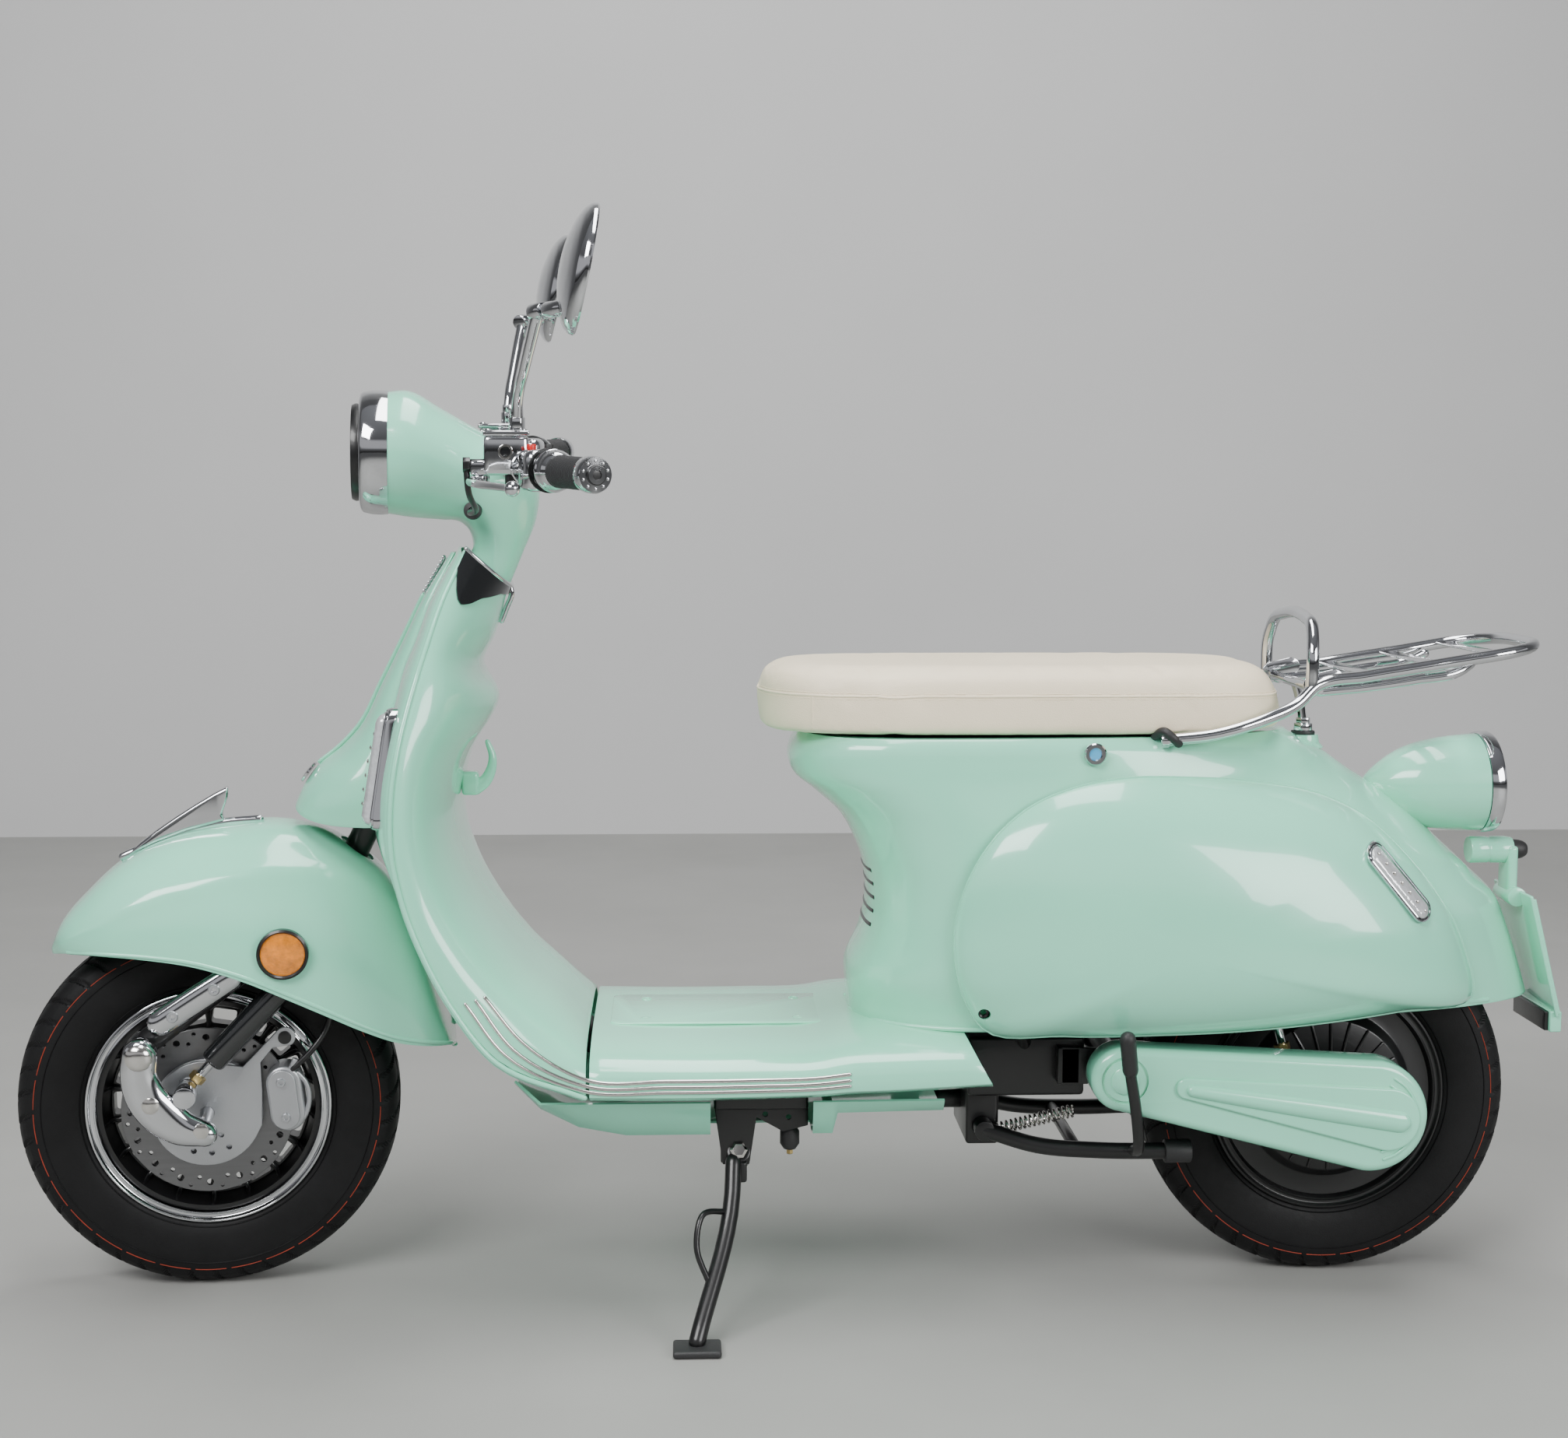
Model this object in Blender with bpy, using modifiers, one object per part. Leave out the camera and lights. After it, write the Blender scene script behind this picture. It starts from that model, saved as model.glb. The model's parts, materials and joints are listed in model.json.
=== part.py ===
"""Retro electric moped scooter: a bench-assembled model with one object for each sub-part.

Metres, +Z up, nose towards -X, the rider's left towards -Y. The origin is on the floor under the
middle of the scooter. Each moving piece hangs from an empty that stands on its joint's axis.
"""

import math

import bmesh
import bpy
from mathutils import Matrix, Vector

# Driving dimensions.
WHEEL_RADIUS = 0.216
TYRE_HALF_WIDTH = 0.045
TYRE_CROWN_HALF = 0.016
RIM_RADIUS = 0.132
FRONT_AXLE = Vector((-0.681, 0.0, 0.21665))
REAR_AXLE = Vector((0.626, 0.0, WHEEL_RADIUS))
RAKE = math.radians(26.0)
STEER_TURN = math.radians(6.4)
STEER_POINT = Vector((-0.337, 0.0, 0.860))
STEER_AXIS = Vector((math.sin(RAKE), 0.0, math.cos(RAKE)))
LINK_PIVOT = Vector((-0.746, 0.0, 0.303))
FRONT_SHOCK_TOP = Vector((-0.574, -0.081, 0.386))
FRONT_SHOCK_FOOT = Vector((-0.699, -0.081, 0.254))
SWING_PIVOT = Vector((0.361, 0.0, 0.267))
REAR_SHOCK_TOP = Vector((0.505, -0.095, 0.470))
REAR_SHOCK_FOOT = Vector((0.560, -0.095, 0.272))
SEAT_HINGE = Vector((-0.018, 0.0, 0.6520))
SIDE_STAND_PIVOT = Vector((-0.070, -0.126, 0.178))
SIDE_STAND_AXIS = Vector((0.0, -math.cos(math.radians(30)), math.sin(math.radians(30))))
CENTRE_STAND_PIVOT = Vector((0.215, 0.0, 0.188))
BAR_HEIGHT = 0.954
BAR_X = -0.328
BAR_BEND = 0.140
GRIP_START = 0.240
SWEEP = math.radians(20.0)
MIRROR_BASE_Y = 0.166
POD_Y = 0.212
POD_TOP = 0.021
IGNITION_LOCK = Vector((-0.3460, 0.0, 0.684))
SKIN = 0.003
GAP = 0.0004
WHEEL_STEPS = 36
ROUND_STEPS = 12
SLEEVE_SHARE = 0.78

COLLECTIONS = {}
MATERIALS = {}


# ---------------------------------------------------------------- scene and materials

def clear_scene():
    for obj in list(bpy.data.objects):
        bpy.data.objects.remove(obj, do_unlink=True)


def make_collections():
    for name in ("moped_scooter", "cutters"):
        collection = bpy.data.collections.new(name)
        bpy.context.scene.collection.children.link(collection)
        COLLECTIONS[name] = collection


def make_material(name, rgb, roughness, metallic=0.0):
    material = bpy.data.materials.new(name)
    material.use_nodes = True
    shader = material.node_tree.nodes["Principled BSDF"]
    shader.inputs["Base Color"].default_value = (*rgb, 1.0)
    shader.inputs["Roughness"].default_value = roughness
    shader.inputs["Metallic"].default_value = metallic
    material.diffuse_color = (*rgb, 1.0)
    MATERIALS[name] = material


def make_materials():
    make_material("mint_paint", (0.39, 0.69, 0.52), 0.22)
    make_material("black_paint", (0.02, 0.02, 0.022), 0.35)
    make_material("black_plastic", (0.03, 0.03, 0.032), 0.5)
    make_material("tyre_rubber", (0.018, 0.018, 0.018), 0.8)
    make_material("grip_rubber", (0.03, 0.03, 0.03), 0.7)
    make_material("chrome", (0.8, 0.8, 0.82), 0.08, 1.0)
    make_material("silver_alloy", (0.6, 0.61, 0.62), 0.35, 1.0)
    make_material("disc_steel", (0.45, 0.45, 0.46), 0.3, 1.0)
    make_material("cream_vinyl", (0.74, 0.66, 0.52), 0.55)
    make_material("clear_lens", (0.85, 0.87, 0.88), 0.08)
    make_material("red_lens", (0.6, 0.02, 0.02), 0.15)
    make_material("red_plastic", (0.7, 0.03, 0.02), 0.4)
    make_material("battery_grey", (0.12, 0.13, 0.15), 0.5)


# ---------------------------------------------------------------- building helpers

def link(obj, collection="moped_scooter"):
    COLLECTIONS[collection].objects.link(obj)
    return obj


def finish(obj, name, material):
    """Names the object and its mesh and gives it its own copy of a material."""
    obj.name = name
    obj.data.name = name
    own = MATERIALS[material].copy()
    own.name = name + "_" + material
    obj.data.materials.clear()
    obj.data.materials.append(own)
    return obj


def mesh_object(name, points, faces, collection="moped_scooter"):
    mesh = bpy.data.meshes.new(name)
    mesh.from_pydata([tuple(p) for p in points], [], faces)
    bm = bmesh.new()
    bm.from_mesh(mesh)
    bmesh.ops.remove_doubles(bm, verts=bm.verts, dist=1e-6)
    bm.to_mesh(mesh)
    bm.free()
    return link(bpy.data.objects.new(name, mesh), collection)


def grid_faces(rows, columns, wrap):
    faces = []
    for i in range(rows - 1):
        for j in range(columns if wrap else columns - 1):
            k = (j + 1) % columns
            faces.append((i * columns + j, i * columns + k, (i + 1) * columns + k, (i + 1) * columns + j))
    return faces


def face_outwards(obj):
    bm = bmesh.new()
    bm.from_mesh(obj.data)
    bmesh.ops.recalc_face_normals(bm, faces=bm.faces)
    bm.to_mesh(obj.data)
    bm.free()


def loft(name, rings, collection="moped_scooter"):
    """A closed solid through rings of equally many points, with both ends filled."""
    count = len(rings[0])
    points = [p for ring in rings for p in ring]
    faces = grid_faces(len(rings), count, True)
    faces.append(tuple(range(count)))
    faces.append(tuple(range((len(rings) - 1) * count, len(rings) * count)))
    obj = mesh_object(name, points, faces, collection)
    face_outwards(obj)
    return obj


def sheet(name, rows, wrap=False, thickness=SKIN, inwards=True):
    """An open surface through rows of points, thickened by Solidify."""
    points = [p for row in rows for p in row]
    obj = mesh_object(name, points, grid_faces(len(rows), len(rows[0]), wrap))
    solidify = obj.modifiers.new("thickness", "SOLIDIFY")
    solidify.thickness = thickness
    solidify.offset = -1.0 if inwards else 1.0
    return obj


def mirrored_rows(rows):
    """Rows that run from the rim to the middle plane, carried on to the other side."""
    return [row + [Vector((p.x, -p.y, p.z)) for p in reversed(row[:-1])] for row in rows]


def turned(name, profile, centre, axis, steps=ROUND_STEPS, closed=True, phase=0.0):
    """A profile of (radius, height) points turned about an axis through centre."""
    mesh = bpy.data.meshes.new(name)
    count = len(profile)
    edges = [(i, i + 1) for i in range(count - 1)]
    if closed:
        edges.append((count - 1, 0))
    mesh.from_pydata([(r, 0.0, h) for r, h in profile], edges, [])
    obj = link(bpy.data.objects.new(name, mesh))
    screw = obj.modifiers.new("turn", "SCREW")
    screw.axis = "Z"
    screw.steps = steps
    screw.render_steps = steps
    screw.use_merge_vertices = True
    screw.merge_threshold = 1e-5
    aim = Vector((0, 0, 1)).rotation_difference(Vector(axis))
    obj.matrix_world = Matrix.Translation(centre) @ aim.to_matrix().to_4x4() @ Matrix.Rotation(phase, 4, "Z")
    return obj


def ring_profile(inner, outer, low, high):
    return [(inner, high), (outer, high), (outer, low), (inner, low)]


def solid_profile(radii_and_heights):
    """A profile for a solid: starts and ends on the axis."""
    top, bottom = radii_and_heights[0][1], radii_and_heights[-1][1]
    return [(0.0, top)] + radii_and_heights + [(0.0, bottom)]


def rod(name, start, end, radius, sides=ROUND_STEPS, collection="moped_scooter"):
    """A straight cylinder between two points."""
    start, end = Vector(start), Vector(end)
    bm = bmesh.new()
    bmesh.ops.create_cone(bm, cap_ends=True, segments=sides, radius1=radius, radius2=radius,
                          depth=(end - start).length)
    aim = Vector((0, 0, 1)).rotation_difference(end - start).to_matrix().to_4x4()
    bmesh.ops.transform(bm, matrix=Matrix.Translation((start + end) / 2) @ aim, verts=bm.verts)
    mesh = bpy.data.meshes.new(name)
    bm.to_mesh(mesh)
    bm.free()
    return link(bpy.data.objects.new(name, mesh), collection)


def box(name, low, high, collection="moped_scooter", turn=None, bevel=0.0):
    """A box between two corners, turned about its own middle."""
    low, high = Vector(low), Vector(high)
    bm = bmesh.new()
    bmesh.ops.create_cube(bm, size=1.0)
    scale = Matrix.Diagonal((*(high - low), 1.0))
    matrix = Matrix.Translation((low + high) / 2) @ (turn or Matrix.Identity(4)) @ scale
    bmesh.ops.transform(bm, matrix=matrix, verts=bm.verts)
    mesh = bpy.data.meshes.new(name)
    bm.to_mesh(mesh)
    bm.free()
    obj = link(bpy.data.objects.new(name, mesh), collection)
    if bevel:
        edges = obj.modifiers.new("edges", "BEVEL")
        edges.width = bevel
        edges.segments = 2
    return obj


def smooth_route(points, per_span):
    """Points along a Catmull-Rom curve through the given points."""
    points = [Vector(p) for p in points]
    ends = [points[0] * 2 - points[1]] + points + [points[-1] * 2 - points[-2]]
    route = []
    for i in range(1, len(ends) - 2):
        a, b, c, d = ends[i - 1:i + 3]
        for step in range(per_span):
            t = step / per_span
            route.append(0.5 * (2 * b + (c - a) * t + (2 * a - 5 * b + 4 * c - d) * t * t
                                + (3 * b - 3 * c + d - a) * t ** 3))
    return route + [points[-1]]


def tube(name, points, radius, per_span=3, cyclic=False, collection="moped_scooter", resolution=2):
    """A round tube along a smooth route, made a mesh so that it can be joined or cut."""
    curve = bpy.data.curves.new(name, "CURVE")
    curve.dimensions = "3D"
    curve.bevel_depth = radius
    curve.bevel_resolution = resolution
    curve.use_fill_caps = True
    route = smooth_route(points, per_span) if per_span > 1 else [Vector(p) for p in points]
    spline = curve.splines.new("POLY")
    spline.points.add(len(route) - 1)
    for point, place in zip(spline.points, route):
        point.co = (*place, 1.0)
    spline.use_cyclic_u = cyclic
    holder = link(bpy.data.objects.new(name + "_curve", curve), collection)
    graph = bpy.context.evaluated_depsgraph_get()
    mesh = bpy.data.meshes.new_from_object(holder.evaluated_get(graph))
    bpy.data.objects.remove(holder, do_unlink=True)
    bm = bmesh.new()
    bm.from_mesh(mesh)
    bmesh.ops.remove_doubles(bm, verts=bm.verts, dist=1e-6)
    bmesh.ops.recalc_face_normals(bm, faces=bm.faces)
    bm.to_mesh(mesh)
    bm.free()
    return link(bpy.data.objects.new(name, mesh), collection)


def plate(name, outline, thickness, middle_y, collection="moped_scooter", bevel=0.0):
    """A flat piece in the XZ plane from an outline of (x, z) points, made a mesh."""
    curve = bpy.data.curves.new(name, "CURVE")
    curve.dimensions = "2D"
    curve.fill_mode = "BOTH"
    curve.extrude = thickness / 2
    spline = curve.splines.new("POLY")
    spline.points.add(len(outline) - 1)
    for point, (x, z) in zip(spline.points, outline):
        point.co = (x, z, 0.0, 1.0)
    spline.use_cyclic_u = True
    holder = link(bpy.data.objects.new(name + "_curve", curve), collection)
    graph = bpy.context.evaluated_depsgraph_get()
    mesh = bpy.data.meshes.new_from_object(holder.evaluated_get(graph))
    bpy.data.objects.remove(holder, do_unlink=True)
    stand = Matrix.Translation((0.0, middle_y, 0.0)) @ Matrix.Rotation(math.radians(90), 4, "X")
    bm = bmesh.new()
    bm.from_mesh(mesh)
    bmesh.ops.remove_doubles(bm, verts=bm.verts, dist=1e-6)
    bmesh.ops.transform(bm, matrix=stand, verts=bm.verts)
    bmesh.ops.recalc_face_normals(bm, faces=bm.faces)
    bm.to_mesh(mesh)
    bm.free()
    obj = link(bpy.data.objects.new(name, mesh), collection)
    if bevel:
        edges = obj.modifiers.new("edges", "BEVEL")
        edges.width = bevel
        edges.segments = 1
        edges.limit_method = "ANGLE"
    return obj


def boolean(target, others, operation):
    for other in others:
        for collection in list(other.users_collection):
            collection.objects.unlink(other)
        link(other, "cutters")
        other.hide_render = True
        other.display_type = "WIRE"
        modifier = target.modifiers.new(operation.lower(), "BOOLEAN")
        modifier.operation = operation
        modifier.solver = "EXACT"
        modifier.object = other
    return target


def join(target, *others):
    return boolean(target, others, "UNION")


def cut(target, *others):
    return boolean(target, others, "DIFFERENCE")


def arc_points(centre, radius, start_deg, end_deg, count):
    """(x, z) points on an arc."""
    return [(centre[0] + radius * math.cos(math.radians(start_deg + (end_deg - start_deg) * i / (count - 1))),
             centre[1] + radius * math.sin(math.radians(start_deg + (end_deg - start_deg) * i / (count - 1))))
            for i in range(count)]


def capsule(start, end, radius_start, radius_end, count=7):
    """(x, z) outline of a plate with round ends about two centres."""
    along = math.degrees(math.atan2(end[1] - start[1], end[0] - start[0]))
    return (arc_points(end, radius_end, along - 90, along + 90, count)
            + arc_points(start, radius_start, along + 90, along + 270, count))


def both_sides(make):
    return make(-1, "left"), make(1, "right")


# ---------------------------------------------------------------- joint empties

def joint_empty(name, place, parent=None):
    empty = link(bpy.data.objects.new(name, None))
    empty.empty_display_size = 0.05
    empty.location = place
    bpy.context.view_layer.update()
    if parent:
        attach(empty, parent)
    return empty


def attach(obj, parent):
    """Parents an object, and what its Booleans use, without moving it."""
    bpy.context.view_layer.update()
    keep = obj.matrix_world.copy()
    obj.parent = parent
    obj.matrix_parent_inverse = parent.matrix_world.inverted()
    obj.matrix_world = keep
    for modifier in obj.modifiers:
        if modifier.type == "BOOLEAN" and modifier.object.parent is None:
            attach(modifier.object, parent)


def on_steering(z, offset=0.0):
    """A point on the steering axis at height z, moved backwards in the middle plane by offset."""
    along = (z - STEER_POINT.z) / STEER_AXIS.z
    back = Vector((math.cos(RAKE), 0.0, -math.sin(RAKE)))
    return STEER_POINT + STEER_AXIS * along + back * offset


# ---------------------------------------------------------------- outer panels

def superellipse_half(front, rear, half_width, waist, powers, per_quarter):
    """Half of a plan outline from the front middle to the rear middle, as (x, y) with y negative."""
    front_m, front_n, rear_m, rear_n = powers
    middle = front + waist * (rear - front)
    points = []
    for i in range(per_quarter + 1):
        turn = math.radians(90 * i / per_quarter)
        points.append((middle - (middle - front) * math.cos(turn) ** (2 / front_m),
                       -half_width * math.sin(turn) ** (2 / front_n)))
    for i in range(1, per_quarter + 1):
        turn = math.radians(90 * i / per_quarter)
        points.append((middle + (rear - middle) * math.sin(turn) ** (2 / rear_m),
                       -half_width * max(math.cos(turn), 0.0) ** (2 / rear_n)))
    return points


BODY_POWERS = (3.2, 2.5, 2.6, 1.8)
BODY_WAIST = 0.30
# Height, front, rear and half width of the rear body, from its lower edge to the seat.
BODY_LEVELS = [
    (0.334, 0.060, 0.872, 0.150), (0.372, 0.058, 0.860, 0.160), (0.409, 0.074, 0.847, 0.166),
    (0.445, 0.082, 0.832, 0.167), (0.484, 0.080, 0.794, 0.164), (0.520, 0.068, 0.755, 0.159),
    (0.552, 0.050, 0.722, 0.154), (0.581, 0.018, 0.680, 0.149), (0.602, -0.006, 0.646, 0.146),
    (0.622, -0.010, 0.618, 0.144), (0.640, -0.003, 0.585, 0.141), (0.648, 0.004, 0.572, 0.136),
]


def level_at(z):
    """Front, rear and half width of the rear body at height z."""
    for low, high in zip(BODY_LEVELS, BODY_LEVELS[1:]):
        if z <= high[0]:
            share = max(0.0, (z - low[0]) / (high[0] - low[0]))
            return [a + share * (b - a) for a, b in zip(low[1:], high[1:])]
    return list(BODY_LEVELS[-1][1:])


def body_half_width(x, z):
    """How far the rear body's side stands from the middle plane."""
    front, rear, half = level_at(z)
    middle = front + BODY_WAIST * (rear - front)
    front_m, front_n, rear_m, rear_n = BODY_POWERS
    if x < middle:
        share = min(1.0, (middle - x) / (middle - front))
        return half * (1 - share ** front_m) ** (1 / front_n)
    share = min(1.0, (x - middle) / (rear - middle))
    return half * (1 - share ** rear_m) ** (1 / rear_n)


def closed_ring(half, z):
    other = [(x, -y) for x, y in reversed(half[1:-1])]
    return [Vector((x, y, z)) for x, y in half + other]


LAMP_START = Vector((0.700, 0.0, 0.577))
LAMP_AIM = Vector((1.0, 0.0, 0.035)).normalized()


def body_shell():
    rows = []
    for z, front, rear, half_width in BODY_LEVELS:
        rows.append(closed_ring(superellipse_half(front, rear, half_width, BODY_WAIST, BODY_POWERS, 6), z))
    flange = superellipse_half(0.020, 0.545, 0.122, BODY_WAIST, BODY_POWERS, 6)
    rows.append(closed_ring(flange, 0.6485))
    body = sheet("body_shell", rows, wrap=True)
    hole_profile = solid_profile([(0.0140, -0.060), (0.0140, -0.002), (0.0225, 0.008), (0.0325, 0.028),
                                  (0.0425, 0.048), (0.0515, 0.073), (0.0560, 0.098)][::-1])
    lamp_hole = turned("tail_lamp_hole", hole_profile, LAMP_START, LAMP_AIM, 20, closed=False)
    return finish(cut(body, lamp_hole), "body_shell", "mint_paint")


COWL_RIM = [
    (0.198, 0.338), (0.176, 0.372), (0.167, 0.418), (0.172, 0.464), (0.190, 0.512), (0.216, 0.548),
    (0.250, 0.576), (0.300, 0.597), (0.362, 0.607), (0.430, 0.606), (0.500, 0.600), (0.589, 0.583),
    (0.645, 0.556), (0.690, 0.516), (0.725, 0.465), (0.748, 0.412), (0.758, 0.356), (0.690, 0.350), (0.600, 0.342),
    (0.500, 0.336), (0.400, 0.334), (0.290, 0.334),
]
COWL_MIDDLE = (0.420, 0.415)
COWL_PEAK = 0.212


def cowl_point(rim, share, side):
    x = COWL_MIDDLE[0] + share * (rim[0] - COWL_MIDDLE[0])
    z = COWL_MIDDLE[1] + share * (rim[1] - COWL_MIDDLE[1])
    edge = body_half_width(rim[0], rim[1]) + 0.0065
    rise = (1 - share ** 2.4) ** 0.6 if share < 1 else 0.0
    return Vector((x, side * (edge + (COWL_PEAK - edge) * rise), z))


def cowl(side, hand):
    rows = [[cowl_point(rim, share, side) for rim in COWL_RIM] for share in (1.0, 0.97, 0.88, 0.7, 0.45)]
    name = "cowl_" + hand
    middle = Vector((COWL_MIDDLE[0], side * COWL_PEAK, COWL_MIDDLE[1]))
    count = len(COWL_RIM)
    points = [p for row in rows for p in row] + [middle]
    faces = grid_faces(len(rows), count, True)
    last = (len(rows) - 1) * count
    faces += [(last + j, last + (j + 1) % count, last + count) for j in range(count)]
    obj = mesh_object(name, points, faces)
    solidify = obj.modifiers.new("thickness", "SOLIDIFY")
    solidify.thickness = SKIN
    solidify.offset = -side
    return finish(obj, name, "mint_paint")


# Rider-side middle line, side rim, front middle line and half width of the leg shield, top to floor.
SHIELD_STATIONS = [
    ((-0.330, 0.812), (-0.375, 0.852), (-0.386, 0.858), 0.060),
    ((-0.347, 0.757), (-0.398, 0.794), (-0.418, 0.800), 0.120),
    ((-0.362, 0.722), (-0.410, 0.752), (-0.434, 0.757), 0.150),
    ((-0.350, 0.690), (-0.419, 0.720), (-0.448, 0.724), 0.168),
    ((-0.353, 0.668), (-0.427, 0.690), (-0.456, 0.695), 0.180),
    ((-0.378, 0.618), (-0.437, 0.645), (-0.468, 0.648), 0.195),
    ((-0.388, 0.565), (-0.4445, 0.585), (-0.482, 0.590), 0.205),
    ((-0.386, 0.530), (-0.4445, 0.540), (-0.478, 0.545), 0.208),
    ((-0.371, 0.483), (-0.433, 0.480), (-0.436, 0.482), 0.208),
    ((-0.345, 0.436), (-0.411, 0.421), (-0.413, 0.419), 0.208),
    ((-0.307, 0.387), (-0.381, 0.364), (-0.380, 0.357), 0.206),
    ((-0.270, 0.352), (-0.335, 0.305), (-0.333, 0.299), 0.204),
    ((-0.238, 0.316), (-0.240, 0.264), (-0.238, 0.255), 0.200),
]


def shield_roundness(index):
    return 0.95 - 0.4 * (index / (len(SHIELD_STATIONS) - 1)) ** 2


def inner_shield():
    rows = []
    for index, (rider, rim, front, half) in enumerate(SHIELD_STATIONS):
        power = shield_roundness(index)
        row = []
        for step in range(7):
            turn = math.radians(90 * step / 6)
            share = math.sin(turn) ** power if step else 0.0
            row.append(Vector((rim[0] + 0.002 + (rider[0] - rim[0] - 0.002) * share,
                               -half * max(math.cos(turn), 0.0) ** power,
                               rim[1] + 0.003 + (rider[1] - rim[1] - 0.003) * share)))
        rows.append(row)
    shield = sheet("inner_shield", mirrored_rows(rows), inwards=False)
    base = box("hook_base", (-0.3890, -0.012, 0.572), (-0.366, 0.012, 0.598))
    horn = tube("hook_horn", [(-0.3690, 0, 0.583), (-0.356, 0, 0.598), (-0.354, 0, 0.614), (-0.358, 0, 0.629)],
                0.006, 2)
    return finish(join(shield, base, horn), "inner_shield", "mint_paint")


def apron_point(station, turn):
    rider, rim, front, half = station
    share = math.sin(turn) ** 1.15
    return Vector((rim[0] - 0.002 + (front[0] - rim[0] + 0.002) * share,
                   -half * max(math.cos(turn), 0.0) ** 1.15,
                   rim[1] - 0.003 + (front[1] - rim[1] + 0.003) * share))


def apron():
    rows = [[apron_point(station, math.radians(90 * step / 6)) for step in range(7)]
            for station in SHIELD_STATIONS]
    shell = sheet("apron", mirrored_rows(rows), inwards=True)
    stem_way = rod("stem_way", on_steering(0.440), on_steering(0.700), 0.034, 16)
    return finish(cut(shell, stem_way), "apron", "mint_paint")


# Ridge line and half width of the horn cover, top to nose.
HORN_STATIONS = [
    ((-0.396, 0.852), 0.022), ((-0.428, 0.801), 0.034), ((-0.450, 0.756), 0.042), ((-0.477, 0.702), 0.052),
    ((-0.503, 0.652), 0.062), ((-0.524, 0.629), 0.068), ((-0.549, 0.609), 0.073), ((-0.567, 0.586), 0.076),
    ((-0.578, 0.563), 0.076),
]


def apron_front_at(z, y):
    """How far forward the apron's face stands at height z and |y|."""
    best = None
    for low, high in zip(SHIELD_STATIONS, SHIELD_STATIONS[1:]):
        if high[2][1] <= z <= low[2][1]:
            share = (z - high[2][1]) / (low[2][1] - high[2][1])
            rim = high[1][0] + share * (low[1][0] - high[1][0])
            front = high[2][0] + share * (low[2][0] - high[2][0])
            half = high[3] + share * (low[3] - high[3])
            best = rim + (front - rim) * (1 - min(1.0, y / half) ** 1.74) ** 0.575
    return best


def horn_cover():
    rows = []
    for (x, z), half in HORN_STATIONS:
        back = apron_front_at(min(z, 0.857), half) - 0.0080
        row = []
        for step in range(6):
            turn = math.radians(90 * step / 5)
            row.append(Vector((back + (x - back) * math.sin(turn) ** 0.8,
                               -half * max(math.cos(turn), 0.0), z - 0.02 * math.cos(turn) * (0.86 - z) / 0.3)))
        rows.append(row)
    return finish(sheet("horn_cover", mirrored_rows(rows), inwards=True, thickness=0.0025), "horn_cover",
                  "mint_paint")


def floorboard():
    """Stations of (x, top height, lip height, half width)."""
    stations = [(-0.2345, 0.316, 0.264, 0.200), (-0.150, 0.314, 0.263, 0.201), (-0.050, 0.314, 0.264, 0.202),
                (0.020, 0.316, 0.266, 0.202), (0.050, 0.322, 0.268, 0.201), (0.090, 0.324, 0.269, 0.200),
                (0.200, 0.324, 0.274, 0.196)]
    rows = []
    for x, top, lip, half in stations:
        row = [Vector((x, -half + 0.012, lip - 0.006))]
        for step in range(7):
            turn = math.radians(90 * step / 6)
            row.append(Vector((x, -half * max(math.cos(turn), 0.0) ** 0.55,
                               lip + (top - lip) * math.sin(turn) ** 0.55 if step else lip)))
        rows.append(row)
    return finish(sheet("floorboard", mirrored_rows(rows), inwards=False), "floorboard", "mint_paint")


def belly_pan():
    profile = [(-0.318, 0.262), (-0.290, 0.234), (-0.248, 0.213), (-0.195, 0.203), (0.034, 0.203),
               (0.040, 0.226), (0.158, 0.228)]
    rows = []
    for x, z in profile:
        rim = max(z + 0.012, 0.248)
        rows.append([Vector((x, -0.168, rim)), Vector((x, -0.155, z + 0.006)), Vector((x, -0.130, z)),
                     Vector((x, 0.0, z))])
    pan = sheet("belly_pan", mirrored_rows(rows))
    bracket_way = box("bracket_way", (-0.102, -0.200, 0.190), (0.012, -0.090, 0.300))
    skid_way = box("skid_way", (0.095, -0.018, 0.190), (0.220, 0.018, 0.300))
    return finish(cut(pan, bracket_way, skid_way), "belly_pan", "mint_paint")


# ---------------------------------------------------------------- frame and inner pieces

def side_stand_room():
    """Room for the side stand's eye, cut from the plate that carries its pin."""
    start = SIDE_STAND_PIVOT - SIDE_STAND_AXIS * 0.0004
    return rod("side_stand_room", start, start + SIDE_STAND_AXIS * 0.03, 0.0145, 16)


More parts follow.
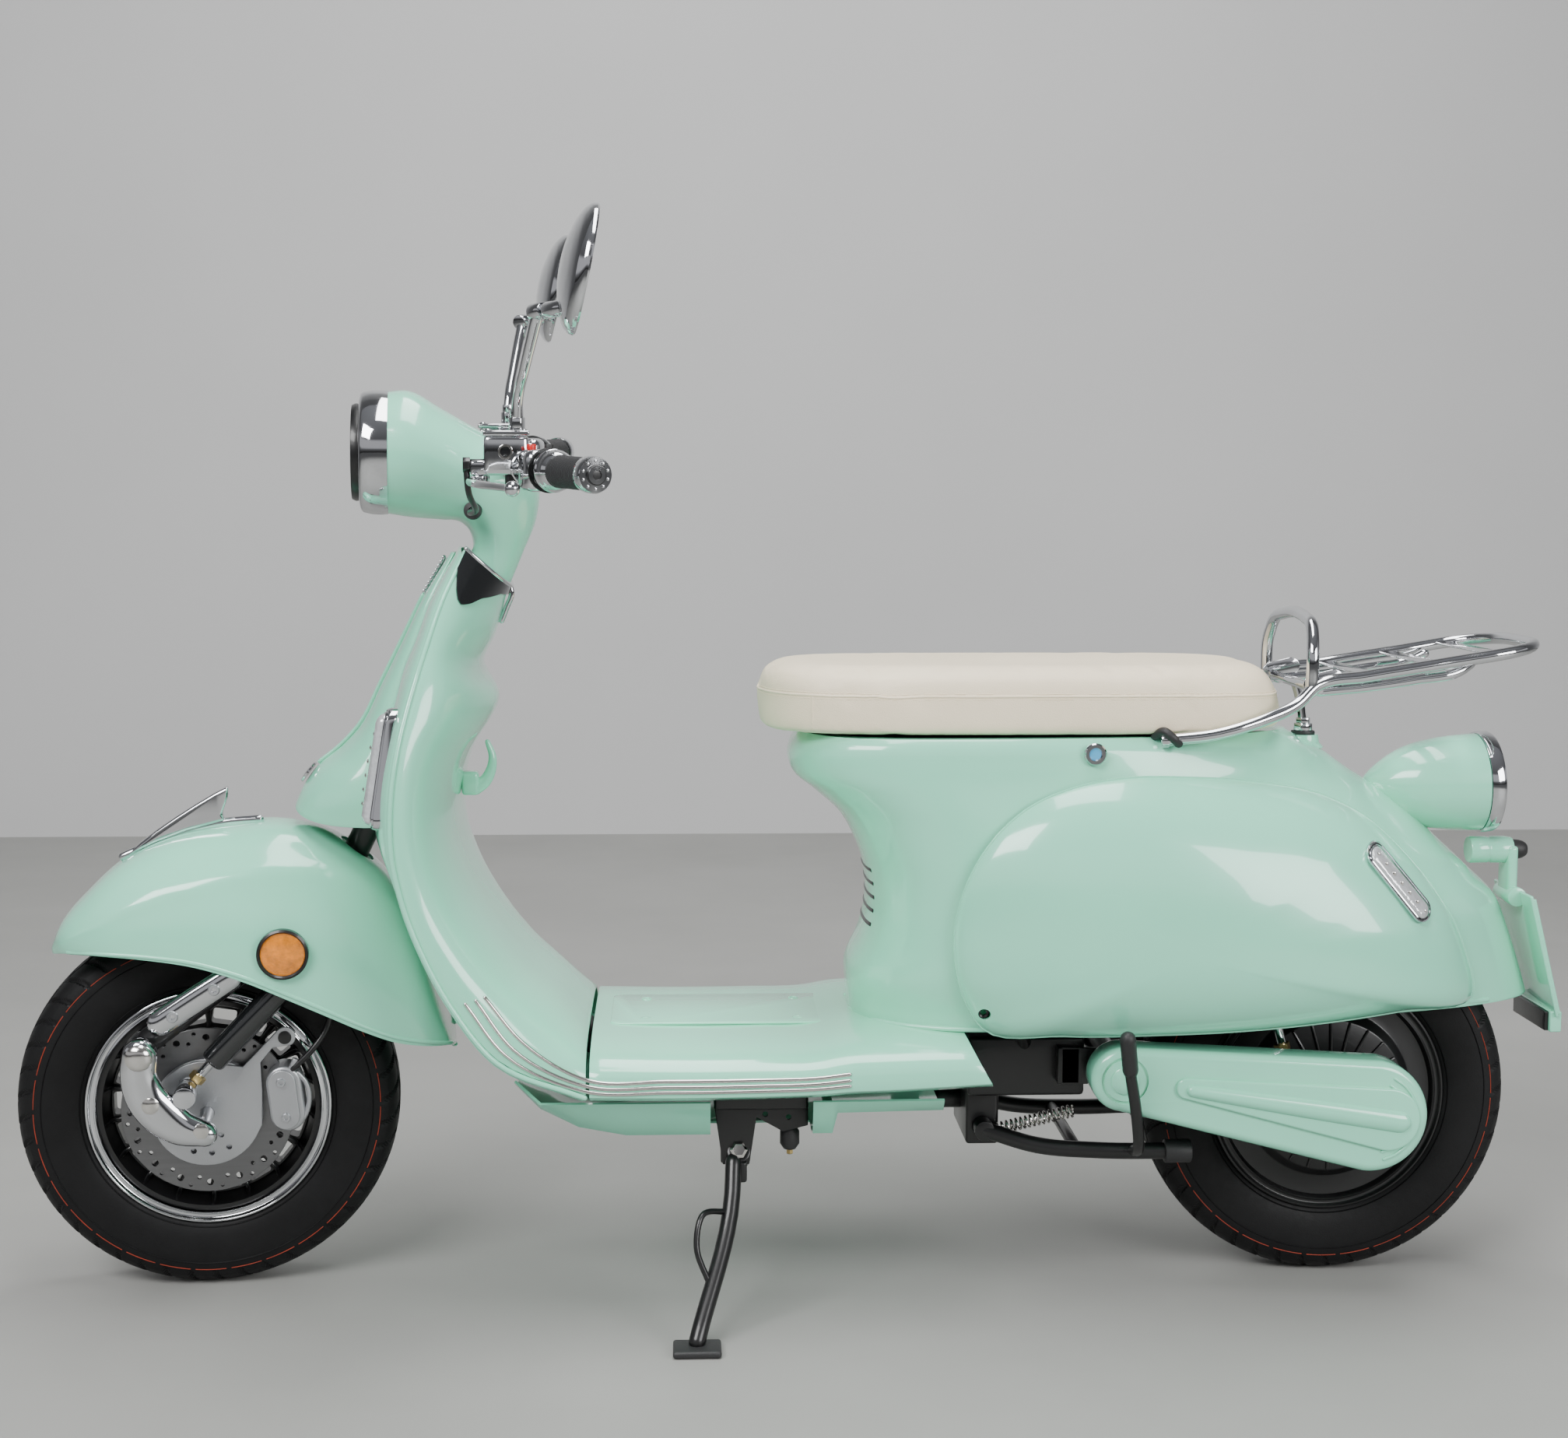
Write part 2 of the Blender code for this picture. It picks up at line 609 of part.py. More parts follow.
def main_frame():
    spine = tube("main_frame", [on_steering(0.690), (-0.4135, 0, 0.610), (-0.415, 0, 0.520), (-0.385, 0, 0.435),
                                (-0.325, 0, 0.343), (-0.240, 0, 0.286), (-0.140, 0, 0.272), (0.080, 0, 0.268),
                                (0.230, 0, 0.264)], 0.021, 2)
    head = rod("head_tube", on_steering(0.620), on_steering(0.775), 0.027, 16)
    block = box("pivot_block", (0.195, -0.080, 0.228), (0.330, 0.080, 0.298))
    loop = tube("seat_loop", [(0.262, -0.070, 0.285), (0.245, -0.113, 0.345), (0.240, -0.124, 0.450),
                              (0.250, -0.130, 0.560), (0.300, -0.130, 0.602), (0.390, -0.112, 0.605),
                              (0.452, -0.074, 0.605), (0.478, 0, 0.605), (0.452, 0.074, 0.605),
                              (0.390, 0.112, 0.605), (0.300, 0.130, 0.602), (0.250, 0.130, 0.560),
                              (0.240, 0.124, 0.450), (0.245, 0.113, 0.345), (0.262, 0.070, 0.285)], 0.009, 2)
    lug_outline = [(0.300, 0.245)] + arc_points((0.361, 0.267), 0.020, -90, 90, 6) + [(0.300, 0.290)]
    lugs = [plate("pivot_lug", lug_outline, 0.006, side * 0.094) for side in (-1, 1)]
    lug_roots = [box("lug_root", (0.296, min(side * 0.075, side * 0.097), 0.246),
                     (0.322, max(side * 0.075, side * 0.097), 0.289)) for side in (-1, 1)]
    pin = rod("swing_pin", (0.361, -0.0965, 0.267), (0.361, 0.0965, 0.267), 0.008)
    shock_arm = tube("shock_arm", [(0.455, -0.072, 0.603), (0.485, -0.076, 0.545), (0.505, -0.077, 0.470)],
                     0.009, 2)
    shock_pin = rod("rear_shock_top_pin", (0.505, -0.080, 0.470), (0.505, -0.104, 0.470), 0.005, 10)
    outrigger = box("side_stand_arm", (-0.098, -0.140, 0.232), (0.008, 0.010, 0.262))
    drop = box("side_stand_plate", (-0.090, -0.130, 0.168), (-0.058, -0.104, 0.232))
    hinge_lug = rod("side_stand_lug", SIDE_STAND_PIVOT - SIDE_STAND_AXIS * 0.020,
                    SIDE_STAND_PIVOT - SIDE_STAND_AXIS * 0.0005, 0.014)
    hinge_pin = rod("side_stand_pin", SIDE_STAND_PIVOT - SIDE_STAND_AXIS * 0.010,
                    SIDE_STAND_PIVOT + SIDE_STAND_AXIS * 0.014, 0.005, 10)
    stand_lugs = box("centre_stand_lugs", (0.196, -0.060, 0.166), (0.234, 0.060, 0.236))
    stand_bore = rod("centre_stand_bore", CENTRE_STAND_PIVOT + Vector((0, -0.09, 0)),
                     CENTRE_STAND_PIVOT + Vector((0, 0.09, 0)), 0.0120, 16)
    slope = tube("skid_tube", [(0.120, 0, 0.250), (0.168, 0, 0.205), (0.200, 0, 0.206)], 0.012, 1)
    bore = rod("head_bore", on_steering(0.590), on_steering(0.800), 0.0165, 16)
    frame = join(spine, head, block, loop, *lugs, *lug_roots, pin, shock_arm, shock_pin, outrigger, drop,
                 stand_lugs, slope)
    frame = cut(frame, side_stand_room())
    frame = join(frame, hinge_lug, hinge_pin)
    return finish(cut(frame, bore, stand_bore), "main_frame", "black_paint")


def steering_bearing():
    middle = on_steering(0.612)
    ring = turned("steering_bearing", ring_profile(0.0157, 0.0225, -0.0055, 0.0055), middle, STEER_AXIS, 16)
    return finish(ring, "steering_bearing", "silver_alloy")


def storage_bucket():
    rows = []
    for z, front, rear, half in ((0.644, 0.040, 0.445, 0.104), (0.590, 0.052, 0.440, 0.102),
                                 (0.530, 0.105, 0.432, 0.098), (0.508, 0.130, 0.420, 0.088)):
        rows.append(closed_ring(superellipse_half(front, rear, half, 0.5, (4, 4, 4, 4), 4), z))
    count = len(rows[0])
    points = [p for row in rows for p in row]
    faces = grid_faces(len(rows), count, True) + [tuple(range(3 * count, 4 * count))]
    obj = mesh_object("storage_bucket", points, faces)
    solidify = obj.modifiers.new("thickness", "SOLIDIFY")
    solidify.thickness = SKIN
    solidify.offset = 1.0
    return finish(obj, "storage_bucket", "black_plastic")


def battery_pack():
    return finish(box("battery_pack", (0.118, -0.092, 0.345), (0.368, 0.092, 0.492), bevel=0.006),
                  "battery_pack", "battery_grey")


def luggage_rack():
    side_rail = [(0.408, 0.128, 0.646), (0.460, 0.130, 0.652), (0.520, 0.122, 0.668), (0.560, 0.108, 0.684),
                 (0.584, 0.100, 0.704), (0.640, 0.098, 0.714), (0.740, 0.096, 0.730), (0.820, 0.090, 0.743),
                 (0.846, 0.060, 0.747), (0.852, 0.0, 0.748)]
    route = [(x, -y, z) for x, y, z in side_rail] + [(x, y, z) for x, y, z in reversed(side_rail[:-1])]
    rack = tube("luggage_rack", route, 0.0070, 2)
    hoop = tube("rack_hoop", [(0.578, -0.100, 0.698), (0.579, -0.098, 0.745), (0.582, -0.080, 0.770),
                              (0.584, -0.045, 0.778), (0.584, 0.045, 0.778), (0.582, 0.080, 0.770),
                              (0.579, 0.098, 0.745), (0.578, 0.100, 0.698)], 0.0070, 2)
    slats = [box("rack_slat", (x - 0.012, -0.095, z - 0.0015), (x + 0.012, 0.095, z + 0.0015))
             for x, z in ((0.650, 0.7155), (0.725, 0.7275), (0.795, 0.7390))]
    cross = rod("rack_cross", (0.586, -0.100, 0.700), (0.586, 0.100, 0.700), 0.006, 8)
    strut = tube("rack_strut", [(0.586, 0, 0.700), (0.596, 0, 0.668), (0.597, 0, 0.645)], 0.0055, 1)
    foot = rod("rack_foot", (0.597, 0, 0.6415), (0.597, 0, 0.652), 0.011, 10)
    return finish(join(rack, hoop, *slats, cross, strut, foot), "luggage_rack", "chrome")


# ---------------------------------------------------------------- lamps and rear pieces

def tail_lamp():
    profile = solid_profile([(0.012, 0.0), (0.020, 0.010), (0.030, 0.030), (0.040, 0.050), (0.049, 0.075),
                             (0.0535, 0.100), (0.0545, 0.112)][::-1])
    lamp = turned("tail_lamp", profile, LAMP_START, LAMP_AIM, 20, closed=False)
    stem = rod("lamp_stem", (0.650, 0, 0.5735), (0.715, 0, 0.577), 0.012, 10)
    return finish(join(lamp, stem), "tail_lamp", "mint_paint")


def tail_lens():
    start = LAMP_START + LAMP_AIM * 0.1125
    profile = solid_profile([(0.0560, 0.0), (0.0565, 0.014), (0.0480, 0.022), (0.0300, 0.028), (0.012, 0.030)][::-1])
    return finish(turned("tail_lens", profile, start, LAMP_AIM, 20, closed=False), "tail_lens", "red_lens")


def plate_bracket():
    boss = rod("plate_bracket", (0.799, 0, 0.500), (0.850, 0, 0.500), 0.016)
    cone = rod("rubber_cone", (0.848, 0, 0.500), (0.868, 0, 0.500), 0.009)
    neck = box("bracket_neck", (0.842, -0.018, 0.442), (0.854, 0.018, 0.505))
    board = box("bracket_board", (0.871, -0.060, 0.308), (0.875, 0.060, 0.456),
                turn=Matrix.Rotation(math.radians(-14), 4, "Y"))
    foot = box("bracket_foot", (0.884, -0.055, 0.291), (0.898, 0.055, 0.316))
    return finish(join(boss, cone, neck, board, foot), "plate_bracket", "mint_paint")


SIGNAL_Y = 0.150


def front_signal(side, hand):
    """A tall pill on the apron beside the horn cover."""
    name = "front_signal_" + hand
    rings = []
    for share in (0.0, 0.12, 0.5, 0.88, 1.0):
        z = 0.562 + share * 0.122
        half = 0.014 if 0 < share < 1 else 0.005
        depth = 0.014 if 0 < share < 1 else 0.006
        inner, outer = [apron_front_at(z, SIGNAL_Y + reach) - 0.0050 for reach in (-half, half)]
        rings.append([Vector((inner, side * (SIGNAL_Y - half), z)), Vector((outer, side * (SIGNAL_Y + half), z)),
                      Vector((outer - depth, side * (SIGNAL_Y + half * 0.8), z)),
                      Vector((inner - depth, side * (SIGNAL_Y - half * 0.6), z))])
    return finish(loft(name, rings), name, "clear_lens")


def rear_signal(side, hand):
    """A slanted pill on the cowl's rear shoulder."""
    name = "rear_signal_" + hand
    start, end = Vector((0.636, 0.0, 0.527)), Vector((0.699, 0.0, 0.450))
    along = (end - start).normalized()
    across = Vector((-along.z, 0.0, along.x))
    rings = []
    for share in (0.0, 0.12, 0.5, 0.88, 1.0):
        middle = start.lerp(end, share)
        half = 0.012 if 0 < share < 1 else 0.005
        thick = 0.011 if 0 < share < 1 else 0.005
        ring = []
        for reach, out in ((half, 0.0), (-half, 0.0), (-half * 0.7, thick), (half * 0.7, thick)):
            spot = middle + across * reach
            ring.append(Vector((spot.x, side * (cowl_outer(spot.x, spot.z) + 0.0045 + out), spot.z)))
        rings.append(ring)
    return finish(loft(name, rings), name, "clear_lens")


def cowl_outer(x, z):
    """Half width of the cowl's outer face at (x, z), found along the ray from its middle."""
    dx, dz = x - COWL_MIDDLE[0], z - COWL_MIDDLE[1]
    turn = math.atan2(dz, dx)
    count = len(COWL_RIM)
    for i in range(count):
        a, b = COWL_RIM[i], COWL_RIM[(i + 1) % count]
        ax, az, bx, bz = a[0] - COWL_MIDDLE[0], a[1] - COWL_MIDDLE[1], b[0] - COWL_MIDDLE[0], b[1] - COWL_MIDDLE[1]
        det = dx * (bz - az) - dz * (bx - ax)
        if abs(det) < 1e-9:
            continue
        along = (ax * (bz - az) - az * (bx - ax)) / det
        part = (ax * dz - az * dx) / det
        if along > 0 and 0 <= part <= 1:
            rim = (a[0] + part * (b[0] - a[0]), a[1] + part * (b[1] - a[1]))
            return abs(cowl_point(rim, min(1.0, 1 / along), 1).y)
    return COWL_PEAK


# ---------------------------------------------------------------- steering, built straight ahead

def fork():
    stem = rod("fork", on_steering(0.462), on_steering(0.880), 0.0150, 16)
    leg = tube("fork_leg", [on_steering(0.468), (-0.545, -0.040, 0.464), (-0.566, -0.078, 0.446),
                            (-0.620, -0.085, 0.402), (-0.739, -0.085, 0.312)], 0.0145, 2)
    crown = rod("fork_crown", on_steering(0.462), on_steering(0.500), 0.021, 16)
    pivot = rod("link_pin", (LINK_PIVOT.x, -0.0700, LINK_PIVOT.z), (LINK_PIVOT.x, -0.1262, LINK_PIVOT.z), 0.0080)
    boss = rod("link_boss", (LINK_PIVOT.x, -0.0695, LINK_PIVOT.z), (LINK_PIVOT.x, -0.1000, LINK_PIVOT.z), 0.0165)
    shock_pin = rod("shock_pin", FRONT_SHOCK_TOP + Vector((0, -0.014, 0)), FRONT_SHOCK_TOP + Vector((0, 0.022, 0)),
                    0.005, 10)
    shock_lug = rod("shock_lug", FRONT_SHOCK_TOP + Vector((0, 0.020, -0.004)), (-0.577, -0.068, 0.436), 0.0065, 8)
    return finish(join(stem, leg, crown, pivot, boss, shock_pin, shock_lug), "fork", "black_paint")


# Crown line, lower edge and half width of the front fender, nose to tail.
FENDER_STATIONS = [
    ((-0.852, 0.408), (-0.848, 0.401), 0.030), ((-0.840, 0.434), (-0.826, 0.409), 0.064),
    ((-0.812, 0.466), (-0.790, 0.411), 0.088), ((-0.768, 0.504), (-0.742, 0.409), 0.102),
    ((-0.710, 0.530), (-0.684, 0.400), 0.109), ((-0.650, 0.541), (-0.630, 0.382), 0.112),
    ((-0.590, 0.543), (-0.583, 0.360), 0.112), ((-0.545, 0.532), (-0.540, 0.339), 0.111),
    ((-0.505, 0.508), (-0.500, 0.319), 0.108), ((-0.472, 0.475), (-0.464, 0.304), 0.103),
    ((-0.444, 0.420), (-0.430, 0.297), 0.096), ((-0.418, 0.340), (-0.408, 0.292), 0.078),
    ((-0.398, 0.276), (-0.400, 0.284), 0.045),
]


def front_fender():
    rows = []
    for crown, low, half in FENDER_STATIONS:
        row = []
        for step in range(7):
            turn = math.radians(90 * step / 6)
            share = math.sin(turn) ** 0.9 if step else 0.0
            row.append(Vector((low[0] + (crown[0] - low[0]) * share, -half * max(math.cos(turn), 0.0) ** 0.75,
                               low[1] + (crown[1] - low[1]) * share)))
        rows.append(row)
    fender = sheet("front_fender", mirrored_rows(rows), inwards=False)
    stem_hole = rod("fender_stem_hole", on_steering(0.478), on_steering(0.560), 0.0225, 16)
    return finish(cut(fender, stem_hole), "front_fender", "mint_paint")


# Top line, lower line and half width of the headset, lamp to neck.
HEADSET_STATIONS = [
    ((-0.4685, 1.032), (-0.4705, 0.896), 0.068), ((-0.442, 1.034), (-0.440, 0.891), 0.070),
    ((-0.404, 1.014), (-0.404, 0.888), 0.068), ((-0.362, 0.990), (-0.386, 0.886), 0.066),
    ((-0.318, 0.969), (-0.378, 0.880), 0.062), ((-0.295, 0.928), (-0.373, 0.871), 0.050),
    ((-0.298, 0.890), (-0.371, 0.862), 0.040), ((-0.314, 0.850), (-0.372, 0.852), 0.031),
    ((-0.329, 0.814), (-0.378, 0.838), 0.027),
]


def headset_shell():
    rows = []
    for top, low, half in HEADSET_STATIONS:
        ring = []
        for step in range(16):
            turn = math.radians(360 * step / 16)
            rise = (1 - math.cos(turn)) / 2
            ring.append(Vector((low[0] + (top[0] - low[0]) * rise, half * math.sin(turn),
                                low[1] + (top[1] - low[1]) * rise)))
        rows.append(ring)
    shell = sheet("headset_shell", rows, wrap=True, thickness=0.0025, inwards=True)
    bar_way = rod("bar_way", (BAR_X, -0.12, BAR_HEIGHT), (BAR_X, 0.12, BAR_HEIGHT), 0.0135, 12)
    return finish(cut(shell, bar_way), "headset_shell", "mint_paint")


def headlight():
    aim = Vector((-1.0, 0.0, 0.015)).normalized()
    start = Vector((-0.4702, 0.0, 0.964))
    profile = solid_profile([(0.0640, -0.010), (0.0640, 0.0005), (0.0695, 0.0005), (0.0680, 0.020), (0.0620, 0.027),
                             (0.0450, 0.031), (0.020, 0.034)][::-1])
    return finish(turned("headlight", profile, start, aim, 24, closed=False), "headlight", "chrome")


def bar_point(y):
    """The handlebar's middle line: straight across the headset, then swept back."""
    past = max(0.0, abs(y) - BAR_BEND)
    return Vector((BAR_X + past * math.tan(SWEEP), y, BAR_HEIGHT))


def handlebar():
    half = [bar_point(0.358), bar_point(BAR_BEND), bar_point(0.120)]
    left = [Vector((p.x, -p.y, p.z)) for p in half]
    bar = tube("handlebar", left + list(reversed(half)), 0.0105, 1)
    socket = rod("stem_socket", on_steering(0.8805), on_steering(0.893), 0.0165, 12)
    neck = rod("bar_neck", on_steering(0.886), (BAR_X, 0, BAR_HEIGHT), 0.0120, 12)
    return finish(join(bar, neck, socket), "handlebar", "black_paint")


def bar_direction(side):
    return Vector((math.sin(SWEEP), side * math.cos(SWEEP), 0.0))


def grip(name, side):
    profile = [(0.0115, 0.0), (0.0115, 0.114), (0.0175, 0.114), (0.0165, 0.100), (0.0155, 0.050),
               (0.0165, 0.012), (0.0215, 0.008), (0.0215, 0.0)]
    obj = turned(name, profile, bar_point(side * GRIP_START), bar_direction(side), 12)
    return finish(obj, name, "grip_rubber")


def pod_middle(side):
    return bar_point(side * POD_Y)


BUTTONS = {
    "button_red": (Vector((-0.009, 0.004, 0.0)), "red_plastic"),
    "button_black": (Vector((0.009, -0.004, 0.0)), "black_plastic"),
}
BUTTON_RADIUS = 0.0050


def switch_pod(side, hand):
    name = "switch_pod_" + hand
    middle = pod_middle(side)
    bore = rod("pod_bore_" + hand, bar_point(side * 0.150), bar_point(side * 0.320), 0.0110, 12)
    turn = Matrix.Rotation(-side * SWEEP, 4, "Z")
    pod = box(name, middle - Vector((0.021, 0.018, 0.023)), middle + Vector((0.021, 0.018, POD_TOP)), turn=turn,
              bevel=0.004)
    pockets = []
    if hand == "left":
        for button, (offset, _) in BUTTONS.items():
            top = middle + offset + Vector((0, 0, POD_TOP + 0.001))
            pockets.append(rod("pocket_" + button, top - Vector((0, 0, 0.0065)), top, BUTTON_RADIUS + 0.0006, 10))
    return finish(cut(pod, bore, *pockets), name, "chrome")


def push_button(name):
    """A small cap in its pocket on the left switch pod, pressed straight down."""
    offset, material = BUTTONS[name]
    foot = pod_middle(-1) + offset + Vector((0, 0, POD_TOP - 0.0018))
    return finish(rod(name, foot, foot + Vector((0, 0, 0.0060)), BUTTON_RADIUS, 10), name, material)


def clamp_middle(side):
    return bar_point(side * MIRROR_BASE_Y) + Vector((-0.016, 0, 0))


def master_cylinder(side, hand):
    name = "master_cylinder_" + hand
    middle = clamp_middle(side)
    tank = box(name, middle + Vector((-0.026, -0.017, -0.0075)), middle + Vector((0.022, 0.017, 0.040)), bevel=0.003)
    clamp = rod("clamp_" + hand, bar_point(side * (MIRROR_BASE_Y - 0.0145)),
                bar_point(side * (MIRROR_BASE_Y + 0.0145)), 0.0190, 12)
    pivot = lever_pivot(side)
    mount = box("lever_mount_" + hand, pivot + Vector((-0.010, -0.010, 0.0042)), pivot + Vector((0.016, 0.010, 0.020)))
    pin = rod("lever_pin_" + hand, pivot + Vector((0, 0, -0.006)), pivot + Vector((0, 0, 0.008)), 0.0040, 10)
    bore = rod("clamp_bore_" + hand, bar_point(side * (BAR_BEND + 0.001)), bar_point(side * 0.230), 0.0112, 12)
    return finish(cut(join(tank, clamp, mount, pin), bore), name, "chrome")


def lever_pivot(side):
    return bar_point(side * MIRROR_BASE_Y) + Vector((-0.046, 0, -0.012))


def brake_lever(side, hand):
    """The lever's eye sits under its mount; the blade runs out in front of the grip to a ball."""
    name = "brake_lever_" + hand
    pivot = lever_pivot(side)
    eye = rod(name, pivot + Vector((0, 0, -0.0050)), pivot + Vector((0, 0, 0.0038)), 0.0105, 12)
    tip = bar_point(side * 0.335) + Vector((-0.078, 0, -0.014))
    blade = tube("blade_" + hand, [pivot + Vector((-0.004, side * 0.006, -0.001)),
                                   pivot + Vector((-0.010, side * 0.030, -0.001)),
                                   pivot + Vector((-0.006, side * 0.085, -0.001)), tip], 0.0042, 2)
    ball = rod("ball_" + hand, tip + Vector((-0.003, -side * 0.004, 0)), tip + Vector((0.003, side * 0.008, 0)),
               0.0080, 10)
    bore = rod("lever_bore_" + hand, pivot + Vector((0, 0, -0.02)), pivot + Vector((0, 0, 0.02)), 0.0046, 10)
    return finish(cut(join(eye, blade, ball), bore), name, "chrome")


def mirror_base(side):
    return clamp_middle(side) + Vector((0.010, 0, 0.0404))


def mirror_knuckle(side):
    return Vector((-0.300, side * 0.236, 1.128))


def mirror_stem(side, hand):
    name = "mirror_stem_" + hand
    base = mirror_base(side)
    nut = rod(name, base, base + Vector((0, 0, 0.022)), 0.0085, 8)
    knuckle = mirror_knuckle(side)
    stem = tube("stalk_" + hand, [base + Vector((0, 0, 0.010)), base + Vector((0.002, side * 0.008, 0.040)),
                                  knuckle + Vector((-0.002, -side * 0.004, -0.010))], 0.0045, 2)
    end = rod("stalk_end_" + hand, knuckle + Vector((0, -side * 0.004, -0.012)),
              knuckle + Vector((0, -side * 0.001, 0.008)), 0.0068, 10)
    return finish(join(nut, stem, end), name, "chrome")


def mirror_head(side, hand):
    """A round head whose glass faces back; its stub holds the knuckle ball."""
    name = "mirror_head_" + hand
    middle = Vector((-0.2555, side * 0.272, 1.160))
    aim = Vector((0.98, 0.0, -0.196)).normalized()
    profile = solid_profile([(0.0640, 0.010), (0.0680, 0.006), (0.0660, -0.002), (0.0520, -0.010),
                             (0.0280, -0.016)])
    head = turned(name, profile, middle, aim, 20, closed=False)
    knuckle = mirror_knuckle(side)
    stub = rod("stub_" + hand, knuckle + Vector((0.0085, side * 0.0065, 0.004)), middle + aim * -0.010, 0.0048, 8)
    return finish(join(head, stub), name, "chrome")


def ignition_lock():
    start = IGNITION_LOCK
    return finish(rod("ignition_lock", start, start + Vector((0.0080, 0, 0)), 0.0110), "ignition_lock", "chrome")


# ---------------------------------------------------------------- wheels and front suspension

def tyre(name, axle):
    crown = WHEEL_RADIUS / math.cos(math.pi / WHEEL_STEPS)
    w = TYRE_HALF_WIDTH
    profile = [(RIM_RADIUS, w * 0.70), (0.150, w * 0.93), (0.175, w), (0.198, w * 0.93), (0.210, w * 0.72),
               (crown, TYRE_CROWN_HALF), (crown, -TYRE_CROWN_HALF), (0.210, -w * 0.72), (0.198, -w * 0.93),
               (0.175, -w), (0.150, -w * 0.93), (RIM_RADIUS, -w * 0.70), (RIM_RADIUS, -w * 0.45),
               (0.165, -w * 0.60), (0.190, 0.0), (0.165, w * 0.60), (RIM_RADIUS, w * 0.45)]
    half_step = math.pi / WHEEL_STEPS
    return finish(turned(name, profile, axle, (0, 1, 0), WHEEL_STEPS, phase=half_step), name, "tyre_rubber")


def front_wheel():
    w = TYRE_HALF_WIDTH
    r = RIM_RADIUS * math.cos(math.pi / WHEEL_STEPS) - GAP
    profile = [(0.0085, 0.036), (0.028, 0.036), (0.032, 0.010), (0.088, 0.008), (0.112, 0.012), (0.120, 0.034),
               (r, 0.034), (r, -0.034), (0.120, -0.034), (0.112, -0.010), (0.088, -0.010), (0.036, -0.012),
               (0.032, -0.041), (0.0085, -0.041)]
    wheel = turned("front_wheel", profile, FRONT_AXLE, (0, 1, 0), WHEEL_STEPS)
    windows = []
    count = 9
    for index in range(count):
        turn = Matrix.Rotation(math.radians(360 * index / count), 4, "Y")
        place = FRONT_AXLE + turn @ Vector((0.1005, 0.0, 0.0))
        windows.append(box("rim_window_%d" % index, place - Vector((0.0085, 0.03, 0.026)),
                           place + Vector((0.0085, 0.03, 0.026)), turn=turn))
    return finish(cut(wheel, *windows), "front_wheel", "black_paint")


def front_brake_disc():
    carrier = [(0.0300, -0.0415), (0.040, -0.0415), (0.040, -0.045), (0.090, -0.045), (0.090, -0.049),
               (0.0300, -0.049)]
    return finish(turned("front_brake_disc", carrier, FRONT_AXLE, (0, 1, 0), 24), "front_brake_disc",
                  "disc_steel")


def trailing_link():
    """The chrome arm outside the wheel, with the stub axle that carries the wheel."""
    pivot, axle = (LINK_PIVOT.x, LINK_PIVOT.z), (FRONT_AXLE.x, FRONT_AXLE.z)
    outline = (arc_points(pivot, 0.021, 20, 200, 7)
               + [(-0.760, 0.268), (-0.742, 0.234), (-0.712, 0.206)]
               + arc_points((axle[0] + 0.004, axle[1] - 0.001), 0.020, 235, 420, 7)
               + [(-0.704, 0.246), (-0.718, 0.268)])
    arm = plate("trailing_link", outline, 0.021, -0.1125, bevel=0.004)
    pin_way = rod("link_pin_way", (LINK_PIVOT.x, -0.140, LINK_PIVOT.z), (LINK_PIVOT.x, -0.09, LINK_PIVOT.z), 0.0085)
    axle_rod = rod("stub_axle", (axle[0], -0.105, axle[1]), (axle[0], 0.042, axle[1]), 0.0080)
    shock_pin = rod("shock_foot_pin", FRONT_SHOCK_FOOT + Vector((0, -0.026, 0)),
                    FRONT_SHOCK_FOOT + Vector((0, 0.010, 0)), 0.004, 10)
    shock_boss = rod("shock_foot_boss", FRONT_SHOCK_FOOT + Vector((0, -0.040, 0)),
                     FRONT_SHOCK_FOOT + Vector((0, -0.012, 0)), 0.0125, 12)
    return finish(join(cut(arm, pin_way), axle_rod, shock_boss, shock_pin), "trailing_link", "chrome")


def caliper_bracket():
    outline = (arc_points((-0.681, 0.2165), 0.062, 95, 330, 12)
               + [(-0.620, 0.200), (-0.6185, 0.240), (-0.620, 0.274), (-0.606, 0.291)]
               + arc_points((-0.592, 0.303), 0.012, -50, 150, 5) + [(-0.640, 0.270)])
    bracket = plate("caliper_bracket", outline, 0.004, -0.0590)
    hole = rod("bracket_axle_way", (-0.681, -0.080, 0.2165), (-0.681, -0.040, 0.2165), 0.0083)
    return finish(cut(bracket, hole), "caliper_bracket", "silver_alloy")


def brake_caliper():
    """Straddles the disc; both halves meet outside the disc's edge."""
    body = plate("brake_caliper", capsule((-0.594, 0.251), (-0.590, 0.214), 0.020, 0.020), 0.036, -0.0520,
                 bevel=0.003)
    slot = turned("disc_way", ring_profile(0.030, 0.0925, -0.0510, -0.0430), FRONT_AXLE, (0, 1, 0), 24)
    return finish(cut(body, slot), "brake_caliper", "silver_alloy")


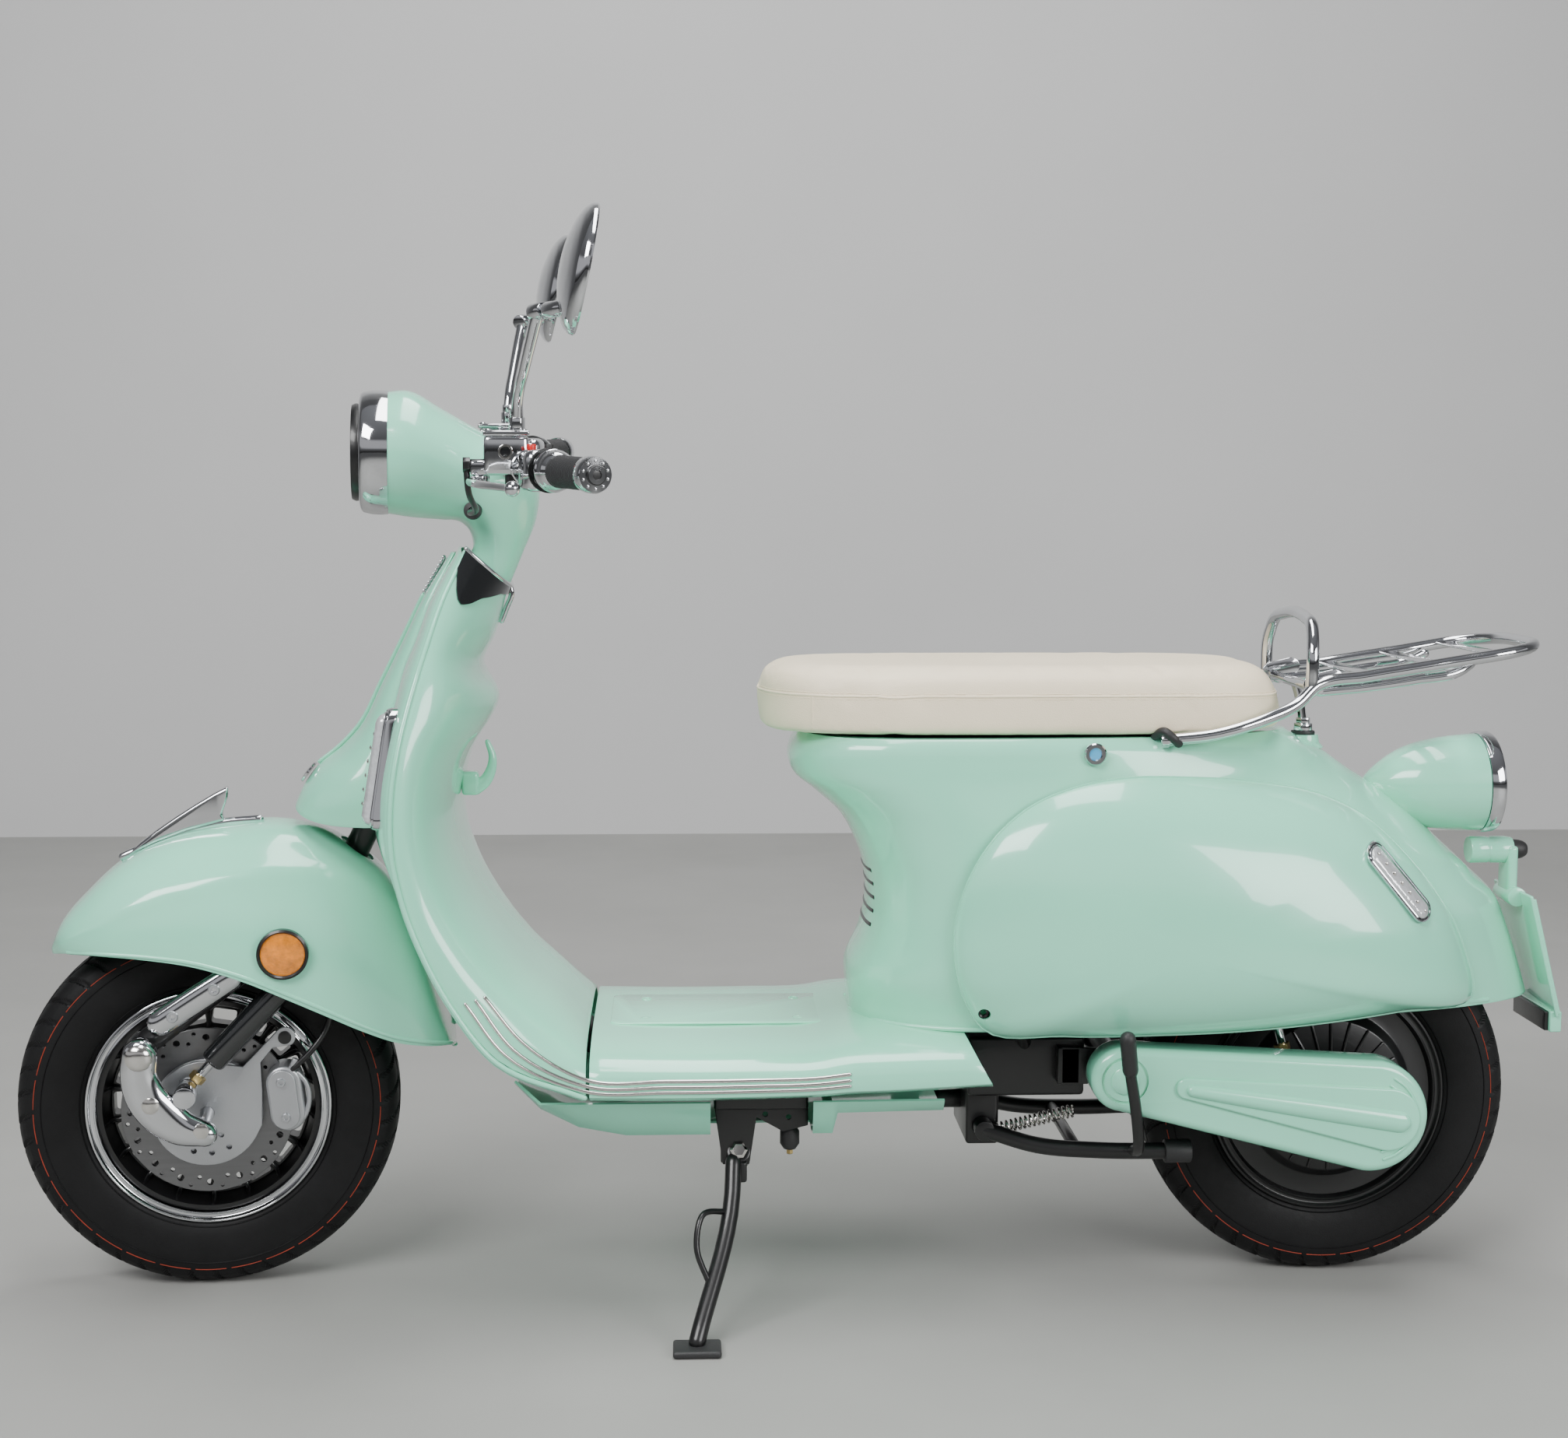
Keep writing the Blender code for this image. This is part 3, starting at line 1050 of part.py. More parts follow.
def shock(prefix, top, foot, pin_radius, sleeve, rod_radius, material):
    """A sleeve hung from its top eye and a rod that slides out of it to the foot eye."""
    along = (foot - top).normalized()
    length = (foot - top).length
    mouth = top + along * length * SLEEVE_SHARE
    eye = turned(prefix + "_body", ring_profile(pin_radius + 0.0006, pin_radius + 0.0065, -0.0075, 0.0075), top,
                 (0, 1, 0), 12)
    tube_body = rod(prefix + "_sleeve", top + along * (pin_radius + 0.003), mouth, sleeve, 12)
    pin_way = rod(prefix + "_pin_way", top + Vector((0, 0.03, 0)), top - Vector((0, 0.03, 0)), pin_radius + 0.0006)
    rod_way = rod(prefix + "_rod_way", top + along * length * 0.22, mouth + along * 0.02, rod_radius + 0.0006, 12)
    body = finish(cut(join(eye, tube_body), pin_way, rod_way), prefix + "_body", material)
    foot_eye = turned(prefix + "_rod", ring_profile(0.0066, 0.0110, -0.0065, 0.0065), foot, (0, 1, 0), 12)
    shaft = rod(prefix + "_shaft", top + along * length * 0.52, foot - along * 0.0085, rod_radius, 12)
    foot_way = rod(prefix + "_foot_way", foot + Vector((0, 0.03, 0)), foot - Vector((0, 0.03, 0)), 0.0066)
    piston = finish(cut(join(foot_eye, shaft), foot_way), prefix + "_rod", "silver_alloy")
    return body, piston


# ---------------------------------------------------------------- rear wheel and swing arm

def rear_wheel():
    """The hub motor's shell and rim, turned about the fixed stator."""
    r = RIM_RADIUS * math.cos(math.pi / WHEEL_STEPS) - GAP
    profile = [(0.0130, 0.050), (0.090, 0.046), (0.100, 0.034), (r, 0.034), (r, -0.034), (0.100, -0.034),
               (0.090, -0.046), (0.0130, -0.050), (0.0130, -0.042), (0.084, -0.038), (0.088, -0.026),
               (0.088, 0.026), (0.084, 0.038), (0.0130, 0.042)]
    return finish(turned("rear_wheel", profile, REAR_AXLE, (0, 1, 0), WHEEL_STEPS), "rear_wheel", "black_paint")


def motor_stator():
    profile = [(0.0, 0.092), (0.0075, 0.092), (0.0075, 0.0670), (0.0120, 0.0665), (0.0120, 0.030), (0.080, 0.028),
               (0.080, -0.028), (0.0120, -0.030), (0.0120, -0.0665), (0.0075, -0.0670), (0.0075, -0.092),
               (0.0, -0.092)]
    return finish(turned("motor_stator", profile, REAR_AXLE, (0, 1, 0), 24, closed=False), "motor_stator",
                  "silver_alloy")


def swingarm():
    """Two arms joined by the pivot tube, with an eye on the left arm for the shock."""
    pivot, axle = (SWING_PIVOT.x, SWING_PIVOT.z), (REAR_AXLE.x, REAR_AXLE.z)
    arms = [plate("swing_side", capsule(pivot, axle, 0.0180, 0.0200), 0.012, side * 0.075) for side in (-1, 1)]
    tube_part = rod("swingarm", (pivot[0], -0.084, pivot[1]), (pivot[0], 0.084, pivot[1]), 0.0160)
    pin_way = rod("swing_pin_way", (pivot[0], -0.11, pivot[1]), (pivot[0], 0.11, pivot[1]), 0.0085)
    axle_way = rod("rear_axle_way", (axle[0], -0.11, axle[1]), (axle[0], 0.11, axle[1]), 0.0080)
    shock_pin = rod("rear_shock_pin", REAR_SHOCK_FOOT + Vector((0, 0.016, 0)),
                    REAR_SHOCK_FOOT + Vector((0, -0.0100, 0)), 0.0040, 12)
    shock_lug = box("rear_shock_lug", (0.549, -0.0810, 0.225), (0.571, -0.0700, 0.278))
    return finish(cut(join(tube_part, *arms, shock_lug, shock_pin), pin_way, axle_way), "swingarm", "black_paint")


def swingarm_cover():
    outline = capsule((0.361, 0.267), (0.643, 0.222), 0.037, 0.064, 12)
    cover = plate("swingarm_cover", outline, 0.050, -0.1375, bevel=0.006)
    rib = plate("cover_rib", capsule((0.430, 0.258), (0.672, 0.224), 0.012, 0.034, 9), 0.008, -0.1640)
    hollow = plate("cover_hollow", capsule((0.361, 0.267), (0.643, 0.222), 0.033, 0.060, 12), 0.044, -0.1335)
    boss = rod("cover_boss", (0.470, -0.0825, 0.2500), (0.470, -0.1600, 0.2500), 0.007, 10)
    far_boss = rod("cover_boss_rear", (0.600, -0.0825, 0.2280), (0.600, -0.1600, 0.2280), 0.007, 10)
    return finish(join(cut(join(cover, rib), hollow), boss, far_boss), "swingarm_cover", "mint_paint")


# ---------------------------------------------------------------- seat and stands

def seat_base():
    rows = []
    for z, inset in ((0.6500, 0.0), (0.6565, -0.004)):
        rows.append(closed_ring(superellipse_half(0.002 + inset, 0.505 - inset, 0.112 - inset, 0.5,
                                                  (4, 3, 4, 3), 5), z))
    return finish(loft("seat_base", rows), "seat_base", "black_plastic")


def seat_cushion():
    rows = []
    for z, front, rear, half in ((0.6570, -0.030, 0.540, 0.122), (0.6660, -0.044, 0.556, 0.134),
                                 (0.7000, -0.047, 0.560, 0.139), (0.7200, -0.040, 0.553, 0.134),
                                 (0.7310, -0.018, 0.532, 0.118)):
        rows.append(closed_ring(superellipse_half(front, rear, half, 0.5, (4.5, 3, 4.5, 3), 5), z))
    return finish(loft("seat_cushion", rows), "seat_cushion", "cream_vinyl")


SEAT_LOCK = Vector((0.325, -body_half_width(0.325, 0.632) - 0.0040, 0.632))


def seat_lock():
    return finish(rod("seat_lock", SEAT_LOCK, SEAT_LOCK + Vector((0, -0.006, 0)), 0.0125), "seat_lock", "chrome")


def side_stand():
    pivot, axis = SIDE_STAND_PIVOT, SIDE_STAND_AXIS
    foot = Vector((-0.118, -0.262, 0.0))
    eye = rod("side_stand", pivot + axis * 0.0002, pivot + axis * 0.012, 0.0130)
    leg = tube("stand_leg", [pivot + axis * 0.0115 + Vector((-0.003, -0.004, -0.008)),
                             Vector((-0.078, -0.160, 0.140)), foot + Vector((0, 0.004, 0.008))], 0.0095, 2)
    pad = box("stand_foot", foot + Vector((-0.026, -0.020, 0)), foot + Vector((0.026, 0.020, 0.008)))
    spur = tube("stand_spur", [(-0.083, -0.168, 0.125), (-0.112, -0.198, 0.130), (-0.118, -0.212, 0.100),
                               (-0.104, -0.219, 0.060)], 0.0035, 2)
    bore = rod("stand_eye_bore", pivot - axis * 0.02, pivot + axis * 0.03, 0.0056, 10)
    return finish(cut(join(eye, leg, pad, spur), bore), "side_stand", "black_paint")


def centre_stand():
    pivot = CENTRE_STAND_PIVOT
    legs = []
    for side in (-1, 1):
        legs.append(tube("centre_leg", [pivot + Vector((0.0, side * 0.075, 0.0)),
                                        pivot + Vector((0.060, side * 0.086, -0.016)),
                                        pivot + Vector((0.130, side * 0.092, -0.021)),
                                        pivot + Vector((0.222, side * 0.098, -0.021))], 0.0095, 2))
        legs.append(rod("centre_foot", pivot + Vector((0.207, side * 0.098, -0.021)),
                        pivot + Vector((0.236, side * 0.098, -0.021)), 0.0135, 10))
    cross = rod("centre_stand", pivot + Vector((0, -0.084, 0)), pivot + Vector((0, 0.084, 0)), 0.0115)
    brace = rod("centre_brace", pivot + Vector((0.105, -0.092, -0.0195)), pivot + Vector((0.105, 0.092, -0.0195)),
                0.0070, 8)
    lever = tube("centre_lever", [pivot + Vector((0.170, -0.096, -0.021)), pivot + Vector((0.165, -0.150, 0.000)),
                                  pivot + Vector((0.155, -0.180, 0.050)), pivot + Vector((0.142, -0.200, 0.112)),
                                  pivot + Vector((0.138, -0.214, 0.136))], 0.0065, 2)
    return finish(join(cross, *legs, brace, lever), "centre_stand", "black_paint")


# ---------------------------------------------------------------- assembly

def build_chassis():
    return [main_frame(), steering_bearing(), apron(), inner_shield(), horn_cover(), floorboard(), belly_pan(),
            body_shell(), *both_sides(cowl), storage_bucket(), battery_pack(), luggage_rack(), tail_lamp(),
            tail_lens(), plate_bracket(), *both_sides(front_signal), *both_sides(rear_signal)]


def build_steering():
    return [fork(), front_fender(), headset_shell(), headlight(), handlebar(), grip("left_grip", -1),
            *both_sides(switch_pod), *both_sides(master_cylinder)]


def hang(parent, *objects):
    for obj in objects:
        attach(obj, parent)


def assemble():
    root = joint_empty("chassis_empty", (0, 0, 0))
    hang(root, *build_chassis())

    steering = joint_empty("steering_empty", STEER_POINT, root)
    hang(steering, *build_steering())
    hang(joint_empty("throttle_empty", bar_point(GRIP_START), steering), grip("throttle_grip", 1))
    for side, hand in ((-1, "left"), (1, "right")):
        hang(joint_empty("brake_lever_empty_" + hand, lever_pivot(side), steering), brake_lever(side, hand))
        stem_empty = joint_empty("mirror_stem_empty_" + hand, mirror_base(side), steering)
        hang(stem_empty, mirror_stem(side, hand))
        hang(joint_empty("mirror_head_empty_" + hand, mirror_knuckle(side), stem_empty), mirror_head(side, hand))
    for name, (offset, _) in BUTTONS.items():
        hang(joint_empty(name + "_empty", pod_middle(-1) + offset, steering), push_button(name))

    link_empty = joint_empty("trailing_link_empty", LINK_PIVOT, steering)
    hang(link_empty, trailing_link(), caliper_bracket(), brake_caliper())
    hang(joint_empty("front_wheel_empty", FRONT_AXLE, link_empty), front_wheel(), tyre("front_tyre", FRONT_AXLE),
         front_brake_disc())
    body, piston = shock("front_shock", FRONT_SHOCK_TOP, FRONT_SHOCK_FOOT, 0.005, 0.0150, 0.0055, "black_paint")
    front_shock_empty = joint_empty("front_shock_empty", FRONT_SHOCK_TOP, steering)
    hang(front_shock_empty, body)
    hang(joint_empty("front_shock_rod_empty", FRONT_SHOCK_FOOT, front_shock_empty), piston)

    swing_empty = joint_empty("swingarm_empty", SWING_PIVOT, root)
    hang(swing_empty, swingarm(), swingarm_cover(), motor_stator())
    hang(joint_empty("rear_wheel_empty", REAR_AXLE, swing_empty), rear_wheel(), tyre("rear_tyre", REAR_AXLE))
    body, piston = shock("rear_shock", REAR_SHOCK_TOP, REAR_SHOCK_FOOT, 0.005, 0.0160, 0.0060, "black_paint")
    rear_shock_empty = joint_empty("rear_shock_empty", REAR_SHOCK_TOP, root)
    hang(rear_shock_empty, body)
    hang(joint_empty("rear_shock_rod_empty", REAR_SHOCK_FOOT, rear_shock_empty), piston)

    hang(joint_empty("seat_empty", SEAT_HINGE, root), seat_base(), seat_cushion())
    hang(joint_empty("seat_lock_empty", SEAT_LOCK, root), seat_lock())
    hang(joint_empty("ignition_lock_empty", IGNITION_LOCK, root), ignition_lock())
    hang(joint_empty("side_stand_empty", SIDE_STAND_PIVOT, root), side_stand())
    hang(joint_empty("centre_stand_empty", CENTRE_STAND_PIVOT, root), centre_stand())

    steering.rotation_mode = "AXIS_ANGLE"
    steering.rotation_axis_angle = (STEER_TURN, *STEER_AXIS)


clear_scene()
make_collections()
make_materials()
assemble()
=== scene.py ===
"""The looks of the moped scooter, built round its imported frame. Metres, +Z up, the scooter faces -X."""
import json
from math import atan2, cos, degrees, exp, pi, radians, sin, tan

import bmesh
import bpy
import numpy as np
from mathutils import Matrix, Vector
from mathutils.bvhtree import BVHTree

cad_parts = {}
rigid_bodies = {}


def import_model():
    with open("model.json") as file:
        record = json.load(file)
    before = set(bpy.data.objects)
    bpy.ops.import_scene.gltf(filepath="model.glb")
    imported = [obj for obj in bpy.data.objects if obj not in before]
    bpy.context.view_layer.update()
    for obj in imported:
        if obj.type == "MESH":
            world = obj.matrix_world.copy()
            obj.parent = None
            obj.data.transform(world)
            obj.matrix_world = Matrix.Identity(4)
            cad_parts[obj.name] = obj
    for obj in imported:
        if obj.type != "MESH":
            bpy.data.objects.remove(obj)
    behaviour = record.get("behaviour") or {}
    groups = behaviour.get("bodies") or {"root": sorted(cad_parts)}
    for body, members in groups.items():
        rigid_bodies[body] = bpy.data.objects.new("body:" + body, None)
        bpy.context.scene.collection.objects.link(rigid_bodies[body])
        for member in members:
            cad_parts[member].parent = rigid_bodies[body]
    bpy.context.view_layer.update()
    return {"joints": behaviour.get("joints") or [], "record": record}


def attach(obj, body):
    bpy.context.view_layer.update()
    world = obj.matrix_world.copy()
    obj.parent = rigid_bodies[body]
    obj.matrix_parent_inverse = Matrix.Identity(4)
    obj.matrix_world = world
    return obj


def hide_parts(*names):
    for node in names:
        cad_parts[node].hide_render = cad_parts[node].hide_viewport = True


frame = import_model()
NODE_BODY = {node: body for body, nodes in frame["record"]["behaviour"]["bodies"].items() for node in nodes}

RAKE, STEER_TURN, SWEEP = radians(26.0), radians(6.4), radians(20.0)
RACK_FOOT_X = 0.597
STEER_POINT = Vector((-0.337, 0.0, 0.86))
STEER_AXIS = Vector((sin(RAKE), 0.0, cos(RAKE)))
TO_STEERING = Matrix.Translation(STEER_POINT)
STEER = TO_STEERING @ Matrix.Rotation(STEER_TURN, 4, STEER_AXIS) @ Matrix.Translation(-STEER_POINT)
# A body is steered when its chain of parents reaches the steering
STEERED = {"steering"}
for _ in frame["joints"]:
    STEERED |= {joint["child"] for joint in frame["joints"] if joint["parent"] in STEERED}
FRONT_AXLE, REAR_AXLE = Vector((-0.681, 0.0, 0.21665)), Vector((0.626, 0.0, 0.216))
BAR_X, BAR_HEIGHT, BAR_BEND, GRIP_START, CLAMP_Y, POD_Y = -0.328, 0.954, 0.14, 0.24, 0.166, 0.212


# Materials

def socket(node, **values):
    for name, value in values.items():
        node.inputs[name.replace("_", " ")].default_value = value


def make_material(name, rgb, rough, metallic=0.0, coat=0.0, grain=0.0, grain_scale=400.0, tint=0.06,
        tint_scale=6.0, rough_spread=0.08, gloss=0.5, voronoi=False, stretch=None):
    """A shader with its colour, roughness and fine relief varied by noise in object space."""
    material = bpy.data.materials.new(name)
    material.use_nodes = True
    nodes, links = material.node_tree.nodes, material.node_tree.links
    shader = nodes["Principled BSDF"]
    socket(shader, Metallic=metallic, Coat_Weight=coat, Coat_Roughness=0.04, Specular_IOR_Level=gloss)
    place = nodes.new("ShaderNodeTexCoord")
    source = place.outputs["Object"]
    if stretch:
        mapping = nodes.new("ShaderNodeMapping")
        mapping.inputs["Scale"].default_value = stretch
        links.new(source, mapping.inputs["Vector"])
        source = mapping.outputs["Vector"]
    wide = nodes.new("ShaderNodeTexNoise")
    socket(wide, Scale=tint_scale, Detail=4.0, Roughness=0.6)
    links.new(source, wide.inputs["Vector"])
    ramp = nodes.new("ShaderNodeValToRGB")
    low, high = ramp.color_ramp.elements
    low.position, high.position = 0.3, 0.7
    low.color = (*[c * (1 - tint) for c in rgb], 1)
    high.color = (*[min(1.0, c * (1 + tint * 0.5)) for c in rgb], 1)
    links.new(wide.outputs["Fac"], ramp.inputs["Fac"])
    links.new(ramp.outputs["Color"], shader.inputs["Base Color"])
    spread = nodes.new("ShaderNodeMapRange")
    socket(spread, To_Min=max(0.0, rough - rough_spread / 2), To_Max=rough + rough_spread / 2)
    smear = nodes.new("ShaderNodeTexNoise")
    socket(smear, Scale=tint_scale * 5, Detail=3.0)
    links.new(source, smear.inputs["Vector"])
    links.new(smear.outputs["Fac"], spread.inputs["Value"])
    links.new(spread.outputs["Result"], shader.inputs["Roughness"])
    if grain:
        fine = nodes.new("ShaderNodeTexVoronoi" if voronoi else "ShaderNodeTexNoise")
        fine.inputs["Scale"].default_value = grain_scale
        links.new(source, fine.inputs["Vector"])
        bump = nodes.new("ShaderNodeBump")
        socket(bump, Strength=grain, Distance=0.0004)
        links.new(fine.outputs["Distance" if voronoi else "Fac"], bump.inputs["Height"])
        links.new(bump.outputs["Normal"], shader.inputs["Normal"])
    return material


MINT = make_material("mint_gloss", (0.285, 0.79, 0.56), 0.2, coat=0.9, grain=0.03, grain_scale=220,
    tint=0.03)
BLACK = make_material("black_satin", (0.006, 0.006, 0.0065), 0.34, coat=0.2, grain=0.15, grain_scale=300)
DARK_GLOSS = make_material("black_gloss", (0.01, 0.011, 0.012), 0.1, coat=0.8, tint=0.2)
PLASTIC = make_material("black_plastic_grain", (0.02, 0.02, 0.021), 0.5, grain=0.4, grain_scale=900,
    voronoi=True)
TYRE = make_material("tyre_rubber_skin", (0.0065, 0.0065, 0.007), 0.55, grain=0.35, grain_scale=500,
    tint=0.3, tint_scale=20, rough_spread=0.25, gloss=0.25)
STRIPE = make_material("tyre_stripe", (0.3, 0.03, 0.01), 0.6, grain=0.2, tint=0.3, tint_scale=60)
GRIP = make_material("grip_rubber_skin", (0.028, 0.028, 0.03), 0.6, grain=0.5, grain_scale=700,
    voronoi=True)
CHROME = make_material("chrome_plate", (0.66, 0.67, 0.69), 0.07, metallic=1.0, tint=0.04, rough_spread=0.05)
STAINLESS = make_material("stainless_tube", (0.7, 0.68, 0.65), 0.16, metallic=1.0, tint=0.08,
    rough_spread=0.1, grain=0.05, grain_scale=600)
ALLOY = make_material("cast_alloy", (0.5, 0.51, 0.53), 0.36, metallic=0.85, grain=0.5, grain_scale=800)
DISC = make_material("disc_face", (0.2, 0.2, 0.205), 0.36, metallic=1.0, grain=0.2, grain_scale=300,
    stretch=(1, 1, 30))
VINYL = make_material("cream_vinyl_skin", (0.93, 0.81, 0.6), 0.48, grain=0.55, grain_scale=850,
    voronoi=True, tint=0.07, tint_scale=5)
AMBER = make_material("amber_reflector", (0.85, 0.26, 0.012), 0.18, coat=1.0, grain=1.0, grain_scale=420,
    voronoi=True, tint=0.35, tint_scale=90)
RED = make_material("red_lens_skin", (0.55, 0.012, 0.012), 0.12, coat=1.0, grain=0.8, grain_scale=300,
    voronoi=True, tint=0.25, tint_scale=60)
CLEAR = make_material("clear_lens_skin", (0.62, 0.64, 0.66), 0.1, metallic=0.35, coat=1.0, grain=0.8,
    grain_scale=260, voronoi=True, tint=0.2, tint_scale=80)
GLASS = make_material("mirror_face", (0.86, 0.88, 0.9), 0.015, metallic=1.0, tint=0.01, rough_spread=0.01)
SWITCH_RED = make_material("red_button_skin", (0.62, 0.02, 0.015), 0.35, grain=0.2)
BLUE = make_material("blue_insert", (0.08, 0.42, 0.72), 0.3, coat=0.6, grain=0.2)
BATTERY = make_material("battery_case", (0.11, 0.12, 0.14), 0.5, grain=0.3)
BRASS = make_material("brass_fitting", (0.62, 0.47, 0.2), 0.3, metallic=1.0, grain=0.3)


# Mesh helpers

SIDES = ((-1, "left"), (1, "right"))
Y_AXIS, NEAR, UP, DOWN, BACK = (0, 1, 0), (0, -1, 0), (0, 0, 1), (0, 0, -1), (1, 0, 0)


def vec(x, y, z):
    return Vector((x, y, z))


def at_y(xz, y=0.0):
    """An (x, z) pair as a point."""
    return vec(xz[0], y, xz[1])


def around(angle, radius, y=0.0):
    """A point at an angle and radius about a line along Y, measured from that line."""
    return vec(radius * cos(angle), y, radius * sin(angle))


def washer(inner, outer, low, high):
    """The profile of a plain ring, for lathe."""
    return [(inner, low), (outer, low), (outer, high), (inner, high)]


def refine(rows, per_span, wrap=False):
    """More rows, on smooth curves through the ones given."""
    p = np.array([[tuple(q) for q in row] for row in rows], float)
    before = np.roll(p, 1, 0) if wrap else np.concatenate([2 * p[:1] - p[1:2], p[:-1]])
    after = np.roll(p, -1, 0) if wrap else np.concatenate([p[1:], 2 * p[-1:] - p[-2:-1]])
    d0 = np.maximum(np.linalg.norm(p - before, axis=2, keepdims=True), 1e-9)
    d1 = np.maximum(np.linalg.norm(after - p, axis=2, keepdims=True), 1e-9)
    slope = ((p - before) / d0 * d1 + (after - p) / d1 * d0) / (d0 + d1)
    out = []
    for i in range(len(p) if wrap else len(p) - 1):
        j, h = (i + 1) % len(p), d1[i]
        for t in (k / per_span for k in range(per_span)):
            out.append((2 * t ** 3 - 3 * t ** 2 + 1) * p[i] + (t ** 3 - 2 * t ** 2 + t) * h * slope[i]
                + (3 * t ** 2 - 2 * t ** 3) * p[j] + (t ** 3 - t ** 2) * h * slope[j])
    return np.array(out if wrap else out + [p[-1]])


def refine_line(points, per_span, wrap=False):
    return [Vector(row[0]) for row in refine([[q] for q in points], per_span, wrap)]


def refine_profile(profile, per_span, wrap=False):
    """The same for a (radius, height) profile or an (x, z) outline."""
    return [(q.x, q.z) for q in refine_line([(a, 0, b) for a, b in profile], per_span, wrap)]


def mirrored(rows):
    """Rows that run from the left rim to the middle, carried on to the right rim."""
    return [list(row) + [(q[0], -q[1], q[2]) for q in reversed(list(row)[:-1])] for row in rows]


def handed(points, side):
    """Points of the left side, or their mirror image for the right side."""
    return [vec(x, -side * y, z) for x, y, z in points]


def linked(name, mesh):
    obj = bpy.data.objects.new(name, mesh)
    bpy.context.scene.collection.objects.link(obj)
    return obj


def mesh_piece(name, points, faces):
    mesh = bpy.data.meshes.new(name)
    mesh.from_pydata([tuple(q) for q in points], [], faces)
    return linked(name, mesh)


def from_bmesh(name, bm):
    mesh = bpy.data.meshes.new(name)
    bm.to_mesh(mesh)
    bm.free()
    return linked(name, mesh)


def weld_and_face(obj):
    """Joins points that meet and turns the faces outward."""
    bm = bmesh.new()
    bm.from_mesh(obj.data)
    bmesh.ops.remove_doubles(bm, verts=bm.verts, dist=1e-5)
    bmesh.ops.recalc_face_normals(bm, faces=bm.faces)
    bm.to_mesh(obj.data)
    bm.free()
    return obj


def freeze(obj):
    """The object, its mesh as its modifiers leave it."""
    if obj.modifiers:
        graph = bpy.context.evaluated_depsgraph_get()
        mesh = bpy.data.meshes.new_from_object(obj.evaluated_get(graph), depsgraph=graph)
        obj.modifiers.clear()
        obj.data = mesh
    return obj


def soften(obj, width, segments=2, angle=30.0):
    """Rounds the edges that turn by more than the angle."""
    if width:
        bevel = obj.modifiers.new("edge", "BEVEL")
        bevel.width, bevel.segments = width, segments
        bevel.limit_method, bevel.angle_limit = "ANGLE", radians(angle)
    return freeze(obj)


def grid_faces(rows, n, wrap):
    return [(i * n + j, i * n + (j + 1) % n, (i + 1) * n + (j + 1) % n, (i + 1) * n + j)
        for i in range(rows - 1) for j in range(n if wrap else n - 1)]


def grid(name, rows, wrap=False):
    """A sheet through rows of points, with the normals as its rows and columns turn."""
    rows = [list(row) for row in rows]
    return mesh_piece(name, [q for row in rows for q in row], grid_faces(len(rows), len(rows[0]), wrap))


def thicken(obj, thickness, side):
    solid = obj.modifiers.new("thickness", "SOLIDIFY")
    solid.thickness, solid.offset = thickness, side
    return obj


def shell(name, rows, wrap=False, thickness=0.003, side=1.0, edge=0.0009):
    """A skin of real thickness grown to one side of the rows, with its edges broken."""
    return soften(thicken(grid(name, rows, wrap), thickness, side), edge, angle=50)


def loft(name, rings):
    """A closed solid through rings of points."""
    rings = [list(ring) for ring in rings]
    n = len(rings[0])
    last = (len(rings) - 1) * n
    faces = grid_faces(len(rings), n, True) + [tuple(reversed(range(n))), tuple(range(last, last + n))]
    return weld_and_face(mesh_piece(name, [q for ring in rings for q in ring], faces))


def lathe(name, profile, centre, axis, steps=96, edge=0.0):
    """A (radius, height) profile turned about an axis, closed up unless it starts and ends on the axis."""
    turn = vec(0, 0, 1).rotation_difference(Vector(axis).normalized()).to_matrix()
    centre = Vector(centre)
    points = [centre + turn @ vec(r * cos(a), r * sin(a), z)
        for a in (2 * pi * k / steps for k in range(steps)) for r, z in profile]
    n = len(profile)
    on_axis = max(profile[0][0], profile[-1][0]) < 1e-6
    faces = [(k * n + j, (k + 1) % steps * n + j, (k + 1) % steps * n + (j + 1) % n, k * n + (j + 1) % n)
        for k in range(steps) for j in range(n - 1 if on_axis else n)]
    return soften(weld_and_face(mesh_piece(name, points, faces)), edge)


def rod(name, start, end, radius, steps=32, edge=0.0006):
    """A straight round bar, or one with few flats when there are few steps."""
    start, end = Vector(start), Vector(end)
    length = (end - start).length
    return lathe(name, [(0, 0), (radius, 0), (radius, length), (0, length)], start, end - start, steps,
        edge)


def pin(name, centre, low, high, radius, steps=32, edge=0.0006):
    """A rod along Y, from one y to another measured from its centre."""
    return rod(name, centre + vec(0, low, 0), centre + vec(0, high, 0), radius, steps, edge)


def bore(centre, reach, radius):
    """A cutter for a hole along Y."""
    return pin("bore", centre, -reach, reach, radius, edge=0)


def block(name, low, high, turn=None, edge=0.002):
    """A box between two corners, turned about its own middle."""
    low, high = Vector(low), Vector(high)
    bm = bmesh.new()
    bmesh.ops.create_cube(bm, size=1.0)
    matrix = (Matrix.Translation((low + high) / 2) @ (turn or Matrix.Identity(4))
        @ Matrix.Diagonal((*(high - low), 1.0)))
    bmesh.ops.transform(bm, matrix=matrix, verts=bm.verts)
    return soften(from_bmesh(name, bm), edge, 3)


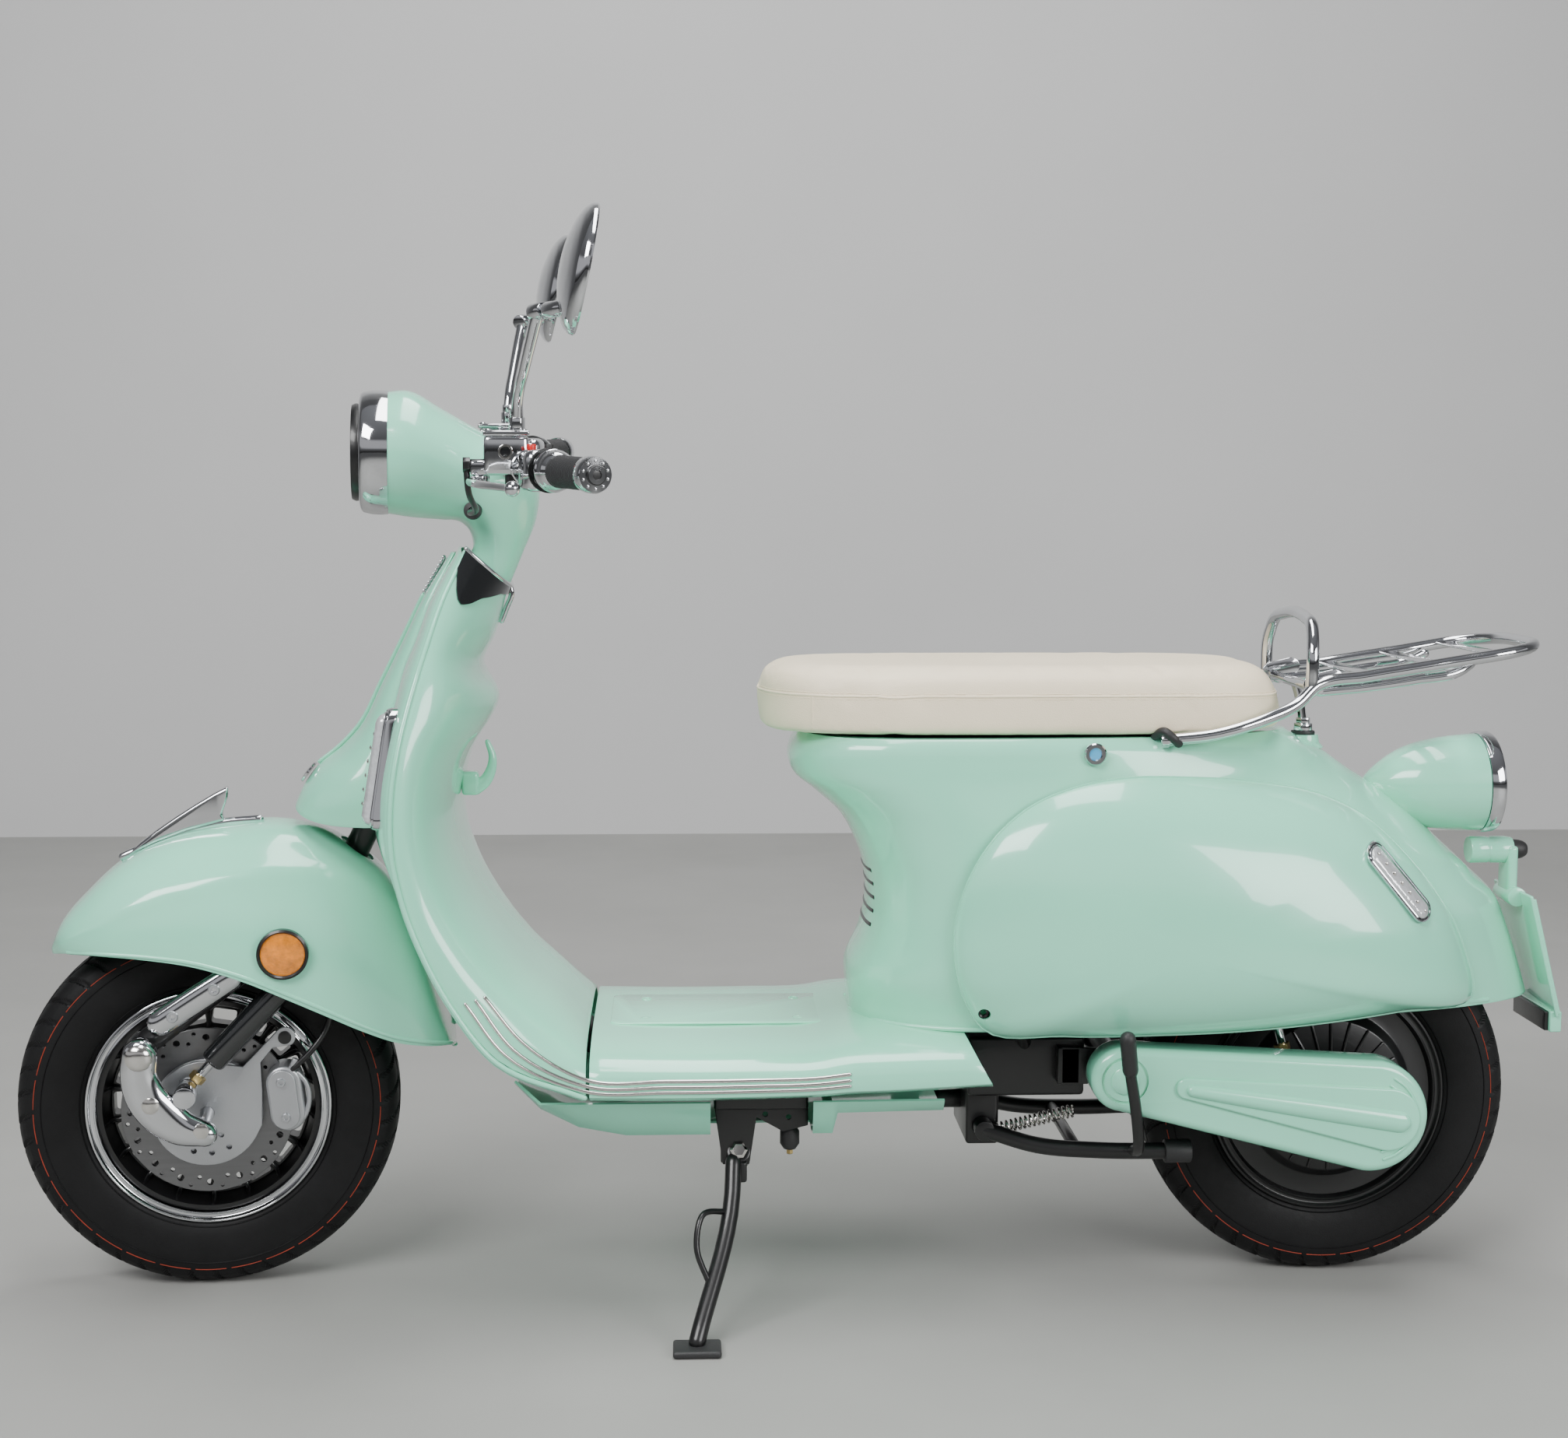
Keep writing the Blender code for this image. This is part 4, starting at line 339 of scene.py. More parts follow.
def pipe(name, points, radius, per_span=8, wrap=False, sides=20, taper=None):
    """A round tube along a smooth route, its ends closed by small domes."""
    route = refine_line(points, per_span, wrap)
    rings, side, count = [], None, len(route)
    for i, at in enumerate(route):
        ahead = route[(i + 1) % count] if wrap or i + 1 < count else at
        behind = route[i - 1] if wrap or i else at
        along = (ahead - behind).normalized()
        side = along.orthogonal().normalized() if side is None else (side
            - along * side.dot(along)).normalized()
        across = along.cross(side)
        r = radius * taper(i / (count - 1)) if taper else radius
        rings.append([at + side * r * cos(2 * pi * k / sides) + across * r * sin(2 * pi * k / sides)
            for k in range(sides)])
    if wrap:
        return grid(name, rings + [rings[0]], True)

    def dome(ring, at, out):
        return [[at + (q - at) * cos(t) + out * (q - at).length * sin(t) for q in ring]
            for t in (0.5, 1.0, 1.35)]

    first, last = (route[0] - route[1]).normalized(), (route[-1] - route[-2]).normalized()
    return loft(name, list(reversed(dome(rings[0], route[0], first))) + rings + dome(rings[-1], route[-1],
        last))


def plate(name, outline, thickness, middle_y, edge=0.0015, rounds=3):
    """An (x, z) outline made solid between two y planes, its edges rounded."""
    low, high = middle_y - thickness / 2, middle_y + thickness / 2
    n = len(outline)
    points = [(x, y, z) for y in (low, high) for x, z in outline]
    faces = [tuple(range(n)), tuple(range(2 * n - 1, n - 1, -1))]
    faces += [(j, n + j, n + (j + 1) % n, (j + 1) % n) for j in range(n)]
    return soften(weld_and_face(mesh_piece(name, points, faces)), edge, rounds, 40)


def cut(obj, *others):
    """Takes the other pieces away from this one and uses them up."""
    for other in others:
        boolean = obj.modifiers.new("cut", "BOOLEAN")
        boolean.operation, boolean.object, boolean.solver = "DIFFERENCE", other, "EXACT"
    freeze(obj)
    for other in others:
        bpy.data.objects.remove(other)
    return obj


def joined(name, *objects):
    """One piece made of several, which it uses up."""
    bm = bmesh.new()
    for obj in objects:
        bm.from_mesh(obj.data)
        bpy.data.objects.remove(obj)
    return from_bmesh(name, bm)


def put(obj, material, place="chassis", sharp=35.0, flat=False):
    """Gives a piece its material and shading, and sets it on a body, or in the place of a CAD node.
    Pieces of the turned steering are built straight ahead."""
    node = place if place in NODE_BODY else None
    body = NODE_BODY.get(place, place)
    obj.data.materials.clear()
    obj.data.materials.append(material)
    if body in STEERED:
        obj.data.transform(STEER)
    obj.data.shade_smooth()
    if not flat:
        obj.data.set_sharp_from_angle(angle=radians(sharp))
    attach(obj, body)
    if node:
        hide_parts(node)


def on_steering(z):
    """The point of the steering axis at a height."""
    return STEER_POINT + STEER_AXIS * ((z - STEER_POINT.z) / STEER_AXIS.z)


def arc(centre, radius, start_deg, end_deg, count):
    """(x, z) points on a round stretch."""
    turns = [radians(start_deg + (end_deg - start_deg) * i / (count - 1)) for i in range(count)]
    return [(centre[0] + radius * cos(t), centre[1] + radius * sin(t)) for t in turns]


def capsule(start, end, radius_start, radius_end, count=24):
    """The (x, z) outline round two circles."""
    turn = degrees(atan2(end[1] - start[1], end[0] - start[0]))
    return arc(start, radius_start, turn + 90, turn + 270, count) + arc(end, radius_end, turn - 90,
        turn + 90, count)


# Body panels

def quarter(count):
    """Angles from 0 to a right angle."""
    return [radians(90 * i / count) for i in range(count + 1)]


def superellipse_half(front, rear, half_width, waist, powers, count):
    """The left half of a plan outline, widest at the waist, with its own two powers ahead and behind."""
    front_m, front_n, rear_m, rear_n = powers
    middle = front + waist * (rear - front)
    ahead = [(middle - (middle - front) * cos(t) ** (2 / front_m), -half_width * sin(t) ** (2 / front_n))
        for t in quarter(count)]
    behind = [(middle + (rear - middle) * sin(t) ** (2 / rear_m),
        -half_width * max(cos(t), 0.0) ** (2 / rear_n)) for t in quarter(count)[1:]]
    return ahead + behind


def closed_ring(half, z):
    return [vec(x, y, z) for x, y in half + [(x, -y) for x, y in reversed(half[1:-1])]]


def plan_ring(front, rear, half_width, z, powers, count):
    """A closed outline that is as blunt ahead as behind."""
    return closed_ring(superellipse_half(front, rear, half_width, 0.5, powers, count), z)


BODY_POWERS, BODY_WAIST = (3.2, 2.5, 2.6, 1.8), 0.3
# Each level of the body: height, front x, rear x, half width
BODY_LEVELS = [(0.334, 0.06, 0.872, 0.15), (0.372, 0.058, 0.86, 0.16), (0.409, 0.074, 0.847, 0.166),
    (0.445, 0.082, 0.832, 0.167), (0.484, 0.08, 0.794, 0.164), (0.52, 0.068, 0.755, 0.159),
    (0.552, 0.05, 0.722, 0.154), (0.581, 0.018, 0.68, 0.149), (0.602, -0.006, 0.646, 0.146),
    (0.622, -0.01, 0.618, 0.144), (0.64, -0.003, 0.585, 0.141), (0.648, 0.004, 0.572, 0.136)]


def body_half_width(x, z):
    """The body's half width at a place, clear of rims and rings."""
    heights, *limits = zip(*BODY_LEVELS)
    front, rear, half = [float(np.interp(z, heights, values)) for values in limits]
    middle = front + BODY_WAIST * (rear - front)
    end, m, n = (front, *BODY_POWERS[:2]) if x < middle else (rear, *BODY_POWERS[2:])
    return half * (1 - min(1.0, (x - middle) / (end - middle)) ** m) ** (1 / n)


LAMP_START, LAMP_AIM = vec(0.693, 0.0, 0.577), vec(1.0, 0.0, 0.035).normalized()


def body_shell():
    rows = [closed_ring(superellipse_half(front, rear, half, BODY_WAIST, BODY_POWERS, 22), z)
        for z, front, rear, half in BODY_LEVELS]
    rows = refine(rows, 4)
    hem_drop, hem_end, hem_fade = 0.0125, 0.3, 0.08
    hem = [vec(x, y, z - hem_drop * min(1.0, max(0.0, (hem_end - x) / hem_fade))) for x, y, z in rows[0]]
    brim = closed_ring(superellipse_half(0.02, 0.545, 0.122, BODY_WAIST, BODY_POWERS, 22), 0.6485)
    body = shell("body_panel", [hem, *rows, brim], wrap=True, side=-1, edge=0.0012)
    hole = [(0.0, -0.06), (0.014, -0.06), (0.014, -0.002), (0.0225, 0.008), (0.0325, 0.028),
        (0.0425, 0.048), (0.0515, 0.073), (0.056, 0.098), (0.0, 0.098)]
    put(cut(body, lathe("lamp_way", hole, LAMP_START, LAMP_AIM, 64)), MINT, "body_shell")


# The cowl's rim in the side view, (x, z)
COWL_RIM = [(0.199, 0.327), (0.176, 0.368), (0.167, 0.418), (0.172, 0.464), (0.19, 0.512), (0.216, 0.548),
    (0.25, 0.576), (0.3, 0.597), (0.362, 0.607), (0.43, 0.606), (0.5, 0.6), (0.589, 0.583), (0.645, 0.556),
    (0.69, 0.516), (0.728, 0.468), (0.758, 0.412), (0.774, 0.346), (0.69, 0.337), (0.6, 0.328),
    (0.5, 0.321), (0.4, 0.318), (0.29, 0.318)]
COWL_MIDDLE, COWL_PEAK, COWL_SCREW = (0.42, 0.415), 0.212, (0.201, 0.346)
# How far out from the cowl's middle each of its rings lies
COWL_SHARES = (1.0, 0.996, 0.988, 0.975, 0.955, 0.93, 0.895, 0.85, 0.79, 0.72, 0.64, 0.55, 0.45, 0.34, 0.22,
    0.1)


def cowl_point(rim, share, side, lift=0.0):
    """A point on the cowl, at a share of the way from its middle to a point of its rim."""
    x = COWL_MIDDLE[0] + share * (rim[0] - COWL_MIDDLE[0])
    z = COWL_MIDDLE[1] + share * (rim[1] - COWL_MIDDLE[1])
    edge = body_half_width(rim[0], rim[1]) + 0.0065
    rise = (1 - min(share, 1.0) ** 2.4) ** 0.6
    return vec(x, side * (edge + lift + (COWL_PEAK - edge) * rise), z)


def cowl(side, hand):
    rim = refine_profile(COWL_RIM, 6, wrap=True)
    n, last = len(rim), (len(COWL_SHARES) - 1) * len(rim)
    points = [cowl_point(q, share, side) for share in COWL_SHARES for q in rim]
    faces = grid_faces(len(COWL_SHARES), n, True)
    faces += [(last + j, last + (j + 1) % n, last + n) for j in range(n)]
    middle = (COWL_MIDDLE[0], side * COWL_PEAK, COWL_MIDDLE[1])
    panel = freeze(thicken(mesh_piece("cowl_panel_" + hand, points + [middle], faces), 0.003, -side))
    x, z = COWL_SCREW
    cut(panel, bore(vec(x, side * (body_half_width(x, z) + 0.016), z), 0.03, 0.0065))
    put(panel, MINT, "cowl_" + hand, sharp=50)
    skirt = [[cowl_point(q, 0.992, side, -0.0005 - depth) for q in rim] for depth in (0.0, 0.0035, 0.0065)]
    put(shell("cowl_gasket_" + hand, skirt, wrap=True, side=-side, thickness=0.0015, edge=0), MINT)


# Each level of the leg shield: rider side and rim and front in (x, z), and half width
SHIELD_STATIONS = [((-0.33, 0.812), (-0.375, 0.852), (-0.386, 0.858), 0.06),
    ((-0.347, 0.757), (-0.398, 0.794), (-0.418, 0.8), 0.12),
    ((-0.362, 0.722), (-0.41, 0.752), (-0.434, 0.757), 0.15),
    ((-0.35, 0.69), (-0.419, 0.72), (-0.448, 0.724), 0.168),
    ((-0.353, 0.668), (-0.427, 0.69), (-0.456, 0.695), 0.18),
    ((-0.378, 0.618), (-0.437, 0.645), (-0.468, 0.648), 0.195),
    ((-0.388, 0.565), (-0.4445, 0.585), (-0.482, 0.59), 0.205),
    ((-0.386, 0.53), (-0.4445, 0.54), (-0.478, 0.545), 0.208),
    ((-0.371, 0.483), (-0.433, 0.48), (-0.436, 0.482), 0.208),
    ((-0.345, 0.436), (-0.411, 0.421), (-0.413, 0.419), 0.208),
    ((-0.307, 0.387), (-0.381, 0.364), (-0.38, 0.357), 0.206),
    ((-0.27, 0.352), (-0.335, 0.305), (-0.333, 0.299), 0.204),
    ((-0.238, 0.316), (-0.24, 0.264), (-0.238, 0.255), 0.2)]


def inner_point(index, turn):
    """A point of the leg shield's rider side: rim at turn 0, middle plane at a right angle."""
    rider, rim, _, half = SHIELD_STATIONS[index]
    power = 0.95 - 0.4 * (index / (len(SHIELD_STATIONS) - 1)) ** 2
    share = sin(turn) ** power
    return vec(rim[0] + 0.002 + (rider[0] - rim[0] - 0.002) * share, -half * max(cos(turn), 0.0) ** power,
        rim[1] + 0.003 + (rider[1] - rim[1] - 0.003) * share)


def apron_point(index, turn):
    """The same for the side that faces ahead."""
    _, rim, front, half = SHIELD_STATIONS[index]
    share = sin(turn) ** 1.15
    return vec(rim[0] - 0.002 + (front[0] - rim[0] + 0.002) * share, -half * max(cos(turn), 0.0) ** 1.15,
        rim[1] - 0.003 + (front[1] - rim[1] + 0.003) * share)


def leg_shield():
    indices = range(len(SHIELD_STATIONS))
    inner = refine([[inner_point(i, t) for t in quarter(24)] for i in indices], 5)
    dome_height, dome_z, dome_reach, dome_half_width = 0.0065, 0.684, 0.024, 0.07
    for q in (q for row in inner for q in row):
        q[0] += dome_height * exp(-((q[2] - dome_z) / dome_reach) ** 2 - (q[1] / dome_half_width) ** 2)
    put(shell("leg_panel", mirrored(inner), side=1), MINT, "inner_shield")
    outer = [[apron_point(i, t) for t in quarter(24)] for i in indices]
    panel = shell("apron_panel", mirrored(refine(outer, 5)), side=-1)
    cut(panel, rod("stem_way", on_steering(0.44), on_steering(0.7), 0.034, edge=0))
    put(panel, MINT, "apron")
    rim = [(s[1][0] + 0.0006, -s[3] - 0.0008, s[1][1] + 0.0004) for s in SHIELD_STATIONS]
    for side, hand in SIDES:
        put(pipe("shield_trim_" + hand, handed(refine_line(rim, 4), side), 0.003, 2), MINT)
    base = block("hook_foot", (-0.3865, -0.012, 0.571), (-0.367, 0.012, 0.598), edge=0.004)
    horn = pipe("hook_horn", [(-0.372, 0, 0.579), (-0.362, 0, 0.585), (-0.3535, 0, 0.599),
        (-0.3515, 0, 0.615), (-0.357, 0, 0.632)], 0.0092, taper=lambda s: 1.0 - 0.68 * s)
    put(joined("bag_hook", base, horn), MINT)
    shield_top()


# How far down the collar reaches, by the angle round the shield's top
COLLAR_TURNS = (0, 6, 12, 18, 26, 36, 60, 90)
COLLAR_DEPTHS = (0.34, 0.6, 0.75, 0.8, 0.7, 0.5, 0.24, 0.15)


def shield_top():
    """The dark collar let into the top of the leg shield, under a bright edge."""
    edge = [inner_point(0, t) + vec(0.0022 * sin(t), -0.0022 * cos(t), 0.0012) for t in quarter(12)]
    edge += [vec(q.x, -q.y, q.z) for q in reversed(edge[:-1])]
    put(pipe("shield_top_edge", edge, 0.0028, 3), CHROME)
    rows = []
    for share in np.linspace(0.0, 1.0, 10):
        row = []
        for t in quarter(36):
            depth = share * float(np.interp(degrees(t), COLLAR_TURNS, COLLAR_DEPTHS))
            at = inner_point(0, t).lerp(inner_point(1, t), depth)
            row.append(at + vec(0.0036 * sin(t), -0.0036 * cos(t), 0.0008))
        rows.append(row)
    put(shell("shield_top_collar", mirrored(rows), side=1, thickness=0.0014, edge=0), DARK_GLOSS)
    top, low = inner_point(0, pi / 2), inner_point(1, pi / 2)
    tab = [top + vec(0.001, 0, 0.0005), top.lerp(low, 0.15) + vec(0.005, 0, 0),
        top.lerp(low, 0.45) + vec(0.0042, 0, 0), top.lerp(low, 0.72) + vec(0.003, 0, 0)]
    put(pipe("shield_top_tab", tab, 0.0034), CHROME)


# The centre panel from top to nose: its ridge in (x, z) and its half width
HORN_STATIONS = [((-0.396, 0.852), 0.022), ((-0.428, 0.801), 0.034), ((-0.45, 0.756), 0.042),
    ((-0.477, 0.702), 0.052), ((-0.503, 0.652), 0.062), ((-0.524, 0.629), 0.068), ((-0.549, 0.609), 0.073),
    ((-0.567, 0.586), 0.076), ((-0.578, 0.563), 0.076)]


def apron_front_at(z, y):
    """The x of the apron's outer face at a height and a distance from the middle."""
    stations = SHIELD_STATIONS[::-1]
    heights = [s[2][1] for s in stations]
    rim, front, half = [float(np.interp(z, heights, values))
        for values in ([s[1][0] for s in stations], [s[2][0] for s in stations], [s[3] for s in stations])]
    return rim + (front - rim) * (1 - min(1.0, y / half) ** 1.74) ** 0.575


def horn_point(station, turn):
    (x, z), half = station
    back = apron_front_at(min(z, 0.857), half) - 0.0012
    return vec(back + (x - back) * sin(turn) ** 0.8, -half * max(cos(turn), 0.0),
        z - 0.02 * cos(turn) * (0.86 - z) / 0.3)


def horn_cover():
    rows = refine([[horn_point(station, t) for t in quarter(20)] for station in HORN_STATIONS], 5)
    put(shell("horn_panel", mirrored(rows), side=-1, thickness=0.0025), MINT, "horn_cover")
    ridge = [horn_point(station, radians(90)) + vec(-0.0012, 0, 0.001) for station in HORN_STATIONS]
    put(pipe("horn_ridge", ridge[1:7], 0.0022), MINT)
    badge = lathe("nose_badge", [(0, 0), (0.0135, 0), (0.0135, 0.002), (0.0115, 0.003), (0.01, 0.0018),
        (0.004, 0.0026), (0, 0.0028)], (-0.5615, 0, 0.5975), (-0.8, 0, 0.6), 48)
    put(badge, CHROME)
    low, high = vec(-0.426, 0, 0.806), vec(-0.4035, 0, 0.844)
    aim = (high - low).normalized()
    out = vec(-aim.z, 0, aim.x)
    beads = [rod("bead", low.lerp(high, k / 8) + out * -0.0005, low.lerp(high, k / 8) + out * 0.003, 0.003,
        20) for k in range(9)]
    strip = pipe("badge_strip", [low + out * 0.0004 + vec(0, 0.0055, 0),
        high + out * 0.0004 + vec(0, 0.0055, 0)], 0.0016)
    put(joined("apron_badge", strip, *beads), CHROME)


# The floor from front to rear: x, height of its top, height of its lip, half width
FLOOR_STATIONS = [(-0.2345, 0.316, 0.264, 0.2), (-0.15, 0.314, 0.263, 0.201), (-0.05, 0.314, 0.264, 0.202),
    (0.02, 0.316, 0.266, 0.202), (0.05, 0.322, 0.268, 0.201), (0.09, 0.324, 0.269, 0.2),
    (0.2, 0.324, 0.274, 0.196)]


def floor_point(station, turn):
    x, top, lip, half = station
    return vec(x, -half * max(cos(turn), 0.0) ** 0.55, lip + (top - lip) * sin(turn) ** 0.55)


def floorboard():
    rows = [[vec(s[0], -s[3] + 0.012, s[2] - 0.006)] + [floor_point(s, t) for t in quarter(26)]
        for s in FLOOR_STATIONS]
    for q in rows[-1]:
        q.x += 0.01 - 0.03 * (q.z - 0.268) / 0.056
    put(shell("floor_panel", mirrored(refine(rows, 6)), side=1), MINT, "floorboard")
    mat = [(max(-0.215, min(0.04, x)), max(-0.074, min(0.074, y)))
        for x, y in capsule((-0.18, 0.0), (0.005, 0.0), 0.08, 0.08, 12)]
    pad = plate("floor_mat", mat, 0.003, 0.0, edge=0.0014)
    pad.data.transform(Matrix.Translation((0, 0, 0.3152)) @ Matrix.Rotation(radians(90), 4, "X"))
    put(pad, MINT)
    dimples = [lathe("dimple", [(0.003, 0.0), (0.0062, 0.0), (0.0058, 0.0012), (0.0036, 0.0012)],
        (x, y, 0.316), (0, 0, 1), 32) for x in (-0.175, 0.0) for y in (-0.05, 0.05)]
    put(joined("floor_dimples", *dimples), MINT)
    for side, hand in SIDES:
        for k, height in enumerate((1.3, 4.2, 9.0)):
            curl = [inner_point(i, radians(height * rise)) for i, rise in ((10, 3.2 - 0.6 * k), (11, 1.6))]
            line = [floor_point(s, radians(height)) for s in FLOOR_STATIONS[:5]]
            put(pipe("floor_stripe_%s_%d" % (hand, k), handed(curl + line, side), 0.0022, sides=14),
                STAINLESS)


def belly_pan():
    profile = [(-0.318, 0.262), (-0.29, 0.234), (-0.248, 0.213), (-0.195, 0.203), (0.034, 0.203),
        (0.04, 0.226), (0.158, 0.228)]
    rows = []
    for x, z in profile:
        rim = max(z + 0.012, 0.248)
        rows.append([vec(x, -0.168, rim), vec(x, -0.155, z + 0.006), vec(x, -0.13, z), vec(x, 0.0, z)])
    pan = shell("belly_panel", mirrored(rows), side=-1, edge=0.0)
    cut(pan, block("bracket_way", (-0.102, -0.2, 0.19), (0.012, -0.09, 0.3), edge=0.001),
        block("skid_way", (0.095, -0.018, 0.19), (0.22, 0.018, 0.3), edge=0.001))
    put(pan, MINT, "belly_pan", sharp=60)


# The mudguard from front to rear: crown and lip in (x, z), and half width
FENDER_STATIONS = [((-0.852, 0.408), (-0.848, 0.401), 0.03), ((-0.84, 0.434), (-0.826, 0.409), 0.064),
    ((-0.812, 0.466), (-0.79, 0.411), 0.088), ((-0.768, 0.504), (-0.742, 0.409), 0.102),
    ((-0.71, 0.53), (-0.684, 0.4), 0.109), ((-0.65, 0.541), (-0.63, 0.382), 0.112),
    ((-0.59, 0.543), (-0.583, 0.36), 0.112), ((-0.545, 0.532), (-0.54, 0.339), 0.111),
    ((-0.505, 0.508), (-0.5, 0.319), 0.108), ((-0.472, 0.475), (-0.464, 0.304), 0.103),
    ((-0.444, 0.42), (-0.43, 0.297), 0.096), ((-0.418, 0.34), (-0.408, 0.292), 0.078),
    ((-0.398, 0.276), (-0.4, 0.284), 0.045)]


def fender_point(station, turn, lift=0.0):
    crown, low, half = station
    share = sin(turn) ** 0.9
    across = max(cos(turn), 0.0) ** 0.75
    return vec(low[0] + (crown[0] - low[0]) * share, -(half + lift) * across,
        low[1] + (crown[1] - low[1]) * share + lift * share)


def front_fender():
    rows = []
    for i, station in enumerate(FENDER_STATIONS):
        ridge = radians(18 + 5.2 * i)
        strength = 0.003 * sin(pi * min(1.0, i / 10))
        rows.append([fender_point(station, t, strength * exp(-((t - ridge) / 0.1) ** 2))
            for t in quarter(30)])
    fender = shell("fender_panel", mirrored(refine(rows, 5)), side=1)
    cut(fender, rod("stem_way", on_steering(0.478), on_steering(0.56), 0.0225, edge=0))
    put(fender, MINT, "front_fender")
    lip = [fender_point(station, 0.02) + vec(0, 0.001, 0.001) for station in FENDER_STATIONS[1:]]
    for side, hand in SIDES:
        put(pipe("fender_lip_" + hand, handed(lip, side), 0.0026), MINT, "steering")
        at = (-0.588, side * 0.11, 0.414)
        ring = lathe("ring", [(0.0245, 0.0), (0.0285, 0.0), (0.0285, 0.0075), (0.0262, 0.0088),
            (0.0245, 0.007)], at, (0, side, 0), 64)
        lens = lathe("lens", [(0, 0.0), (0.0248, 0.0), (0.0248, 0.0055), (0.016, 0.0078), (0.0, 0.0085)],
            at, (0, side, 0), 64)
        put(ring, BLACK, "steering")
        put(lens, AMBER, "steering")


def fender_fin():
    """The chrome crest on the fender, open under its tip."""
    outline = [(-0.768, 0.506), (-0.752, 0.521), (-0.734, 0.535), (-0.712, 0.55), (-0.69, 0.564),
        (-0.668, 0.577), (-0.652, 0.585), (-0.6525, 0.574), (-0.656, 0.563), (-0.66, 0.553),
        (-0.656, 0.5455), (-0.7, 0.534), (-0.735, 0.521)]
    fin = plate("fin", outline, 0.014, 0.0, edge=0.0052, rounds=5)
    base = [(-0.772, 0.505), (-0.735, 0.5205), (-0.7, 0.5335), (-0.66, 0.5425), (-0.618, 0.5455)]
    strip = pipe("fin_base", [(x, 0, z) for x, z in base], 0.0048)
    put(joined("fender_crest", fin, strip), CHROME, "steering")


# The headset from the lamp to its foot: top and bottom in (x, z), and half width
HEADSET_STATIONS = [((-0.4685, 1.032), (-0.4705, 0.896), 0.068), ((-0.442, 1.034), (-0.44, 0.891), 0.07),
    ((-0.404, 1.014), (-0.404, 0.888), 0.068), ((-0.362, 0.99), (-0.386, 0.886), 0.066),
    ((-0.318, 0.969), (-0.378, 0.88), 0.062), ((-0.295, 0.928), (-0.373, 0.871), 0.05),
    ((-0.298, 0.89), (-0.371, 0.862), 0.04), ((-0.314, 0.85), (-0.372, 0.852), 0.031),
    ((-0.329, 0.814), (-0.378, 0.838), 0.027)]


def headset_ring(station, count=64, grow=0.0):
    top, low, half = station
    return [vec(low[0] + (top[0] - low[0]) * (1 - cos(t)) / 2, (half + grow) * sin(t),
        low[1] + (top[1] - low[1]) * (1 - cos(t)) / 2 - grow * cos(t))
        for t in (2 * pi * k / count for k in range(count))]


def headset():
    case = shell("headset_case", refine([headset_ring(s) for s in HEADSET_STATIONS], 5), wrap=True,
        thickness=0.0025, side=-1)
    cut(case, rod("bar_way", (BAR_X, -0.12, BAR_HEIGHT), (BAR_X, 0.12, BAR_HEIGHT), 0.0135, edge=0))
    put(case, MINT, "headset_shell")
    aim, start = vec(-1.0, 0.0, 0.015).normalized(), vec(-0.4702, 0.0, 0.964)
    bezel = [(0.066, -0.006), (0.0695, -0.006), (0.0702, 0.001), (0.0698, 0.012), (0.068, 0.0215),
        (0.0655, 0.0245), (0.06, 0.0262), (0.053, 0.0268), (0.05, 0.024), (0.05, 0.012), (0.064, -0.002)]
    put(lathe("headlight_bezel", bezel, start, aim, 128), CHROME, "steering")
    seal = [(0.048, 0.018), (0.054, 0.0235), (0.055, 0.03), (0.053, 0.0345), (0.049, 0.035), (0.0465, 0.03)]
    put(lathe("headlight_seal", seal, start, aim, 128), BLACK, "steering")
    dome = refine_line([(0.0475, 0, 0.029), (0.037, 0, 0.0325), (0.02, 0, 0.0345), (0.0, 0, 0.035)], 6)
    lens = [(0.0, 0.02), (0.0475, 0.02)] + [(max(q.x, 0.0), q.z) for q in dome]
    put(lathe("headlight_lens", lens, start, aim, 128), CLEAR, "headlight")


# Wheels

TREAD_PITCHES = 44


def strap(name, centreline, half_depth, y):
    """A rounded bar along an (x, z, half width) line, as a polished casting is."""
    line = refine_line(centreline, 8)
    rings = []
    for i, q in enumerate(line):
        ahead, behind = line[min(i + 1, len(line) - 1)], line[max(i - 1, 0)]
        along = vec(ahead.x - behind.x, 0, ahead.y - behind.y).normalized()
        across = vec(-along.z, 0, along.x)
        rings.append((vec(q.x, y, q.y), across, q.z, along))

    def section(at, across, half, share):
        return [at + across * (half * share * cos(a)) + vec(0, half_depth * share ** 0.5 * sin(a), 0)
            for a in (2 * pi * k / 28 for k in range(28))]

    first, last = rings[0], rings[-1]
    start = [section(first[0] - first[3] * first[2] * sin(t), first[1], first[2], max(cos(t), 0.06))
        for t in (1.5, 1.25, 0.95, 0.6, 0.3)]
    end = [section(last[0] + last[3] * last[2] * sin(t), last[1], last[2], max(cos(t), 0.06))
        for t in (0.3, 0.6, 0.95, 1.25, 1.5)]
    return loft(name, start + [section(at, across, half, 1.0) for at, across, half, _ in rings] + end)


def tread_depth(turn, across):
    """How deep the tread is cut at an angle round the tyre and a place across it."""
    reach = abs(across)
    depth = 0.0
    if 0.0125 < reach < 0.0155:
        depth = 0.0022
    if reach > 0.0165:
        phase = (turn * TREAD_PITCHES / (2 * pi) + reach * 26 + (0.5 if across > 0 else 0.0)) % 1.0
        depth = max(depth, 0.0036 if phase < 0.2 else 0.0)
    if reach < 0.0125:
        phase = (turn * TREAD_PITCHES / (2 * pi) + across * 30) % 1.0
        depth = max(depth, 0.002 if phase < 0.16 and reach > 0.003 else 0.0)
    return depth


